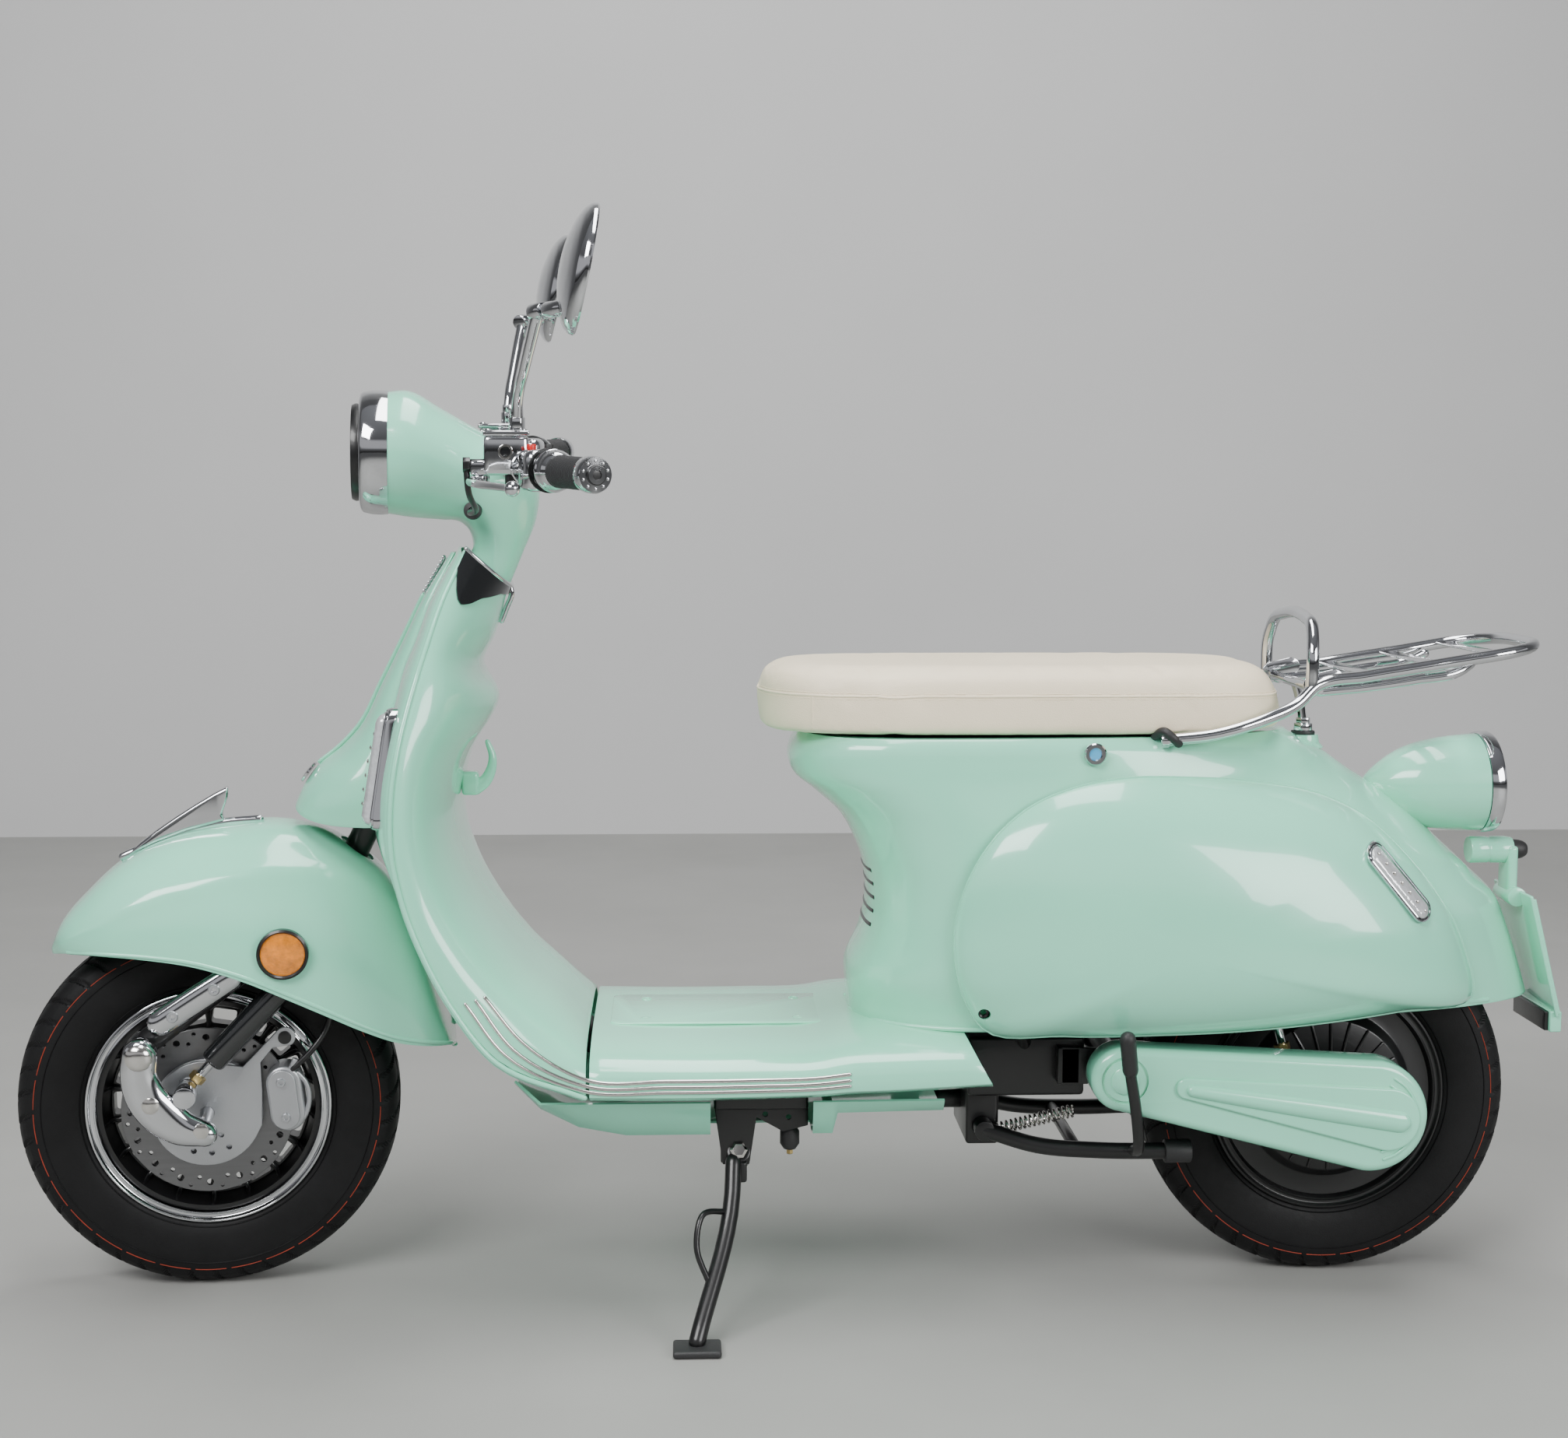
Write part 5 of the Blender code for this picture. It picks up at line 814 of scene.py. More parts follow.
def tyre(name, axle, node):
    half = [(0.1325, 0.03), (0.14, 0.037), (0.15, 0.0415), (0.162, 0.044), (0.175, 0.0448), (0.188, 0.044),
        (0.198, 0.0415)]
    crown = [(0.204, 0.0385), (0.209, 0.0335), (0.2128, 0.027), (0.215, 0.02), (0.2163, 0.012),
        (0.2168, 0.0)]
    side_line = refine_profile(half + crown[:1], 3)
    outer = side_line[:-1] + refine_profile(crown, 7)
    start = len(side_line) - 4
    profile = [(r, -w, j >= start) for j, (r, w) in enumerate(outer)]
    profile += [(r, -w, tread) for r, w, tread in reversed(profile[:-1])]
    profile += [(0.1325, 0.0205, False), (0.165, 0.027, False), (0.19, 0.0, False), (0.165, -0.027, False),
        (0.1325, -0.0205, False)]
    steps = 704
    rings = []
    for a in (2 * pi * k / steps for k in range(steps)):
        cuts = [(r - (tread_depth(a, w) if tread else 0.0), w) for r, w, tread in profile]
        rings.append([(axle.x + r * cos(a), w, axle.z + r * sin(a)) for r, w in cuts])
    put(weld_and_face(grid(name, rings + [rings[0]], True)), TYRE, node, sharp=40)


def sidewall_details(axle, body, prefix):
    radius, side_y, count, drawn = 0.1945, -0.0427, 30, 0.84
    dashes = []
    for start in (2 * pi * k / count for k in range(count)):
        turns = [start + s for s in np.linspace(0, 2 * pi / count * drawn, 6)]
        line = [(axle.x + radius * cos(a), side_y, axle.z + radius * sin(a)) for a in turns]
        dashes.append(pipe("dash", line, 0.00055, 2, sides=8))
    put(joined(prefix + "_sidewall_line", *dashes), STRIPE, body)
    for r, y in ((0.144, 0.0396), (0.186, 0.0444)):
        profile = [(r - 0.001, -0.0006), (r, 0.0009), (r + 0.001, -0.0006)]
        for sign in (-1, 1):
            put(lathe("bead", profile, axle + vec(0, sign * y, 0), (0, sign, 0), 160), TYRE, body)


def rim_lips(axle, body, prefix, material=CHROME):
    for sign, hand in ((-1, "near"), (1, "far")):
        profile = [(0.123, -0.012), (0.1255, 0.0), (0.1275, 0.003), (0.13, 0.0016), (0.133, 0.0018),
            (0.136, 0.0052), (0.1385, 0.004), (0.138, 0.0012), (0.1335, -0.0016), (0.13, -0.003),
            (0.1275, -0.012)]
        smooth = refine_profile(profile, 3, wrap=True)
        put(lathe("%s_rim_lip_%s" % (prefix, hand), smooth, axle + vec(0, sign * 0.0352, 0), (0, sign, 0),
            160), material, body)


RIM_RADIUS, RIM_HALF_WIDTH = 0.1312, 0.033


def front_wheel():
    half = [(0.0085, 0.036), (0.028, 0.036), (0.032, 0.01), (0.088, 0.008), (0.112, 0.012), (0.12, 0.033)]
    profile = half + [(RIM_RADIUS, RIM_HALF_WIDTH), (RIM_RADIUS, -RIM_HALF_WIDTH), (0.12, -0.033),
        (0.112, -0.01), (0.088, -0.01), (0.036, -0.012), (0.032, -0.041), (0.0085, -0.041)]
    wheel = lathe("front_rim", profile, FRONT_AXLE, Y_AXIS, 144)
    windows, ribs, spokes = [], [], 18
    for k in range(spokes):
        turn = Matrix.Rotation(radians(20 * k), 4, "Y")
        place, half_size = FRONT_AXLE + turn @ vec(0.1005, 0.0, 0.0), vec(0.009, 0.03, 0.0135)
        windows.append(block("window", place - half_size, place + half_size, turn, 0.003))
    cut(wheel, joined("windows", *windows))
    for k in range(spokes):
        turn = Matrix.Rotation(radians(20 * k + 10), 4, "Y")
        line = ((0.062, -0.013), (0.09, -0.0125), (0.113, -0.015), (0.121, -0.029))
        ribs.append(pipe("rib", [FRONT_AXLE + turn @ vec(r, y, 0) for r, y in line], 0.0028, 5, sides=12))
    put(wheel, BLACK, "front_wheel")
    put(joined("front_rim_ribs", *ribs), BLACK, "front_wheel_group")
    rim_lips(FRONT_AXLE, "front_wheel_group", "front")
    tyre("front_tyre_skin", FRONT_AXLE, "front_tyre")
    sidewall_details(FRONT_AXLE, "front_wheel_group", "front")
    brake_disc()


def brake_disc():
    face = [(0.03, -0.0415), (0.04, -0.0415), (0.04, -0.0452), (0.0965, -0.0452), (0.097, -0.0457),
        (0.097, -0.0485), (0.0965, -0.049), (0.03, -0.049)]
    disc = lathe("brake_disc", face, FRONT_AXLE, Y_AXIS, 144)
    holes = []
    for shift, radius, size in ((0.0, 0.086, 0.004), (0.38, 0.091, 0.0024), (0.62, 0.081, 0.0024)):
        holes += [pin("hole", FRONT_AXLE + around(2 * pi * (k + shift) / 16, radius), -0.06, -0.03, size,
            16, 0) for k in range(16)]
    cut(disc, joined("holes", *holes))
    put(disc, DISC, "front_brake_disc")
    hub = [(0, -0.05), (0.02, -0.05), (0.056, -0.0494), (0.062, -0.0492), (0.062, -0.053), (0.06, -0.0545),
        (0.035, -0.055), (0.033, -0.0565), (0, -0.0565)]
    put(lathe("disc_carrier", hub, FRONT_AXLE, Y_AXIS), ALLOY, "front_wheel_group")
    bolts = [pin("bolt", FRONT_AXLE + around(2 * pi * (k + 0.25) / 6, 0.0475), -0.054, -0.0578, 0.0046, 6)
        for k in range(6)]
    put(joined("disc_bolts", *bolts), BLACK, "front_wheel_group")


def rear_wheel():
    outer = [(0.013, 0.05), (0.06, 0.0492), (0.09, 0.046), (0.1, 0.034), (0.122, 0.031),
        (RIM_RADIUS, RIM_HALF_WIDTH)]
    inner = [(0.013, -0.042), (0.084, -0.038), (0.088, -0.026)]
    profile = [*outer, *[(r, -y) for r, y in reversed(outer)], *inner,
        *[(r, -y) for r, y in reversed(inner)]]
    wheel = lathe("hub_motor_shell", profile, REAR_AXLE, Y_AXIS, 144, 0.0015)
    fins, bolts = [], []
    for sign in (-1, 1):
        for k in range(24):
            turn = Matrix.Rotation(2 * pi * k / 24, 4, "Y")
            line = ((0.044, 0.05), (0.064, 0.0496), (0.088, 0.0468))
            fins.append(pipe("fin", [REAR_AXLE + turn @ vec(r, sign * y, 0) for r, y in line], 0.0018, 3,
                sides=8))
        bolts += [pin("bolt", REAR_AXLE + around(2 * pi * (k + 0.5) / 8, 0.0335), sign * 0.0495,
            sign * 0.0535, 0.0042, 6) for k in range(8)]
    put(wheel, BLACK, "rear_wheel")
    put(joined("hub_motor_fins", *fins), BLACK, "rear_wheel_group")
    put(joined("hub_motor_bolts", *bolts), CHROME, "rear_wheel_group")
    rim_lips(REAR_AXLE, "rear_wheel_group", "rear", BLACK)
    tyre("rear_tyre_skin", REAR_AXLE, "rear_tyre")
    sidewall_details(REAR_AXLE, "rear_wheel_group", "rear")


# Front suspension

LINK_EYE, WHEEL_EYE, BRACKET_EYE = (-0.746, 0.303), (-0.681, 0.2165), (-0.592, 0.303)
LINK_PIVOT, SHOCK_TOP, SHOCK_FOOT = at_y(LINK_EYE), vec(-0.574, -0.081, 0.386), vec(-0.699, -0.081, 0.254)


def screw_head(name, at, radius, out=NEAR, height=0.004, hollow=0.45):
    """A round head with a hexagon socket look: a domed rim round a sunk middle."""
    profile = [(0, 0), (radius, 0), (radius, height * 0.6), (radius * 0.85, height),
        (radius * hollow, height), (radius * hollow * 0.9, height * 0.35), (0, height * 0.3)]
    return lathe(name, profile, at, out, 32)


def fork_tubes():
    leg = [on_steering(0.468), (-0.545, -0.04, 0.464), (-0.566, -0.078, 0.446), (-0.62, -0.085, 0.402),
        (-0.739, -0.085, 0.312)]
    parts = [rod("stem", on_steering(0.462), on_steering(0.88), 0.015), pipe("leg", leg, 0.0142),
        rod("crown", on_steering(0.462), on_steering(0.5), 0.021, edge=0.002),
        pin("pivot", LINK_PIVOT, -0.07, -0.1262, 0.008),
        pin("boss", LINK_PIVOT, -0.0695, -0.1, 0.0165, edge=0.002),
        pin("shock_pin", SHOCK_TOP, -0.014, 0.022, 0.005),
        rod("lug", SHOCK_TOP + vec(0, 0.02, -0.004), (-0.577, -0.068, 0.436), 0.0065)]
    put(joined("fork_tubes", *parts), BLACK, "fork")
    cover = [(-0.648, 0.385, 0.015), (-0.69, 0.358, 0.0155), (-0.724, 0.336, 0.015)]
    put(strap("fork_leg_cover", cover, 0.0105, -0.099), CHROME, "steering")
    heads = [screw_head("head", vec(x, -0.1078, z), 0.0066) for x, z in ((-0.664, 0.3745), (-0.71, 0.345))]
    put(joined("fork_leg_screws", *heads), ALLOY, "steering")


def link_arm():
    line = [(-0.746, 0.303, 0.0195), (-0.7485, 0.282, 0.02), (-0.742, 0.257, 0.0225),
        (-0.726, 0.235, 0.0235), (-0.704, 0.218, 0.0205), (-0.679, 0.21, 0.015)]
    arm = cut(strap("arm", line, 0.0125, -0.112), pin("way", LINK_PIVOT, -0.14, -0.09, 0.0085, edge=0))
    parts = [pin("axle", FRONT_AXLE, -0.105, 0.042, 0.008),
        pin("foot_pin", SHOCK_FOOT, -0.026, 0.01, 0.004),
        pin("foot_boss", SHOCK_FOOT, -0.04, -0.012, 0.0125, edge=0.0015)]
    put(joined("link_arm", arm, *parts), CHROME, "trailing_link")
    face = -0.1215
    dome = [(0, 0), (0.015, 0), (0.015, 0.003), (0.0125, 0.006), (0.007, 0.0082), (0, 0.0088)]
    button = [(0, 0), (0.0095, 0), (0.0095, 0.003), (0.006, 0.005), (0, 0.0055)]
    put(joined("link_caps", lathe("dome", dome, at_y(LINK_EYE, face), NEAR, 48),
        lathe("button", button, (-0.735, face, 0.248), NEAR, 40),
        rod("nut", (-0.681, face, 0.2166), (-0.681, -0.1262, 0.2166), 0.0095, 6, edge=0.001)), STAINLESS,
        "front_link")


def brake():
    outline = (arc(WHEEL_EYE, 0.062, 95, 330, 40) + [(-0.62, 0.2), (-0.6185, 0.24), (-0.62, 0.274),
        (-0.606, 0.291)] + arc(BRACKET_EYE, 0.012, -50, 150, 14) + [(-0.64, 0.27)])
    spots = [pin("spot", at_y(WHEEL_EYE) + around(radians(d), r), -0.08, -0.04, 0.0034, 16, 0)
        for r, turns in ((0.047, range(100, 325, 25)), (0.03, (200, 250, 300))) for d in turns]
    way = pin("way", at_y(WHEEL_EYE), -0.08, -0.04, 0.0083, edge=0)
    put(cut(plate("bracket_plate", outline, 0.004, -0.059, edge=0.0012), way, joined("spots", *spots)),
        ALLOY, "caliper_bracket")
    put(pin("bracket_pin", at_y(BRACKET_EYE), -0.057, -0.064, 0.0075), BLACK, "front_link")
    body = plate("caliper", capsule((-0.594, 0.251), (-0.59, 0.214), 0.02, 0.02), 0.036, -0.052, edge=0.004,
        rounds=4)
    cut(body, lathe("way", washer(0.03, 0.0925, -0.051, -0.043), FRONT_AXLE, Y_AXIS))
    put(body, ALLOY, "brake_caliper")
    lobes = plate("lobes", capsule((-0.596, 0.252), (-0.592, 0.213), 0.0155, 0.0155), 0.004, -0.0712,
        edge=0.0012)
    bolts = [screw_head("bolt", vec(x, -0.0728, z), 0.0052) for x, z in ((-0.597, 0.2535), (-0.592, 0.212))]
    line = [at_y(xz, -0.066) for xz in ((-0.578, 0.262), (-0.57, 0.252), (-0.57, 0.214), (-0.577, 0.203))]
    bleed = rod("bleed", (-0.585, -0.066, 0.268), (-0.58, -0.066, 0.279), 0.0038)
    put(joined("caliper_details", lobes, *bolts, pipe("line", line, 0.003), bleed), ALLOY, "front_link")
    hose = [(-0.583, -0.068, 0.268), (-0.562, -0.066, 0.288), (-0.544, -0.059, 0.314),
        (-0.539, -0.056, 0.344), (-0.538, -0.05, 0.366)]
    put(pipe("brake_hose", hose, 0.0036), BLACK, "front_link")


def front_suspension():
    fork_tubes()
    link_arm()
    brake()
    damper("front_damper", SHOCK_TOP, SHOCK_FOOT, 0.005, 0.0148, 0.0055)


def damper(prefix, top, foot, pin_radius, sleeve, rod_radius):
    """A covered spring unit: a sleeve with an eye at its top, and the rod that slides in it."""
    along, length = (foot - top).normalized(), (foot - top).length
    mouth = top + along * length * 0.78
    node = prefix.replace("damper", "shock")
    slack, bore_radius, bore_depth = 0.0006, 0.01, 0.034
    eye = lathe("eye", washer(pin_radius + slack, pin_radius + 0.0065, -0.0075, 0.0075), top, Y_AXIS, 40,
        0.0008)
    start = pin_radius + 0.003
    end = (mouth - top).length - start
    profile = [(rod_radius + slack, 0.012), (sleeve * 0.8, 0.0), (sleeve * 0.96, 0.004), (sleeve, 0.01),
        (sleeve, end - 0.004), (sleeve * 0.94, end - 0.001), (sleeve * 0.86, end), (bore_radius, end),
        (bore_radius, end - bore_depth), (rod_radius + slack, end - bore_depth)]
    tube = lathe("tube", profile, top + along * start, along, 64)
    put(joined(prefix + "_sleeve", eye, tube), DARK_GLOSS, node + "_body")
    foot_eye = lathe("foot_eye", washer(0.0066, 0.011, -0.0065, 0.0065), foot, Y_AXIS, 40, 0.0008)
    shaft = rod("shaft", top + along * length * 0.52, foot - along * 0.0085, rod_radius)
    put(joined(prefix + "_shaft", foot_eye, shaft), CHROME, node + "_rod")
    nut = [(rod_radius, 0.0), (0.0092, 0.0), (0.0092, 0.008), (0.008, 0.009), (rod_radius, 0.009)]
    put(lathe(prefix + "_fitting", nut, foot - along * 0.02, along, 6), BRASS, prefix + "_rod")


# Rear suspension and stands

SWING_EYE, HUB_EYE, COVER_END = (0.361, 0.267), (0.626, 0.216), (0.643, 0.222)
REAR_SHOCK_TOP, REAR_SHOCK_FOOT = vec(0.505, -0.095, 0.47), vec(0.56, -0.095, 0.272)


def rear_suspension():
    arms = []
    for y in (-0.075, 0.075):
        arm = plate("arm", capsule(SWING_EYE, HUB_EYE, 0.018, 0.02), 0.012, y, edge=0.003)
        ways = [bore(at_y(eye, arm.bound_box[0][1]), 0.1, radius)
            for eye, radius in ((SWING_EYE, 0.0085), (HUB_EYE, 0.008))]
        arms.append(cut(arm, *ways))
    cross = lathe("cross", washer(0.0087, 0.016, -0.068, 0.068), at_y(SWING_EYE), Y_AXIS, 48)
    lug = block("lug", (0.549, -0.081, 0.225), (0.571, -0.07, 0.278), edge=0.003)
    put(joined("swing_arms", *arms, cross, pin("pin", REAR_SHOCK_FOOT, 0.016, -0.01, 0.004), lug), BLACK,
        "swingarm")
    half = [(0.0, 0.092), (0.0075, 0.092), (0.0075, 0.067), (0.012, 0.0665), (0.012, 0.03), (0.08, 0.028)]
    stator = half + [(r, -y) for r, y in reversed(half)]
    put(lathe("hub_motor_axle", stator, REAR_AXLE, Y_AXIS), ALLOY, "motor_stator")
    nuts = [pin("nut", REAR_AXLE, s * 0.0815, s * 0.0895, 0.0135, 6) for s in (-1, 1)]
    put(joined("axle_nuts", *nuts), CHROME, "rear_arm")
    cover = plate("cover", capsule(SWING_EYE, COVER_END, 0.037, 0.064, 40), 0.05, -0.1375, 0.01, 6)
    hollow = plate("hollow", capsule(SWING_EYE, COVER_END, 0.033, 0.06, 30), 0.044, -0.1335, 0.001)
    cut(cover, hollow, lathe("groove", washer(0.0235, 0.0265, -0.17, -0.16), at_y(SWING_EYE), Y_AXIS, 64))
    ribs = [plate("rib", capsule((0.43, 0.258), (0.66, 0.22), 0.012, 0.036, 30), 0.006, -0.164, 0.0028, 5),
        strap("rib", [(0.437, 0.256, 0.0075), (0.52, 0.242, 0.01), (0.6, 0.229, 0.0118),
        (0.672, 0.2175, 0.0125)], 0.007, -0.1655)]
    bosses = [rod("boss", (x, -0.0825, z), (x, -0.16, z), 0.007) for x, z in ((0.47, 0.25), (0.6, 0.228))]
    middle, turns = at_y(COVER_END, -0.1628), [radians(d) for d in np.linspace(-75, 62, 9)]
    arcs = [pipe("arc", [middle + around(a, r) for a in turns], 0.0016) for r in (0.041, 0.05)]
    put(joined("drive_cover", cover, *ribs, *bosses, *arcs), MINT, "swingarm_cover")
    cap = [(0, 0), (0.0155, 0), (0.0155, 0.002), (0.012, 0.0042), (0.005, 0.005), (0, 0.005)]
    put(lathe("cover_cap", cap, at_y(SWING_EYE, -0.162), NEAR, 48), MINT, "rear_arm")
    damper("rear_damper", REAR_SHOCK_TOP, REAR_SHOCK_FOOT, 0.005, 0.0158, 0.006)


CENTRE_HINGE = vec(0.215, 0.0, 0.188)
PROP, PROP_AXIS = vec(-0.07, -0.126, 0.178), vec(0.0, -cos(radians(30)), 0.5)


def coil(name, start, end, radius, wire, turns):
    start, end = Vector(start), Vector(end)
    along = (end - start).normalized()
    side = along.orthogonal().normalized()
    across, count = along.cross(side), turns * 10
    route = []
    for k in range(count + 1):
        a = 2 * pi * k / 10
        route.append(start.lerp(end, k / count) + side * radius * cos(a) + across * radius * sin(a))
    return pipe(name, route, wire, 2, sides=8)


def centre_stand():
    def from_hinge(*points):
        return [CENTRE_HINGE + Vector(q) for q in points]

    legs = [pipe("leg", from_hinge((0.0, side * 0.075, 0.0), (0.06, side * 0.086, -0.016),
        (0.13, side * 0.092, -0.021), (0.222, side * 0.098, -0.021)), 0.0095) for side in (-1, 1)]
    cross = pin("cross", CENTRE_HINGE, -0.084, 0.084, 0.0115)
    brace = rod("brace", *from_hinge((0.105, -0.092, -0.0195), (0.105, 0.092, -0.0195)), 0.007)
    lever = pipe("lever", from_hinge((0.17, -0.096, -0.021), (0.165, -0.15, 0.0), (0.155, -0.18, 0.05),
        (0.142, -0.2, 0.112), (0.138, -0.214, 0.136)), 0.0065)
    put(joined("parking_stand", *legs, cross, brace, lever), BLACK, "centre_stand")
    feet = [rod("foot", *from_hinge((0.205, s * 0.098, -0.021), (0.236, s * 0.098, -0.021)), 0.0135,
        edge=0.002) for s in (-1, 1)]
    tip = pipe("tip", from_hinge((0.1445, -0.197, 0.1), (0.137, -0.217, 0.14)), 0.0088)
    put(joined("parking_stand_rubbers", tip, *feet), PLASTIC, "centre_prop")
    put(coil("stand_spring", (0.232, -0.066, 0.186), (0.318, -0.078, 0.21), 0.0065, 0.0014, 16), STAINLESS)


def side_stand():
    eye = lathe("eye", washer(0.0056, 0.013, 0.0, 0.0118), PROP + PROP_AXIS * 0.0002, PROP_AXIS, 48, 0.0012)
    foot = vec(-0.118, -0.262, 0.0)
    leg = pipe("leg", [PROP + PROP_AXIS * 0.0155 + vec(-0.006, -0.002, -0.012), (-0.078, -0.16, 0.14),
        foot + vec(0, 0.004, 0.0108)], 0.0093)
    bridge = block("bridge", (-0.083, -0.146, 0.15), (-0.061, -0.13, 0.174), edge=0.003)
    spur = pipe("spur", [(-0.083, -0.168, 0.125), (-0.112, -0.198, 0.13), (-0.118, -0.212, 0.1),
        (-0.104, -0.219, 0.06)], 0.0034)
    put(joined("prop_leg", eye, leg, spur, bridge), BLACK, "side_stand")
    put(block("prop_foot", foot + vec(-0.026, -0.02, 0.0002), foot + vec(0.026, 0.02, 0.008), edge=0.003),
        PLASTIC, "side_prop")
    bolt = [(0.0, 0.0), (0.0098, 0.0), (0.0098, 0.003), (0.007, 0.0052), (0, 0.0056)]
    put(lathe("prop_bolt", bolt, PROP + PROP_AXIS * 0.0138, PROP_AXIS, 6), STAINLESS)


def frame_tubes():
    spine = pipe("spine", [on_steering(0.69), (-0.4135, 0, 0.61), (-0.415, 0, 0.52), (-0.385, 0, 0.435),
        (-0.325, 0, 0.343), (-0.24, 0, 0.286), (-0.14, 0, 0.272), (0.08, 0, 0.268), (0.23, 0, 0.264)],
        0.021)
    cut(spine, rod("bore", on_steering(0.59), on_steering(0.8), 0.0165, edge=0))
    head = lathe("head", washer(0.0165, 0.027, 0, 0.172), on_steering(0.62), STEER_AXIS, 64, 0.002)
    lugs = block("lugs", (0.196, -0.06, 0.166), (0.234, 0.06, 0.236), edge=0.004)
    cut(lugs, bore(CENTRE_HINGE, 0.09, 0.012))
    loop = [(0.262, -0.07, 0.285), (0.245, -0.113, 0.345), (0.24, -0.124, 0.45), (0.25, -0.13, 0.56),
        (0.3, -0.13, 0.602), (0.39, -0.112, 0.605), (0.452, -0.074, 0.605), (0.478, 0, 0.605)]
    ear = [(0.3, 0.245)] + arc(SWING_EYE, 0.02, -90, 90, 24) + [(0.3, 0.29)]
    drop = block("drop", (-0.09, -0.13, 0.168), (-0.058, -0.104, 0.236))
    cut(drop, rod("room", PROP - PROP_AXIS * 0.0004, PROP + PROP_AXIS * 0.03, 0.0145, edge=0))
    pieces = [block("pivot_block", (0.195, -0.08, 0.228), (0.33, 0.08, 0.298), edge=0.005),
        pipe("loop", loop + [(x, -y, z) for x, y, z in reversed(loop[:-1])], 0.009),
        *[plate("ear", ear, 0.006, side * 0.094) for side in (-1, 1)],
        *[block("root", (0.296, low, 0.246), (0.322, high, 0.289))
        for low, high in ((-0.097, -0.075), (0.075, 0.097))],
        pin("pivot", at_y(SWING_EYE), -0.0965, 0.0965, 0.008),
        pipe("arm", [(0.455, -0.072, 0.603), (0.485, -0.076, 0.545), (0.505, -0.077, 0.47)], 0.009),
        rod("shock_pin", (0.505, -0.08, 0.47), (0.505, -0.104, 0.47), 0.005),
        rod("skid", (0.12, 0, 0.25), (0.168, 0, 0.205), 0.012),
        rod("skid_foot", (0.166, 0, 0.206), (0.2, 0, 0.206), 0.012),
        block("outrigger", (-0.098, -0.14, 0.232), (0.008, 0.01, 0.262), edge=0.003), drop,
        rod("hinge_lug", PROP - PROP_AXIS * 0.02, PROP - PROP_AXIS * 0.0005, 0.014),
        rod("hinge_pin", PROP - PROP_AXIS * 0.01, PROP + PROP_AXIS * 0.014, 0.005)]
    put(joined("frame_tubes", spine, head, lugs, *pieces), BLACK, "main_frame")
    put(lathe("head_bearing", washer(0.0157, 0.0225, -0.0055, 0.0055), on_steering(0.612), STEER_AXIS, 64,
        0.0008), STAINLESS, "steering_bearing")
    outline = [(-0.097, 0.232), (0.008, 0.232), (0.008, 0.212), (-0.02, 0.205), (-0.05, 0.222),
        (-0.058, 0.168), (-0.088, 0.168)]
    side_plate = plate("prop_side_plate", outline, 0.0035, -0.1325, edge=0.001)
    holes = [rod("hole", (x, -0.15, z), (x, -0.12, z), 0.0032, edge=0)
        for x, z in ((-0.014, 0.222), (-0.04, 0.2255))]
    put(cut(side_plate, *holes), BLACK)
    rubber = [(0, 0), (0.0085, 0), (0.011, 0.004), (0.011, 0.018), (0.007, 0.024), (0, 0.025)]
    put(lathe("prop_bumper", rubber, (-0.012, -0.12, 0.206), DOWN, 40), PLASTIC)
    bolt = [(0, 0), (0.004, 0), (0.004, 0.004), (0.0025, 0.0052), (0, 0.0055)]
    put(lathe("bumper_bolt", bolt, (-0.012, -0.12, 0.1805), DOWN, 6), BRASS)


# Rack, lamps and rear pieces

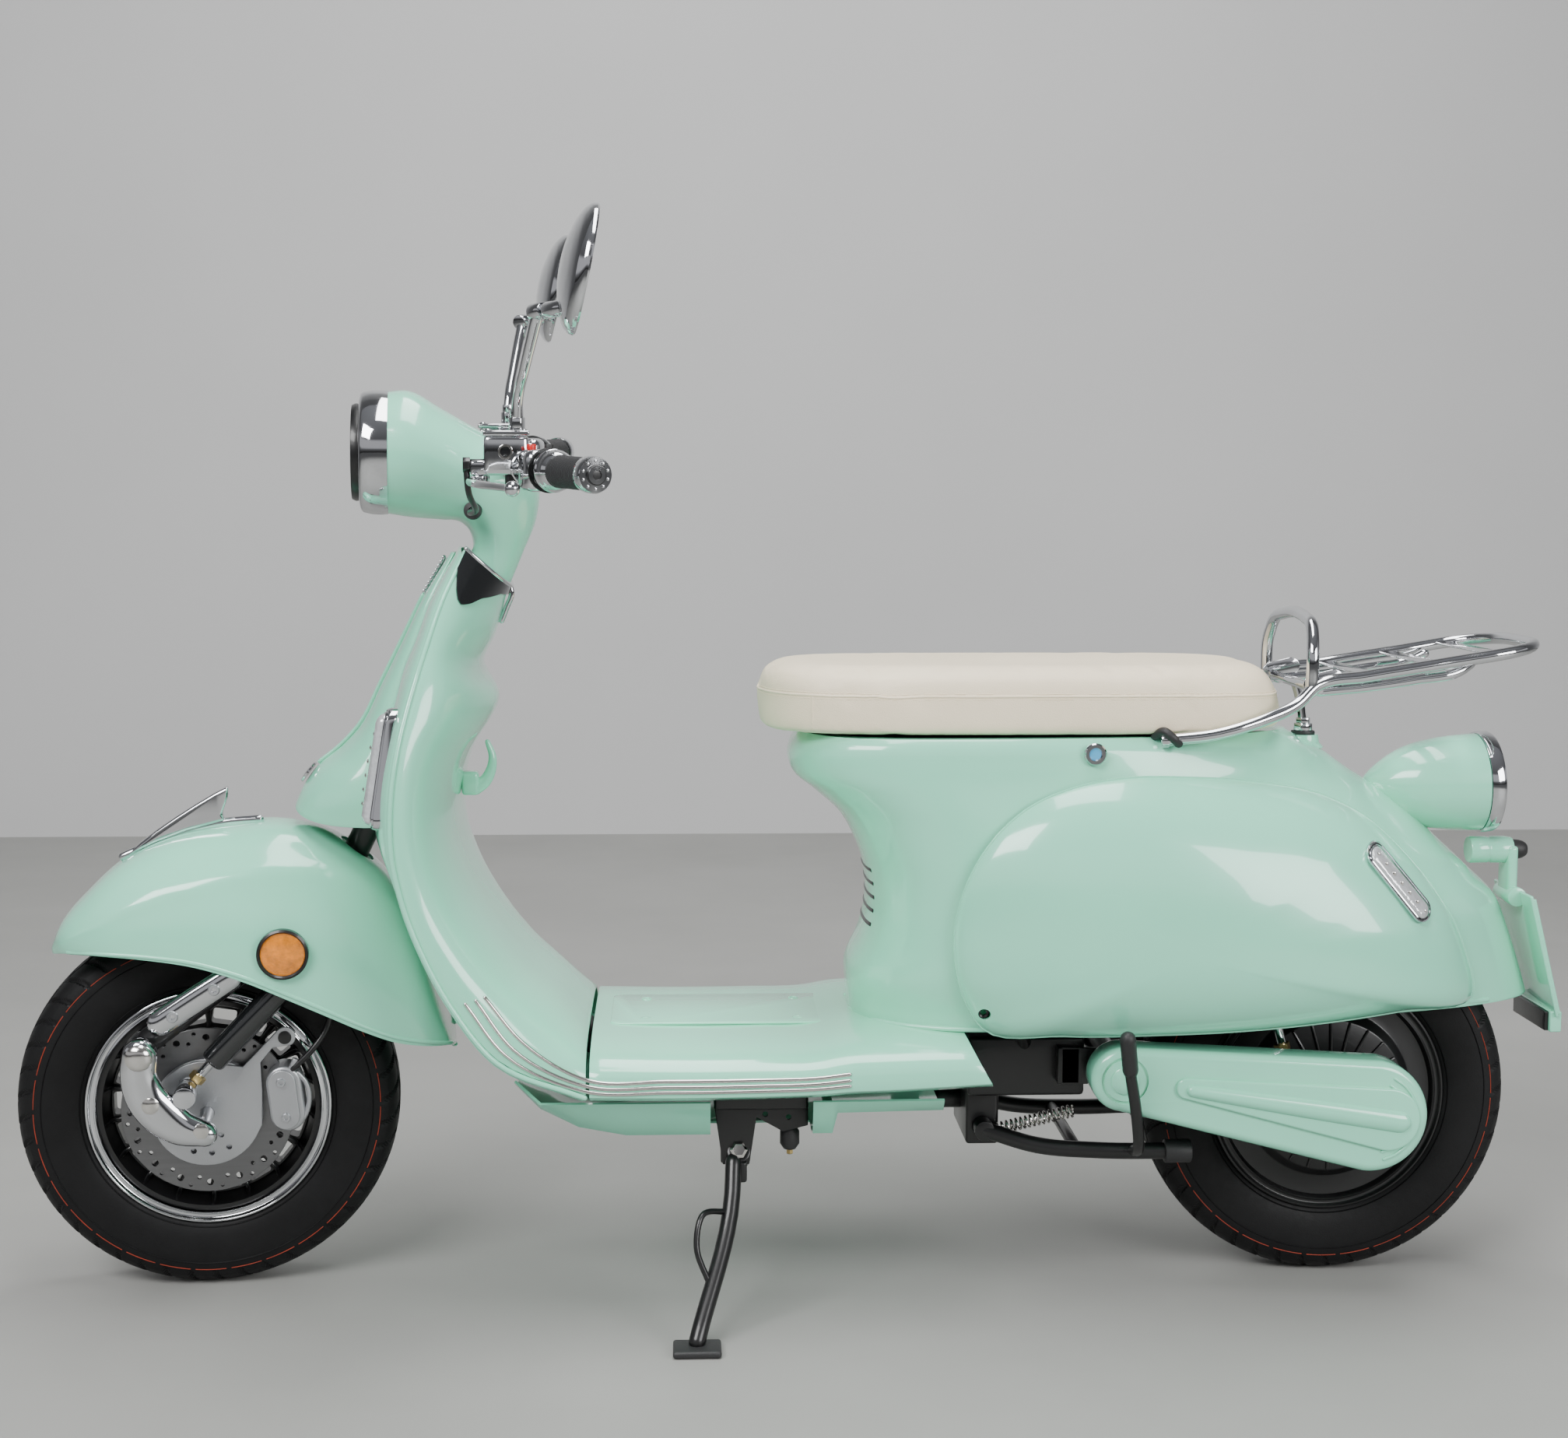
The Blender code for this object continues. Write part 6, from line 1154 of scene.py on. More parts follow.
def luggage_rack():
    def across_middle(*points):
        return [*[(x, -y, z) for x, y, z in points], *[(x, y, z) for x, y, z in reversed(points) if y]]

    loop = across_middle((0.408, 0.128, 0.646), (0.46, 0.13, 0.652), (0.52, 0.122, 0.668),
        (0.56, 0.108, 0.684), (0.584, 0.1, 0.704), (0.64, 0.098, 0.714), (0.74, 0.096, 0.73),
        (0.82, 0.09, 0.743), (0.846, 0.06, 0.747), (0.852, 0.0, 0.748))
    hoop = across_middle((0.578, 0.1, 0.698), (0.579, 0.098, 0.745), (0.582, 0.08, 0.77),
        (0.584, 0.045, 0.778))
    parts = [pipe("loop", loop, 0.007), pipe("hoop", hoop, 0.0072)]
    parts += [block("slat", (x - 0.012, -0.095, z - 0.0015), (x + 0.012, 0.095, z + 0.0015), edge=0.0012)
        for x, z in ((0.65, 0.7155), (0.725, 0.7275), (0.795, 0.739))]
    parts += [rod("cross", (0.586, -0.1, 0.7), (0.586, 0.1, 0.7), 0.006),
        pipe("strut", [(0.586, 0, 0.7), (0.592, 0, 0.68), (RACK_FOOT_X, 0, 0.648)], 0.005),
        rod("foot", (RACK_FOOT_X, 0, 0.6415), (RACK_FOOT_X, 0, 0.652), 0.011, edge=0.002),
        rod("nut", (RACK_FOOT_X, 0, 0.651), (RACK_FOOT_X, 0, 0.658), 0.0085, 6)]
    for side in (-1, 1):
        lower = [(0.59, 0.09, 0.6965), (0.64, 0.089, 0.701), (0.7, 0.088, 0.7095), (0.752, 0.086, 0.719),
            (0.766, 0.08, 0.727)]
        parts += [pipe("lower", handed(lower, -side), 0.0058),
            plate("gusset", capsule((0.583, 0.704), (0.606, 0.7115), 0.0125, 0.0105, 14), 0.003,
            side * 0.0905, edge=0.0008), screw_head("bolt", vec(0.602, side * 0.092, 0.7105), 0.0058,
            (0, side, 0)), rod("bush", (0.41, side * 0.128, 0.6462), (0.402, side * 0.127, 0.6455), 0.0086)]
    put(joined("rack_tubes", *parts), CHROME, "luggage_rack")
    rubber = [(0, 0), (0.0135, 0), (0.014, 0.002), (0.0135, 0.0042), (0, 0.0042)]
    put(lathe("rack_rubber", rubber, (RACK_FOOT_X, 0, 0.6382), UP, 40), PLASTIC)
    boss = [(0, 0), (0.024, 0), (0.019, 0.006), (0.0175, 0.015), (0, 0.0155)]
    put(lathe("rack_boss", boss, (RACK_FOOT_X, 0, 0.6235), UP, 48), MINT)
    seal = [(0.396, -0.121, 0.65), (0.404, -0.133, 0.656), (0.414, -0.137, 0.648), (0.42, -0.133, 0.6425)]
    for side, hand in SIDES:
        put(pipe("rail_seal_" + hand, handed(seal, side), 0.005), PLASTIC)


BOARD_TILT = Matrix.Rotation(radians(-14), 4, "Y")


def tail():
    line = [(0.004, -0.027), (0.016, -0.017), (0.027, -0.004), (0.0375, 0.012), (0.046, 0.03),
        (0.0515, 0.05), (0.0545, 0.069), (0.0566, 0.092), (0.0575, 0.112)]
    bulb = lathe("bulb", [(0, -0.027)] + refine_profile(line, 6) + [(0, 0.112)], LAMP_START, LAMP_AIM)
    stem = rod("stem", (0.65, 0, 0.5735), (0.715, 0, 0.577), 0.012)
    put(joined("tail_lamp_bulb", bulb, stem), MINT, "tail_lamp")
    start = LAMP_START + LAMP_AIM * 0.1125
    bezel = [(0.055, 0.0), (0.059, 0.0), (0.06, 0.003), (0.0598, 0.013), (0.058, 0.0165), (0.055, 0.018),
        (0.0515, 0.0165), (0.0505, 0.004)]
    put(lathe("tail_lamp_bezel", bezel, start, LAMP_AIM, 128), CHROME)
    radius, rim, bulge = 0.0508, 0.015, 0.013
    lens = [(0.0, 0.004), (radius, 0.004), (radius, rim)]
    lens += [(radius * cos(t), rim + bulge * sin(t)) for t in quarter(14)[1:]]
    put(lathe("tail_lamp_lens", lens, start, LAMP_AIM), RED, "tail_lens")
    put(screw_head("tail_lamp_screw", vec(0.796, -0.0105, 0.5295), 0.0036, (0.1, -0.2, -1)), STAINLESS)
    plate_board()


def plate_board():
    boss = [(0, 0.799), (0.015, 0.799), (0.016, 0.801), (0.016, 0.82), (0.015, 0.8215), (0.015, 0.8235),
        (0.016, 0.825), (0.016, 0.842), (0.0145, 0.85), (0, 0.85)]
    rails = [block("rail", (0.8735, y - 0.0025, 0.312), (0.8775, y + 0.0025, 0.452), BOARD_TILT, 0.001)
        for y in (-0.0575, 0.0575)]
    put(joined("plate_board", lathe("boss", boss, (0, 0, 0.5), BACK, 48),
        block("neck", (0.842, -0.018, 0.44), (0.854, 0.018, 0.506), edge=0.004),
        block("board", (0.871, -0.06, 0.308), (0.875, 0.06, 0.456), BOARD_TILT, 0.0016), *rails,
        rod("knob", (0.851, -0.026, 0.4465), (0.851, 0.026, 0.4465), 0.0115, edge=0.002),
        block("foot", (0.884, -0.055, 0.291), (0.898, 0.055, 0.316))), MINT, "plate_bracket")
    cone = refine_profile([(0.0125, 0.0), (0.0118, 0.008), (0.01, 0.018), (0.007, 0.0225), (0.0, 0.024)], 4)
    put(lathe("tail_buffer", [(0, 0)] + cone, (0.846, 0, 0.5), BACK, 48), PLASTIC)
    put(block("reflector_case", (0.879, -0.05, 0.292), (0.885, 0.05, 0.315), edge=0.0015), BLACK)
    put(block("rear_reflector", (0.8972, -0.046, 0.295), (0.9012, 0.046, 0.3125), edge=0.0012), RED)


def cowl_outer(x, z):
    """How far the cowl reaches from the middle plane at this place in the side view."""
    dx, dz = x - COWL_MIDDLE[0], z - COWL_MIDDLE[1]
    for a, b in zip(COWL_RIM, COWL_RIM[1:] + COWL_RIM[:1]):
        ax, az = a[0] - COWL_MIDDLE[0], a[1] - COWL_MIDDLE[1]
        bx, bz = b[0] - COWL_MIDDLE[0], b[1] - COWL_MIDDLE[1]
        det = dx * (bz - az) - dz * (bx - ax)
        if abs(det) < 1e-9:
            continue
        along, part = (ax * (bz - az) - az * (bx - ax)) / det, (ax * dz - az * dx) / det
        if along > 0 and 0 <= part <= 1:
            rim = (a[0] + part * (b[0] - a[0]), a[1] + part * (b[1] - a[1]))
            return abs(cowl_point(rim, min(1.0, 1 / along), 1).y)
    return COWL_PEAK


def pill(name, length, half, place, node, lights):
    """A lamp with round ends on a curved panel: a two-step frame, a lens and the small lights behind it."""
    def ring(size, height, count=18):
        ends = capsule((-length / 2, 0), (length / 2, 0), half * size, half * size, count)
        return [place(a, b, height) for a, b in ends]

    frame_rows = [ring(1.18, -0.0015), ring(1.18, 0.003), ring(1.08, 0.0052), ring(0.98, 0.0052),
        ring(0.94, 0.0035), ring(0.88, 0.0062), ring(0.78, 0.0066), ring(0.74, 0.002)]
    put(loft(name + "_frame", frame_rows), CHROME, sharp=50)
    lens_rows = [ring(0.76, 0.0035), ring(0.76, 0.0068), ring(0.62, 0.009), ring(0.36, 0.0104),
        ring(0.1, 0.0108)]
    put(loft(name + "_lens", lens_rows), CLEAR, node, sharp=60)
    dots = []
    for k in range(lights):
        a = (k / (lights - 1) - 0.5) * length * 1.05
        low, high = place(a, 0, 0.0095), place(a, 0, 0.0125)
        dots.append(lathe("dot", [(0, 0), (0.0024, 0), (0.0021, 0.0009), (0, 0.0016)], low, high - low, 16))
    put(joined(name + "_lights", *dots), STAINLESS)


def signals(side, hand):
    start, end = vec(0.636, 0.0, 0.527), vec(0.699, 0.0, 0.45)
    along = (end - start).normalized()
    across = vec(-along.z, 0.0, along.x)

    def on_cowl(a, b, height):
        at = (start + end) / 2 + along * a + across * b
        return vec(at.x, side * (cowl_outer(at.x, at.z) + 0.0022 + height), at.z)

    def on_apron(a, b, height):
        z, y = 0.6225 + a, 0.158 + b + 0.35 * max(0.0, 0.01 - a)
        return vec(apron_front_at(z, y) - 0.001 - height * 1.5, side * (y + height * 0.7), z)

    pill("rear_lamp_" + hand, 0.078, 0.012, on_cowl, "rear_signal_" + hand, 7)
    pill("front_lamp_" + hand, 0.098, 0.0135, on_apron, "front_signal_" + hand, 8)


# Handlebar, controls and mirrors

# The red and the black push button, measured from the middle of their pod
BUTTON_PLACES = (vec(-0.009, 0.004, 0), vec(0.009, -0.004, 0))


def bar_point(y):
    """A point on the handlebar's middle line, which bends back past its straight middle."""
    return vec(BAR_X + max(0.0, abs(y) - BAR_BEND) * tan(SWEEP), y, BAR_HEIGHT)


def bar_direction(side):
    return vec(sin(SWEEP), side * cos(SWEEP), 0.0)


def grips(side, hand):
    start, aim, core, skin = bar_point(side * GRIP_START), bar_direction(side), 0.0115, 0.0168
    profile = [(core, 0.024), (skin, 0.024)]
    for z in (0.0255 + 0.0036 * k for k in range(20)):
        profile += [(skin, z), (skin, z + 0.002), (0.0156, z + 0.0023), (0.0156, z + 0.0033)]
    profile += [(skin, 0.0985), (core, 0.0985)]
    put(lathe(hand + "_grip_rubber", profile, start, aim, 72), GRIP,
        "left_grip" if side < 0 else "throttle_grip", 60)
    body = "steering" if side < 0 else "throttle"
    flange = [(core, 0.0008), (0.0205, 0.0008), (0.0222, 0.003), (0.0226, 0.0085), (0.0212, 0.0105),
        (0.0212, 0.016), (0.0196, 0.0215), (0.0175, 0.0245), (core, 0.0245)]
    put(lathe(hand + "_grip_flange", flange, start, aim), CHROME, body)
    end = [(0.0, 0.1), (core, 0.0975), (0.018, 0.0975), (0.0188, 0.099), (0.0188, 0.111), (0.0176, 0.1138),
        (0.01, 0.1142), (0.0092, 0.118), (0.0048, 0.1182), (0.0046, 0.112), (0.0, 0.112)]
    across = vec(0, 0, 1)
    third = aim.cross(across)
    studs = [lathe("stud", [(0, -0.001), (0.0017, -0.001), (0.0015, 0.001), (0, 0.0016)],
        start + aim * 0.1138 + (across * cos(a) + third * sin(a)) * 0.014, aim, 12)
        for a in (2 * pi * k / 10 for k in range(10))]
    put(joined(hand + "_bar_end", lathe("end", end, start, aim, 72), *studs), CHROME, body)


def handlebar():
    radius, inner, outer = 0.0105, 0.12, 0.16
    tubes = [rod("bar", bar_point(side * 0.35), bar_point(side * BAR_BEND), radius) for side in (-1, 1)]
    middle = pipe("middle", [bar_point(y) for y in (-outer, -BAR_BEND, -inner, inner, BAR_BEND, outer)],
        radius)
    neck = rod("neck", on_steering(0.886), (BAR_X, 0, BAR_HEIGHT), 0.012)
    base = rod("socket", on_steering(0.8805), on_steering(0.893), 0.0165)
    put(joined("bar_tube", *tubes, middle, neck, base), BLACK, "handlebar")
    for side, hand in SIDES:
        put(lathe("bar_sleeve_" + hand, washer(0.0112, 0.015, 0.0, 0.07), (BAR_X, side * 0.062, BAR_HEIGHT),
            (0, side, 0), 64, 0.0015), CHROME, "steering")


def controls(side, hand):
    middle = bar_point(side * CLAMP_Y) + vec(-0.016, 0, 0)
    pivot = bar_point(side * CLAMP_Y) + vec(-0.046, 0, -0.012)
    brake_master(side, hand, middle, pivot)
    brake_line(side, hand, middle)
    brake_lever(side, hand, pivot)
    switch_pod(side, hand)


def brake_master(side, hand, middle, pivot):
    tank = block("tank", middle + vec(-0.026, -0.0165, -0.0075), middle + vec(0.022, 0.0165, 0.035),
        edge=0.0055)
    lid = block("lid", middle + vec(-0.0268, -0.0172, 0.034), middle + vec(0.0228, 0.0172, 0.0398),
        edge=0.0016)
    collar = [(0.0112, -0.0145), (0.018, -0.0145), (0.019, -0.0135), (0.019, 0.0135), (0.018, 0.0145),
        (0.0112, 0.0145)]
    clamp = lathe("clamp", collar, bar_point(side * CLAMP_Y), bar_direction(side), 64)
    cut(tank, rod("way", bar_point(side * 0.142), bar_point(side * 0.215), 0.0112, edge=0))
    mount = block("mount", pivot + vec(-0.01, -0.01, 0.0042), pivot + vec(0.016, 0.01, 0.02), edge=0.003)
    post = rod("post", pivot + vec(0, 0, -0.006), pivot + vec(0, 0, 0.008), 0.004)
    screws = [screw_head("screw", middle + vec(x, y, 0.0394), 0.0036, UP, 0.0016) for x in (-0.021, 0.017)
        for y in (-0.0115, 0.0115)]
    knob = lathe("knob", [(0, 0), (0.0065, 0), (0.0065, 0.009), (0.005, 0.012), (0, 0.0125)],
        middle + vec(0.013, side * 0.0165, -0.0005), (0, side, 0), 32)
    put(joined("brake_master_" + hand, tank, lid, clamp, mount, post, knob, *screws), CHROME,
        "master_cylinder_" + hand)
    sight = middle + vec(-0.003, side * 0.016, 0.0175)
    ring = [(0.0052, 0.0), (0.0082, 0.0), (0.0076, 0.0022), (0.0056, 0.0022)]
    put(lathe("sight_ring_" + hand, ring, sight, (0, side, 0), 48), STAINLESS, "steering")
    glass = [(0, 0.0), (0.0054, 0.0), (0.0054, 0.0012), (0, 0.0018)]
    put(lathe("sight_glass_" + hand, glass, sight, (0, side, 0), 40), DARK_GLOSS, "steering")
    bolts = [rod("bolt", middle + vec(x, side * 0.006, -0.018), middle + vec(x, side * 0.006, -0.005),
        0.0056, 6) for x in (0.002, 0.017)]
    put(joined("clamp_bolts_" + hand, *bolts), BLACK, "steering")


def brake_line(side, hand, middle):
    union = [rod("union", middle + vec(-0.024, 0, 0.003), middle + vec(-0.04, 0, 0.003), 0.0062, 20),
        rod("banjo", middle + vec(-0.04, 0, 0.003), middle + vec(-0.048, 0, 0.003), 0.0082, 6)]
    put(joined("hose_union_" + hand, *union), BLACK, "steering")
    start = middle + vec(-0.044, 0, -0.003)
    route = [start, start + vec(0.0015, -side * 0.004, -0.02), start + vec(0.01, -side * 0.045, -0.044),
        (-0.3745, side * 0.076, 0.901), (-0.37, side * 0.056, 0.902), (-0.365, side * 0.04, 0.904)]
    put(pipe("lever_hose_" + hand, [Vector(q) for q in route], 0.0034), BLACK, "steering")
    grommet = [(0.0036, -0.002), (0.0105, -0.002), (0.0095, 0.003), (0.004, 0.0042)]
    put(lathe("hose_grommet_" + hand, grommet, (-0.3715, side * 0.056, 0.902), (-0.2, side, 0.05), 40),
        PLASTIC, "steering")


def brake_lever(side, hand, pivot):
    eye = lathe("eye", washer(0.0046, 0.0105, -0.005, 0.0038), pivot, UP, 48, 0.0008)
    tip, ball_radius = bar_point(side * 0.335) + vec(-0.078, 0, -0.014), 0.008
    line = [pivot + vec(-0.0065, side * 0.0075, -0.001), pivot + vec(-0.01, side * 0.03, -0.001),
        pivot + vec(-0.006, side * 0.085, -0.001), tip]
    blade = pipe("blade", line, 0.0045, taper=lambda s: 1.15 - 0.3 * s)
    ball = lathe("ball", [(ball_radius * sin(t), -ball_radius * cos(t)) for t in np.linspace(0, pi, 20)],
        tip + vec(0, side * 0.002, 0), UP, 32)
    put(joined("lever_blade_" + hand, eye, blade, ball), CHROME, "brake_lever_" + hand)


def switch_pod(side, hand):
    turn = Matrix.Rotation(-side * SWEEP, 4, "Z")
    middle = bar_point(side * POD_Y)
    pod = block("switch_case_" + hand, middle - vec(0.021, 0.018, 0.023), middle + vec(0.021, 0.018, 0.021),
        turn, 0.0095)
    ways = [rod("bore", bar_point(side * 0.15), bar_point(side * 0.32), 0.011, edge=0)]
    if side < 0:
        for offset in BUTTON_PLACES:
            top = middle + offset + vec(0, 0, 0.022)
            ways.append(rod("pocket", top - vec(0, 0, 0.0065), top + vec(0, 0, 0.003), 0.0056, edge=0))
    put(cut(pod, *ways), CHROME, "switch_pod_" + hand)
    put(lathe("switch_joint_" + hand, washer(0.02, 0.0236, -0.001, 0.001), bar_point(side * 0.234),
        bar_direction(side), 64), BLACK, "steering")


def buttons():
    cap = [(0, 0), (0.0048, 0), (0.005, 0.0004), (0.005, 0.0062), (0.0044, 0.0072), (0.002, 0.0066),
        (0, 0.0064)]
    for name, offset, material in zip(("button_red", "button_black"), BUTTON_PLACES, (SWITCH_RED, PLASTIC)):
        foot = bar_point(-POD_Y) + offset + vec(0, 0, 0.0192)
        put(lathe(name + "_cap", cap, foot, UP, 48), material, name)


def mirrors(side, hand):
    base = bar_point(side * CLAMP_Y) + vec(-0.006, 0, 0.0404)
    knuckle = vec(-0.305, side * 0.232, 1.117)
    nut = rod("nut", base, base + vec(0, 0, 0.013), 0.009, 6, edge=0.001)
    collar = rod("collar", base + vec(0, 0, 0.0125), base + vec(0, 0, 0.022), 0.0072)
    line = [base + vec(0, 0, 0.01), base + vec(0.001, side * 0.005, 0.03),
        base.lerp(knuckle, 0.5) + vec(-0.002, side * 0.001, 0.004),
        knuckle + vec(0.0, -side * 0.001, -0.006)]
    stalk = pipe("stalk", line, 0.0064, taper=lambda s: 1.06 - 0.66 * s * (1.0 - s))
    end = rod("end", knuckle + vec(-0.0045, -side * 0.006, -0.001),
        knuckle + vec(0.007, side * 0.0098, 0.0008), 0.0088, edge=0.0016)
    put(joined("mirror_stalk_" + hand, nut, collar, stalk, end), CHROME, "mirror_stem_" + hand)
    middle, aim = vec(-0.2655, side * 0.272, 1.16), vec(0.98, 0.0, -0.196).normalized()
    back = [(0.0, -0.018), (0.016, -0.0172), (0.034, -0.014), (0.05, -0.009), (0.0615, -0.0025),
        (0.067, 0.004), (0.068, 0.008)]
    rim = [(0.067, 0.01), (0.064, 0.01), (0.0625, 0.008), (0.0, 0.008)]
    bowl = lathe("bowl", refine_profile(back, 6) + rim, middle, aim)
    stub = rod("stub", knuckle + vec(0.0095, side * 0.0134, 0.001),
        knuckle + vec(0.027, side * 0.038, 0.003), 0.0084, edge=0.0014)
    put(joined("mirror_bowl_" + hand, bowl, stub), CHROME, "mirror_head_" + hand)
    glass = [(0, 0.008), (0.062, 0.008), (0.062, 0.0086), (0.0605, 0.0094), (0, 0.0094)]
    put(lathe("mirror_glass_" + hand, glass, middle, aim), GLASS, "mirror_" + hand)


def ignition():
    start = vec(-0.35, 0.0, 0.684)
    face = [(0, 0), (0.011, 0), (0.011, 0.003), (0.0096, 0.0044), (0.008, 0.0044), (0.0076, 0.0034),
        (0, 0.0034)]
    slot = block("slot", start + vec(0.0015, -0.0009, -0.0045), start + vec(0.012, 0.0009, 0.0045),
        edge=0.0002)
    put(cut(lathe("key_barrel", face, start, BACK, 48), slot), CHROME, "ignition_lock")
    ring = [(0.0116, -0.01), (0.0165, -0.01), (0.0165, -0.0005), (0.015, 0.0012), (0.0116, 0.0012)]
    put(lathe("key_surround", ring, start, BACK, 64), BLACK)


# Seat and what it covers

SEAT_LEVELS = ((0.6515, -0.04, 0.556, 0.13), (0.6535, -0.0445, 0.5605, 0.1335),
    (0.662, -0.0465, 0.563, 0.135), (0.678, -0.0465, 0.561, 0.1355), (0.695, -0.046, 0.556, 0.135),
    (0.708, -0.044, 0.549, 0.1325), (0.7165, -0.039, 0.542, 0.127), (0.721, -0.03, 0.531, 0.118),
    (0.7235, -0.012, 0.512, 0.102))


SEAT_POWERS, PAN_POWERS = (4.2, 3, 4.2, 3), (4, 3, 4, 3)


def seat():
    rows = [plan_ring(front, rear, half, z, SEAT_POWERS, 18) for z, front, rear, half in SEAT_LEVELS]
    pad = loft("seat_pad", refine(rows, 2))
    inflate(pad)
    fine = pad.modifiers.new("fine", "SUBSURF")
    fine.levels = fine.render_levels = 1
    freeze(pad)
    put(pad, VINYL, "seat_cushion", flat=True)
    graph = bpy.context.evaluated_depsgraph_get()
    graph.update()
    skin = BVHTree.FromObject(pad, graph)

    def on_skin(points, sink):
        return [at - normal * sink for at, normal, _, _ in map(skin.find_nearest, points)]

    rim = (-0.052, 0.566, 0.146)
    ring = plan_ring(*rim, 0.6965, SEAT_POWERS, 30)
    put(pipe("seat_piping", on_skin(ring, 0.0006), 0.0017, 2, wrap=True, sides=12), VINYL, "seat")
    for k, z in enumerate((0.7002, 0.6928)):
        line = plan_ring(*rim, z, SEAT_POWERS, 90)
        stitches = [pipe("stitch", on_skin(line[j:j + 2], -0.0001), 0.00045, 1, sides=6)
            for j in range(0, len(line) - 1, 2)]
        put(joined("seat_stitches_%d" % k, *stitches), VINYL, "seat")
    for side, hand in SIDES:
        route = [vec(-0.006, side * 0.15, z) for z in np.linspace(0.657, 0.696, 9)]
        put(pipe("seat_front_seam_" + hand, on_skin(route, 0.0004), 0.0011, 2, sides=10), VINYL, "seat")
    base = [plan_ring(0.002 + inset, 0.505 - inset, 0.112 - inset, z, PAN_POWERS, 20)
        for z, inset in ((0.65, 0.001), (0.6512, 0.0), (0.655, -0.003), (0.6565, -0.0038))]
    put(loft("seat_pan", base), PLASTIC, "seat_base")


def inflate(pad):
    """Swells the pad as stuffed cloth, held flat where it stands on the pan."""
    voxels = pad.modifiers.new("voxels", "REMESH")
    voxels.mode, voxels.voxel_size = "VOXEL", 0.005
    freeze(pad)
    before = np.empty(len(pad.data.vertices) * 3)
    pad.data.vertices.foreach_get("co", before)
    before = before.reshape(-1, 3)
    cloth = pad.modifiers.new("stuffing", "CLOTH")
    cloth.settings.use_pressure, cloth.settings.uniform_pressure_force = True, 4.0
    cloth.settings.effector_weights.gravity = 0.0
    scene = bpy.context.scene
    for step in range(1, 21):
        scene.frame_set(step)
    graph = bpy.context.evaluated_depsgraph_get()
    result = pad.evaluated_get(graph).to_mesh()
    after = np.empty(len(result.vertices) * 3)
    result.vertices.foreach_get("co", after)
    pad.evaluated_get(graph).to_mesh_clear()
    pad.modifiers.clear()
    scene.frame_set(1)
    move = after.reshape(-1, 3) - before
    size = np.maximum(np.linalg.norm(move, axis=1, keepdims=True), 1e-9)
    moved = before + move * np.minimum(1.0, 0.0045 / size)
    moved[:, 2] = np.maximum(moved[:, 2], 0.6515)
    moved[:, 2] = np.minimum(moved[:, 2], 0.729)
    pad.data.vertices.foreach_set("co", moved.ravel())
    pad.data.update()


def under_seat():
    rows = [plan_ring(front, rear, half, z, (4, 4, 4, 4), 20)
        for z, front, rear, half in ((0.644, 0.04, 0.445, 0.104), (0.59, 0.052, 0.44, 0.102),
        (0.53, 0.105, 0.432, 0.098), (0.508, 0.13, 0.42, 0.088))]
    rows.append([q.lerp(vec(0.275, 0, 0.5075), 0.25) for q in rows[-1]])
    rows.append([q.lerp(vec(0.275, 0, 0.507), 0.98) for q in rows[-1]])
    put(shell("seat_box", rows, wrap=True, thickness=0.003, side=1), PLASTIC, "storage_bucket")
    put(block("battery_case_body", (0.118, -0.092, 0.345), (0.368, 0.092, 0.492), edge=0.008), BATTERY,
        "battery_pack")
    at = vec(0.325, -body_half_width(0.325, 0.632) - 0.004, 0.632)
    lock = lathe("seat_lock_ring", [(0.0062, 0.0), (0.0125, 0.0), (0.0125, 0.0042), (0.011, 0.006),
        (0.0074, 0.006), (0.0062, 0.0045)], at, (0, -1, 0), 64)
    put(lock, CHROME, "seat_lock")
    middle = lathe("seat_lock_core", [(0, 0.0), (0.0062, 0.0), (0.0062, 0.004), (0, 0.0048)], at,
        (0, -1, 0), 40)
    put(middle, BLUE, "seat_latch")


def body_details():
    for side, hand in SIDES:
        ring = [vec(x, side * (body_half_width(x, z) + 0.0002), z)
            for x, z in ((0.062, 0.3225), (0.1, 0.3225), (0.15, 0.3225), (0.21, 0.323), (0.31, 0.3362),
            (0.5, 0.3362), (0.7, 0.3362), (0.8, 0.3362))]
        put(pipe("body_lip_" + hand, ring, 0.0028), MINT)
        x, z = COWL_SCREW
        hole = vec(x, side * (body_half_width(x, z) + 0.01), z)
        plug = lathe("cowl_plug_" + hand, [(0.0028, 0.0), (0.0066, 0.0), (0.0066, 0.0022), (0.0056, 0.003),
            (0.0034, 0.0022)], hole, (0, side, 0), 40)
        put(plug, BLACK)
    graph = bpy.context.evaluated_depsgraph_get()
    graph.update()
    skin = BVHTree.FromObject(bpy.data.objects["body_panel"], graph)
    vents = []
    for k in range(5):
        z = 0.425 + 0.016 * k
        line = [skin.ray_cast(vec(-0.3, y, z), vec(1, 0, 0))[0] for y in np.linspace(-0.056, 0.056, 9)]
        vents.append(pipe("slot", [q + vec(0.0024, 0, 0) for q in line], 0.0034, 2))
    put(joined("front_vent_slots", *vents), BLACK)


# Studio and camera

# Each light: name, place, the point it looks at, width, depth, watts
LIGHTS = (("key_light", (-2.2, -3.0, 3.4), (0, 0, 0.5), 2.6, 1.6, 200),
    ("fill_light", (3.2, -3.4, 2.0), (0, 0, 0.5), 2.4, 1.8, 140),
    ("top_light", (0.2, 0.0, 4.4), (0, 0, 0), 4.0, 1.6, 190))


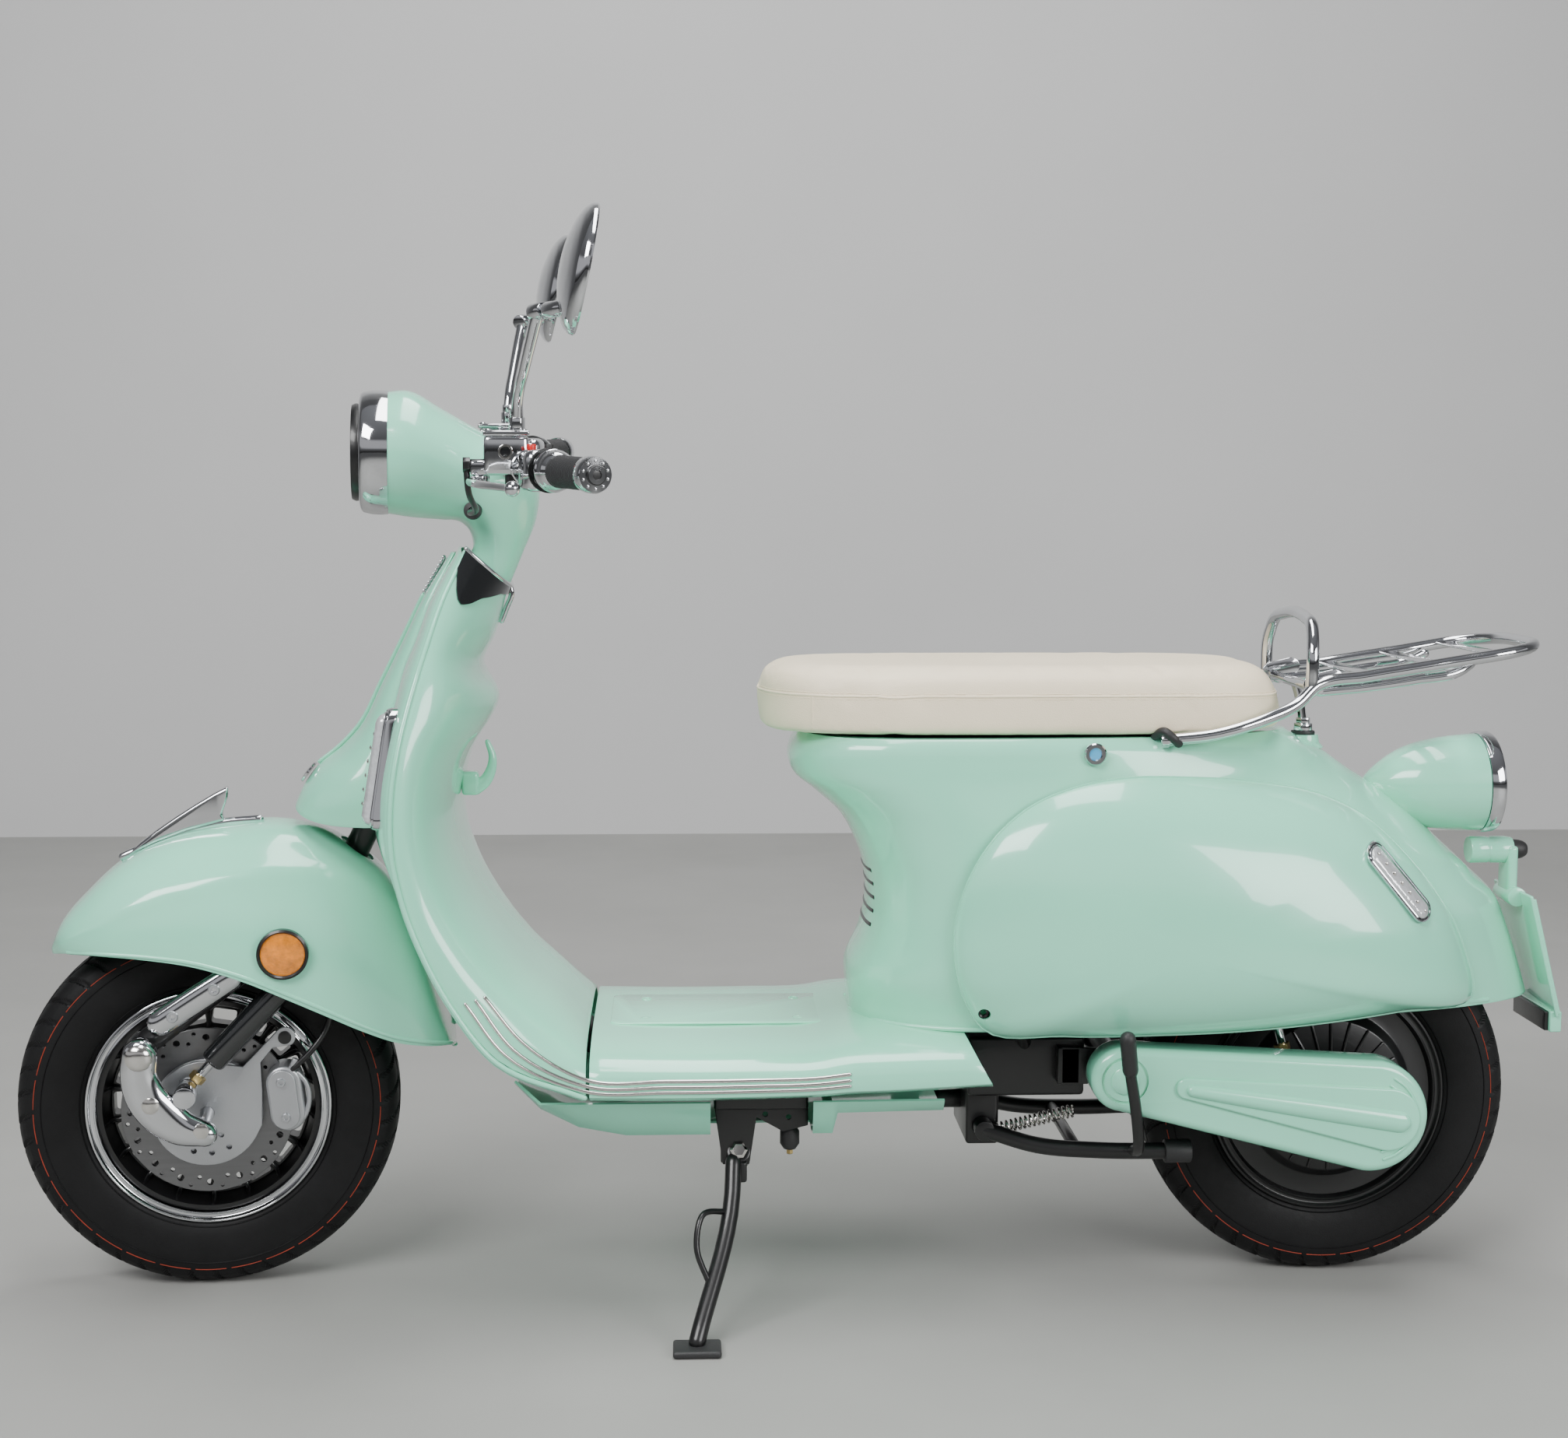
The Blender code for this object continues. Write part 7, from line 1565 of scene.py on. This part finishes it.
def studio():
    size = 60.0
    floor = block("studio_floor", (-size, -size, -0.05), (size, size, -0.0002), edge=0.01)
    grey = make_material("studio_concrete", (0.33, 0.33, 0.315), 0.55, grain=0.15, grain_scale=40, tint=0.1,
        tint_scale=1.4)
    floor.data.materials.append(grey)
    wall = block("studio_wall", (-size, 3.4, -0.05), (size, 3.5, 30.0), edge=0.01)
    wall.data.materials.append(make_material("studio_wall_paint", (0.57, 0.57, 0.57), 0.8, tint=0.05,
        tint_scale=0.6))
    world = bpy.data.worlds.new("studio_air")
    bpy.context.scene.world = world
    world.use_nodes = True
    nodes, links = world.node_tree.nodes, world.node_tree.links
    place = nodes.new("ShaderNodeTexCoord")
    split = nodes.new("ShaderNodeSeparateXYZ")
    links.new(place.outputs["Generated"], split.inputs["Vector"])
    ramp = nodes.new("ShaderNodeValToRGB")
    low, high = ramp.color_ramp.elements
    low.position, low.color = 0.02, (0.06, 0.06, 0.06, 1)
    high.position, high.color = 1.0, (0.5, 0.51, 0.54, 1)
    for position, level in ((0.09, 0.3), (0.14, 1.0), (0.34, 1.0), (0.4, 0.22)):
        ramp.color_ramp.elements.new(position).color = (level, level, level * 1.04, 1)
    links.new(split.outputs["Z"], ramp.inputs["Fac"])
    links.new(ramp.outputs["Color"], nodes["Background"].inputs["Color"])
    nodes["Background"].inputs["Strength"].default_value = 0.5
    for name, at, target, size_x, size_y, watts in LIGHTS:
        light = bpy.data.lights.new(name, "AREA")
        light.shape, light.size, light.size_y, light.energy = "RECTANGLE", size_x, size_y, watts
        lamp = bpy.data.objects.new(name, light)
        lamp.location = at
        lamp.rotation_euler = (Vector(target) - Vector(at)).to_track_quat("-Z", "Y").to_euler()
        bpy.context.scene.collection.objects.link(lamp)


def camera():
    yaw, pitch, roll = radians(-2.694), radians(5.846), radians(-0.122)
    right = vec(cos(yaw), sin(yaw), 0)
    ahead = vec(-sin(yaw) * cos(pitch), cos(yaw) * cos(pitch), -sin(pitch))
    down = ahead.cross(right)
    right, down = (right * cos(roll) + down * sin(roll), down * cos(roll) - right * sin(roll))
    lens = bpy.data.cameras.new("photo_camera")
    lens.lens, lens.sensor_width = 51.84, 36.0
    eye = bpy.data.objects.new("photo_camera", lens)
    place = Matrix((right, -down, -ahead)).transposed().to_4x4()
    place.translation = vec(-0.1365, -2.6086, 0.925)
    eye.matrix_world = place
    bpy.context.scene.collection.objects.link(eye)
    bpy.context.scene.camera = eye


body_shell()
body_details()
for side, hand in SIDES:
    cowl(side, hand)
    signals(side, hand)
    grips(side, hand)
    controls(side, hand)
    mirrors(side, hand)
leg_shield()
horn_cover()
floorboard()
belly_pan()
front_fender()
fender_fin()
headset()
handlebar()
buttons()
ignition()
front_wheel()
rear_wheel()
front_suspension()
rear_suspension()
centre_stand()
side_stand()
frame_tubes()
luggage_rack()
tail()
seat()
under_seat()
studio()
camera()
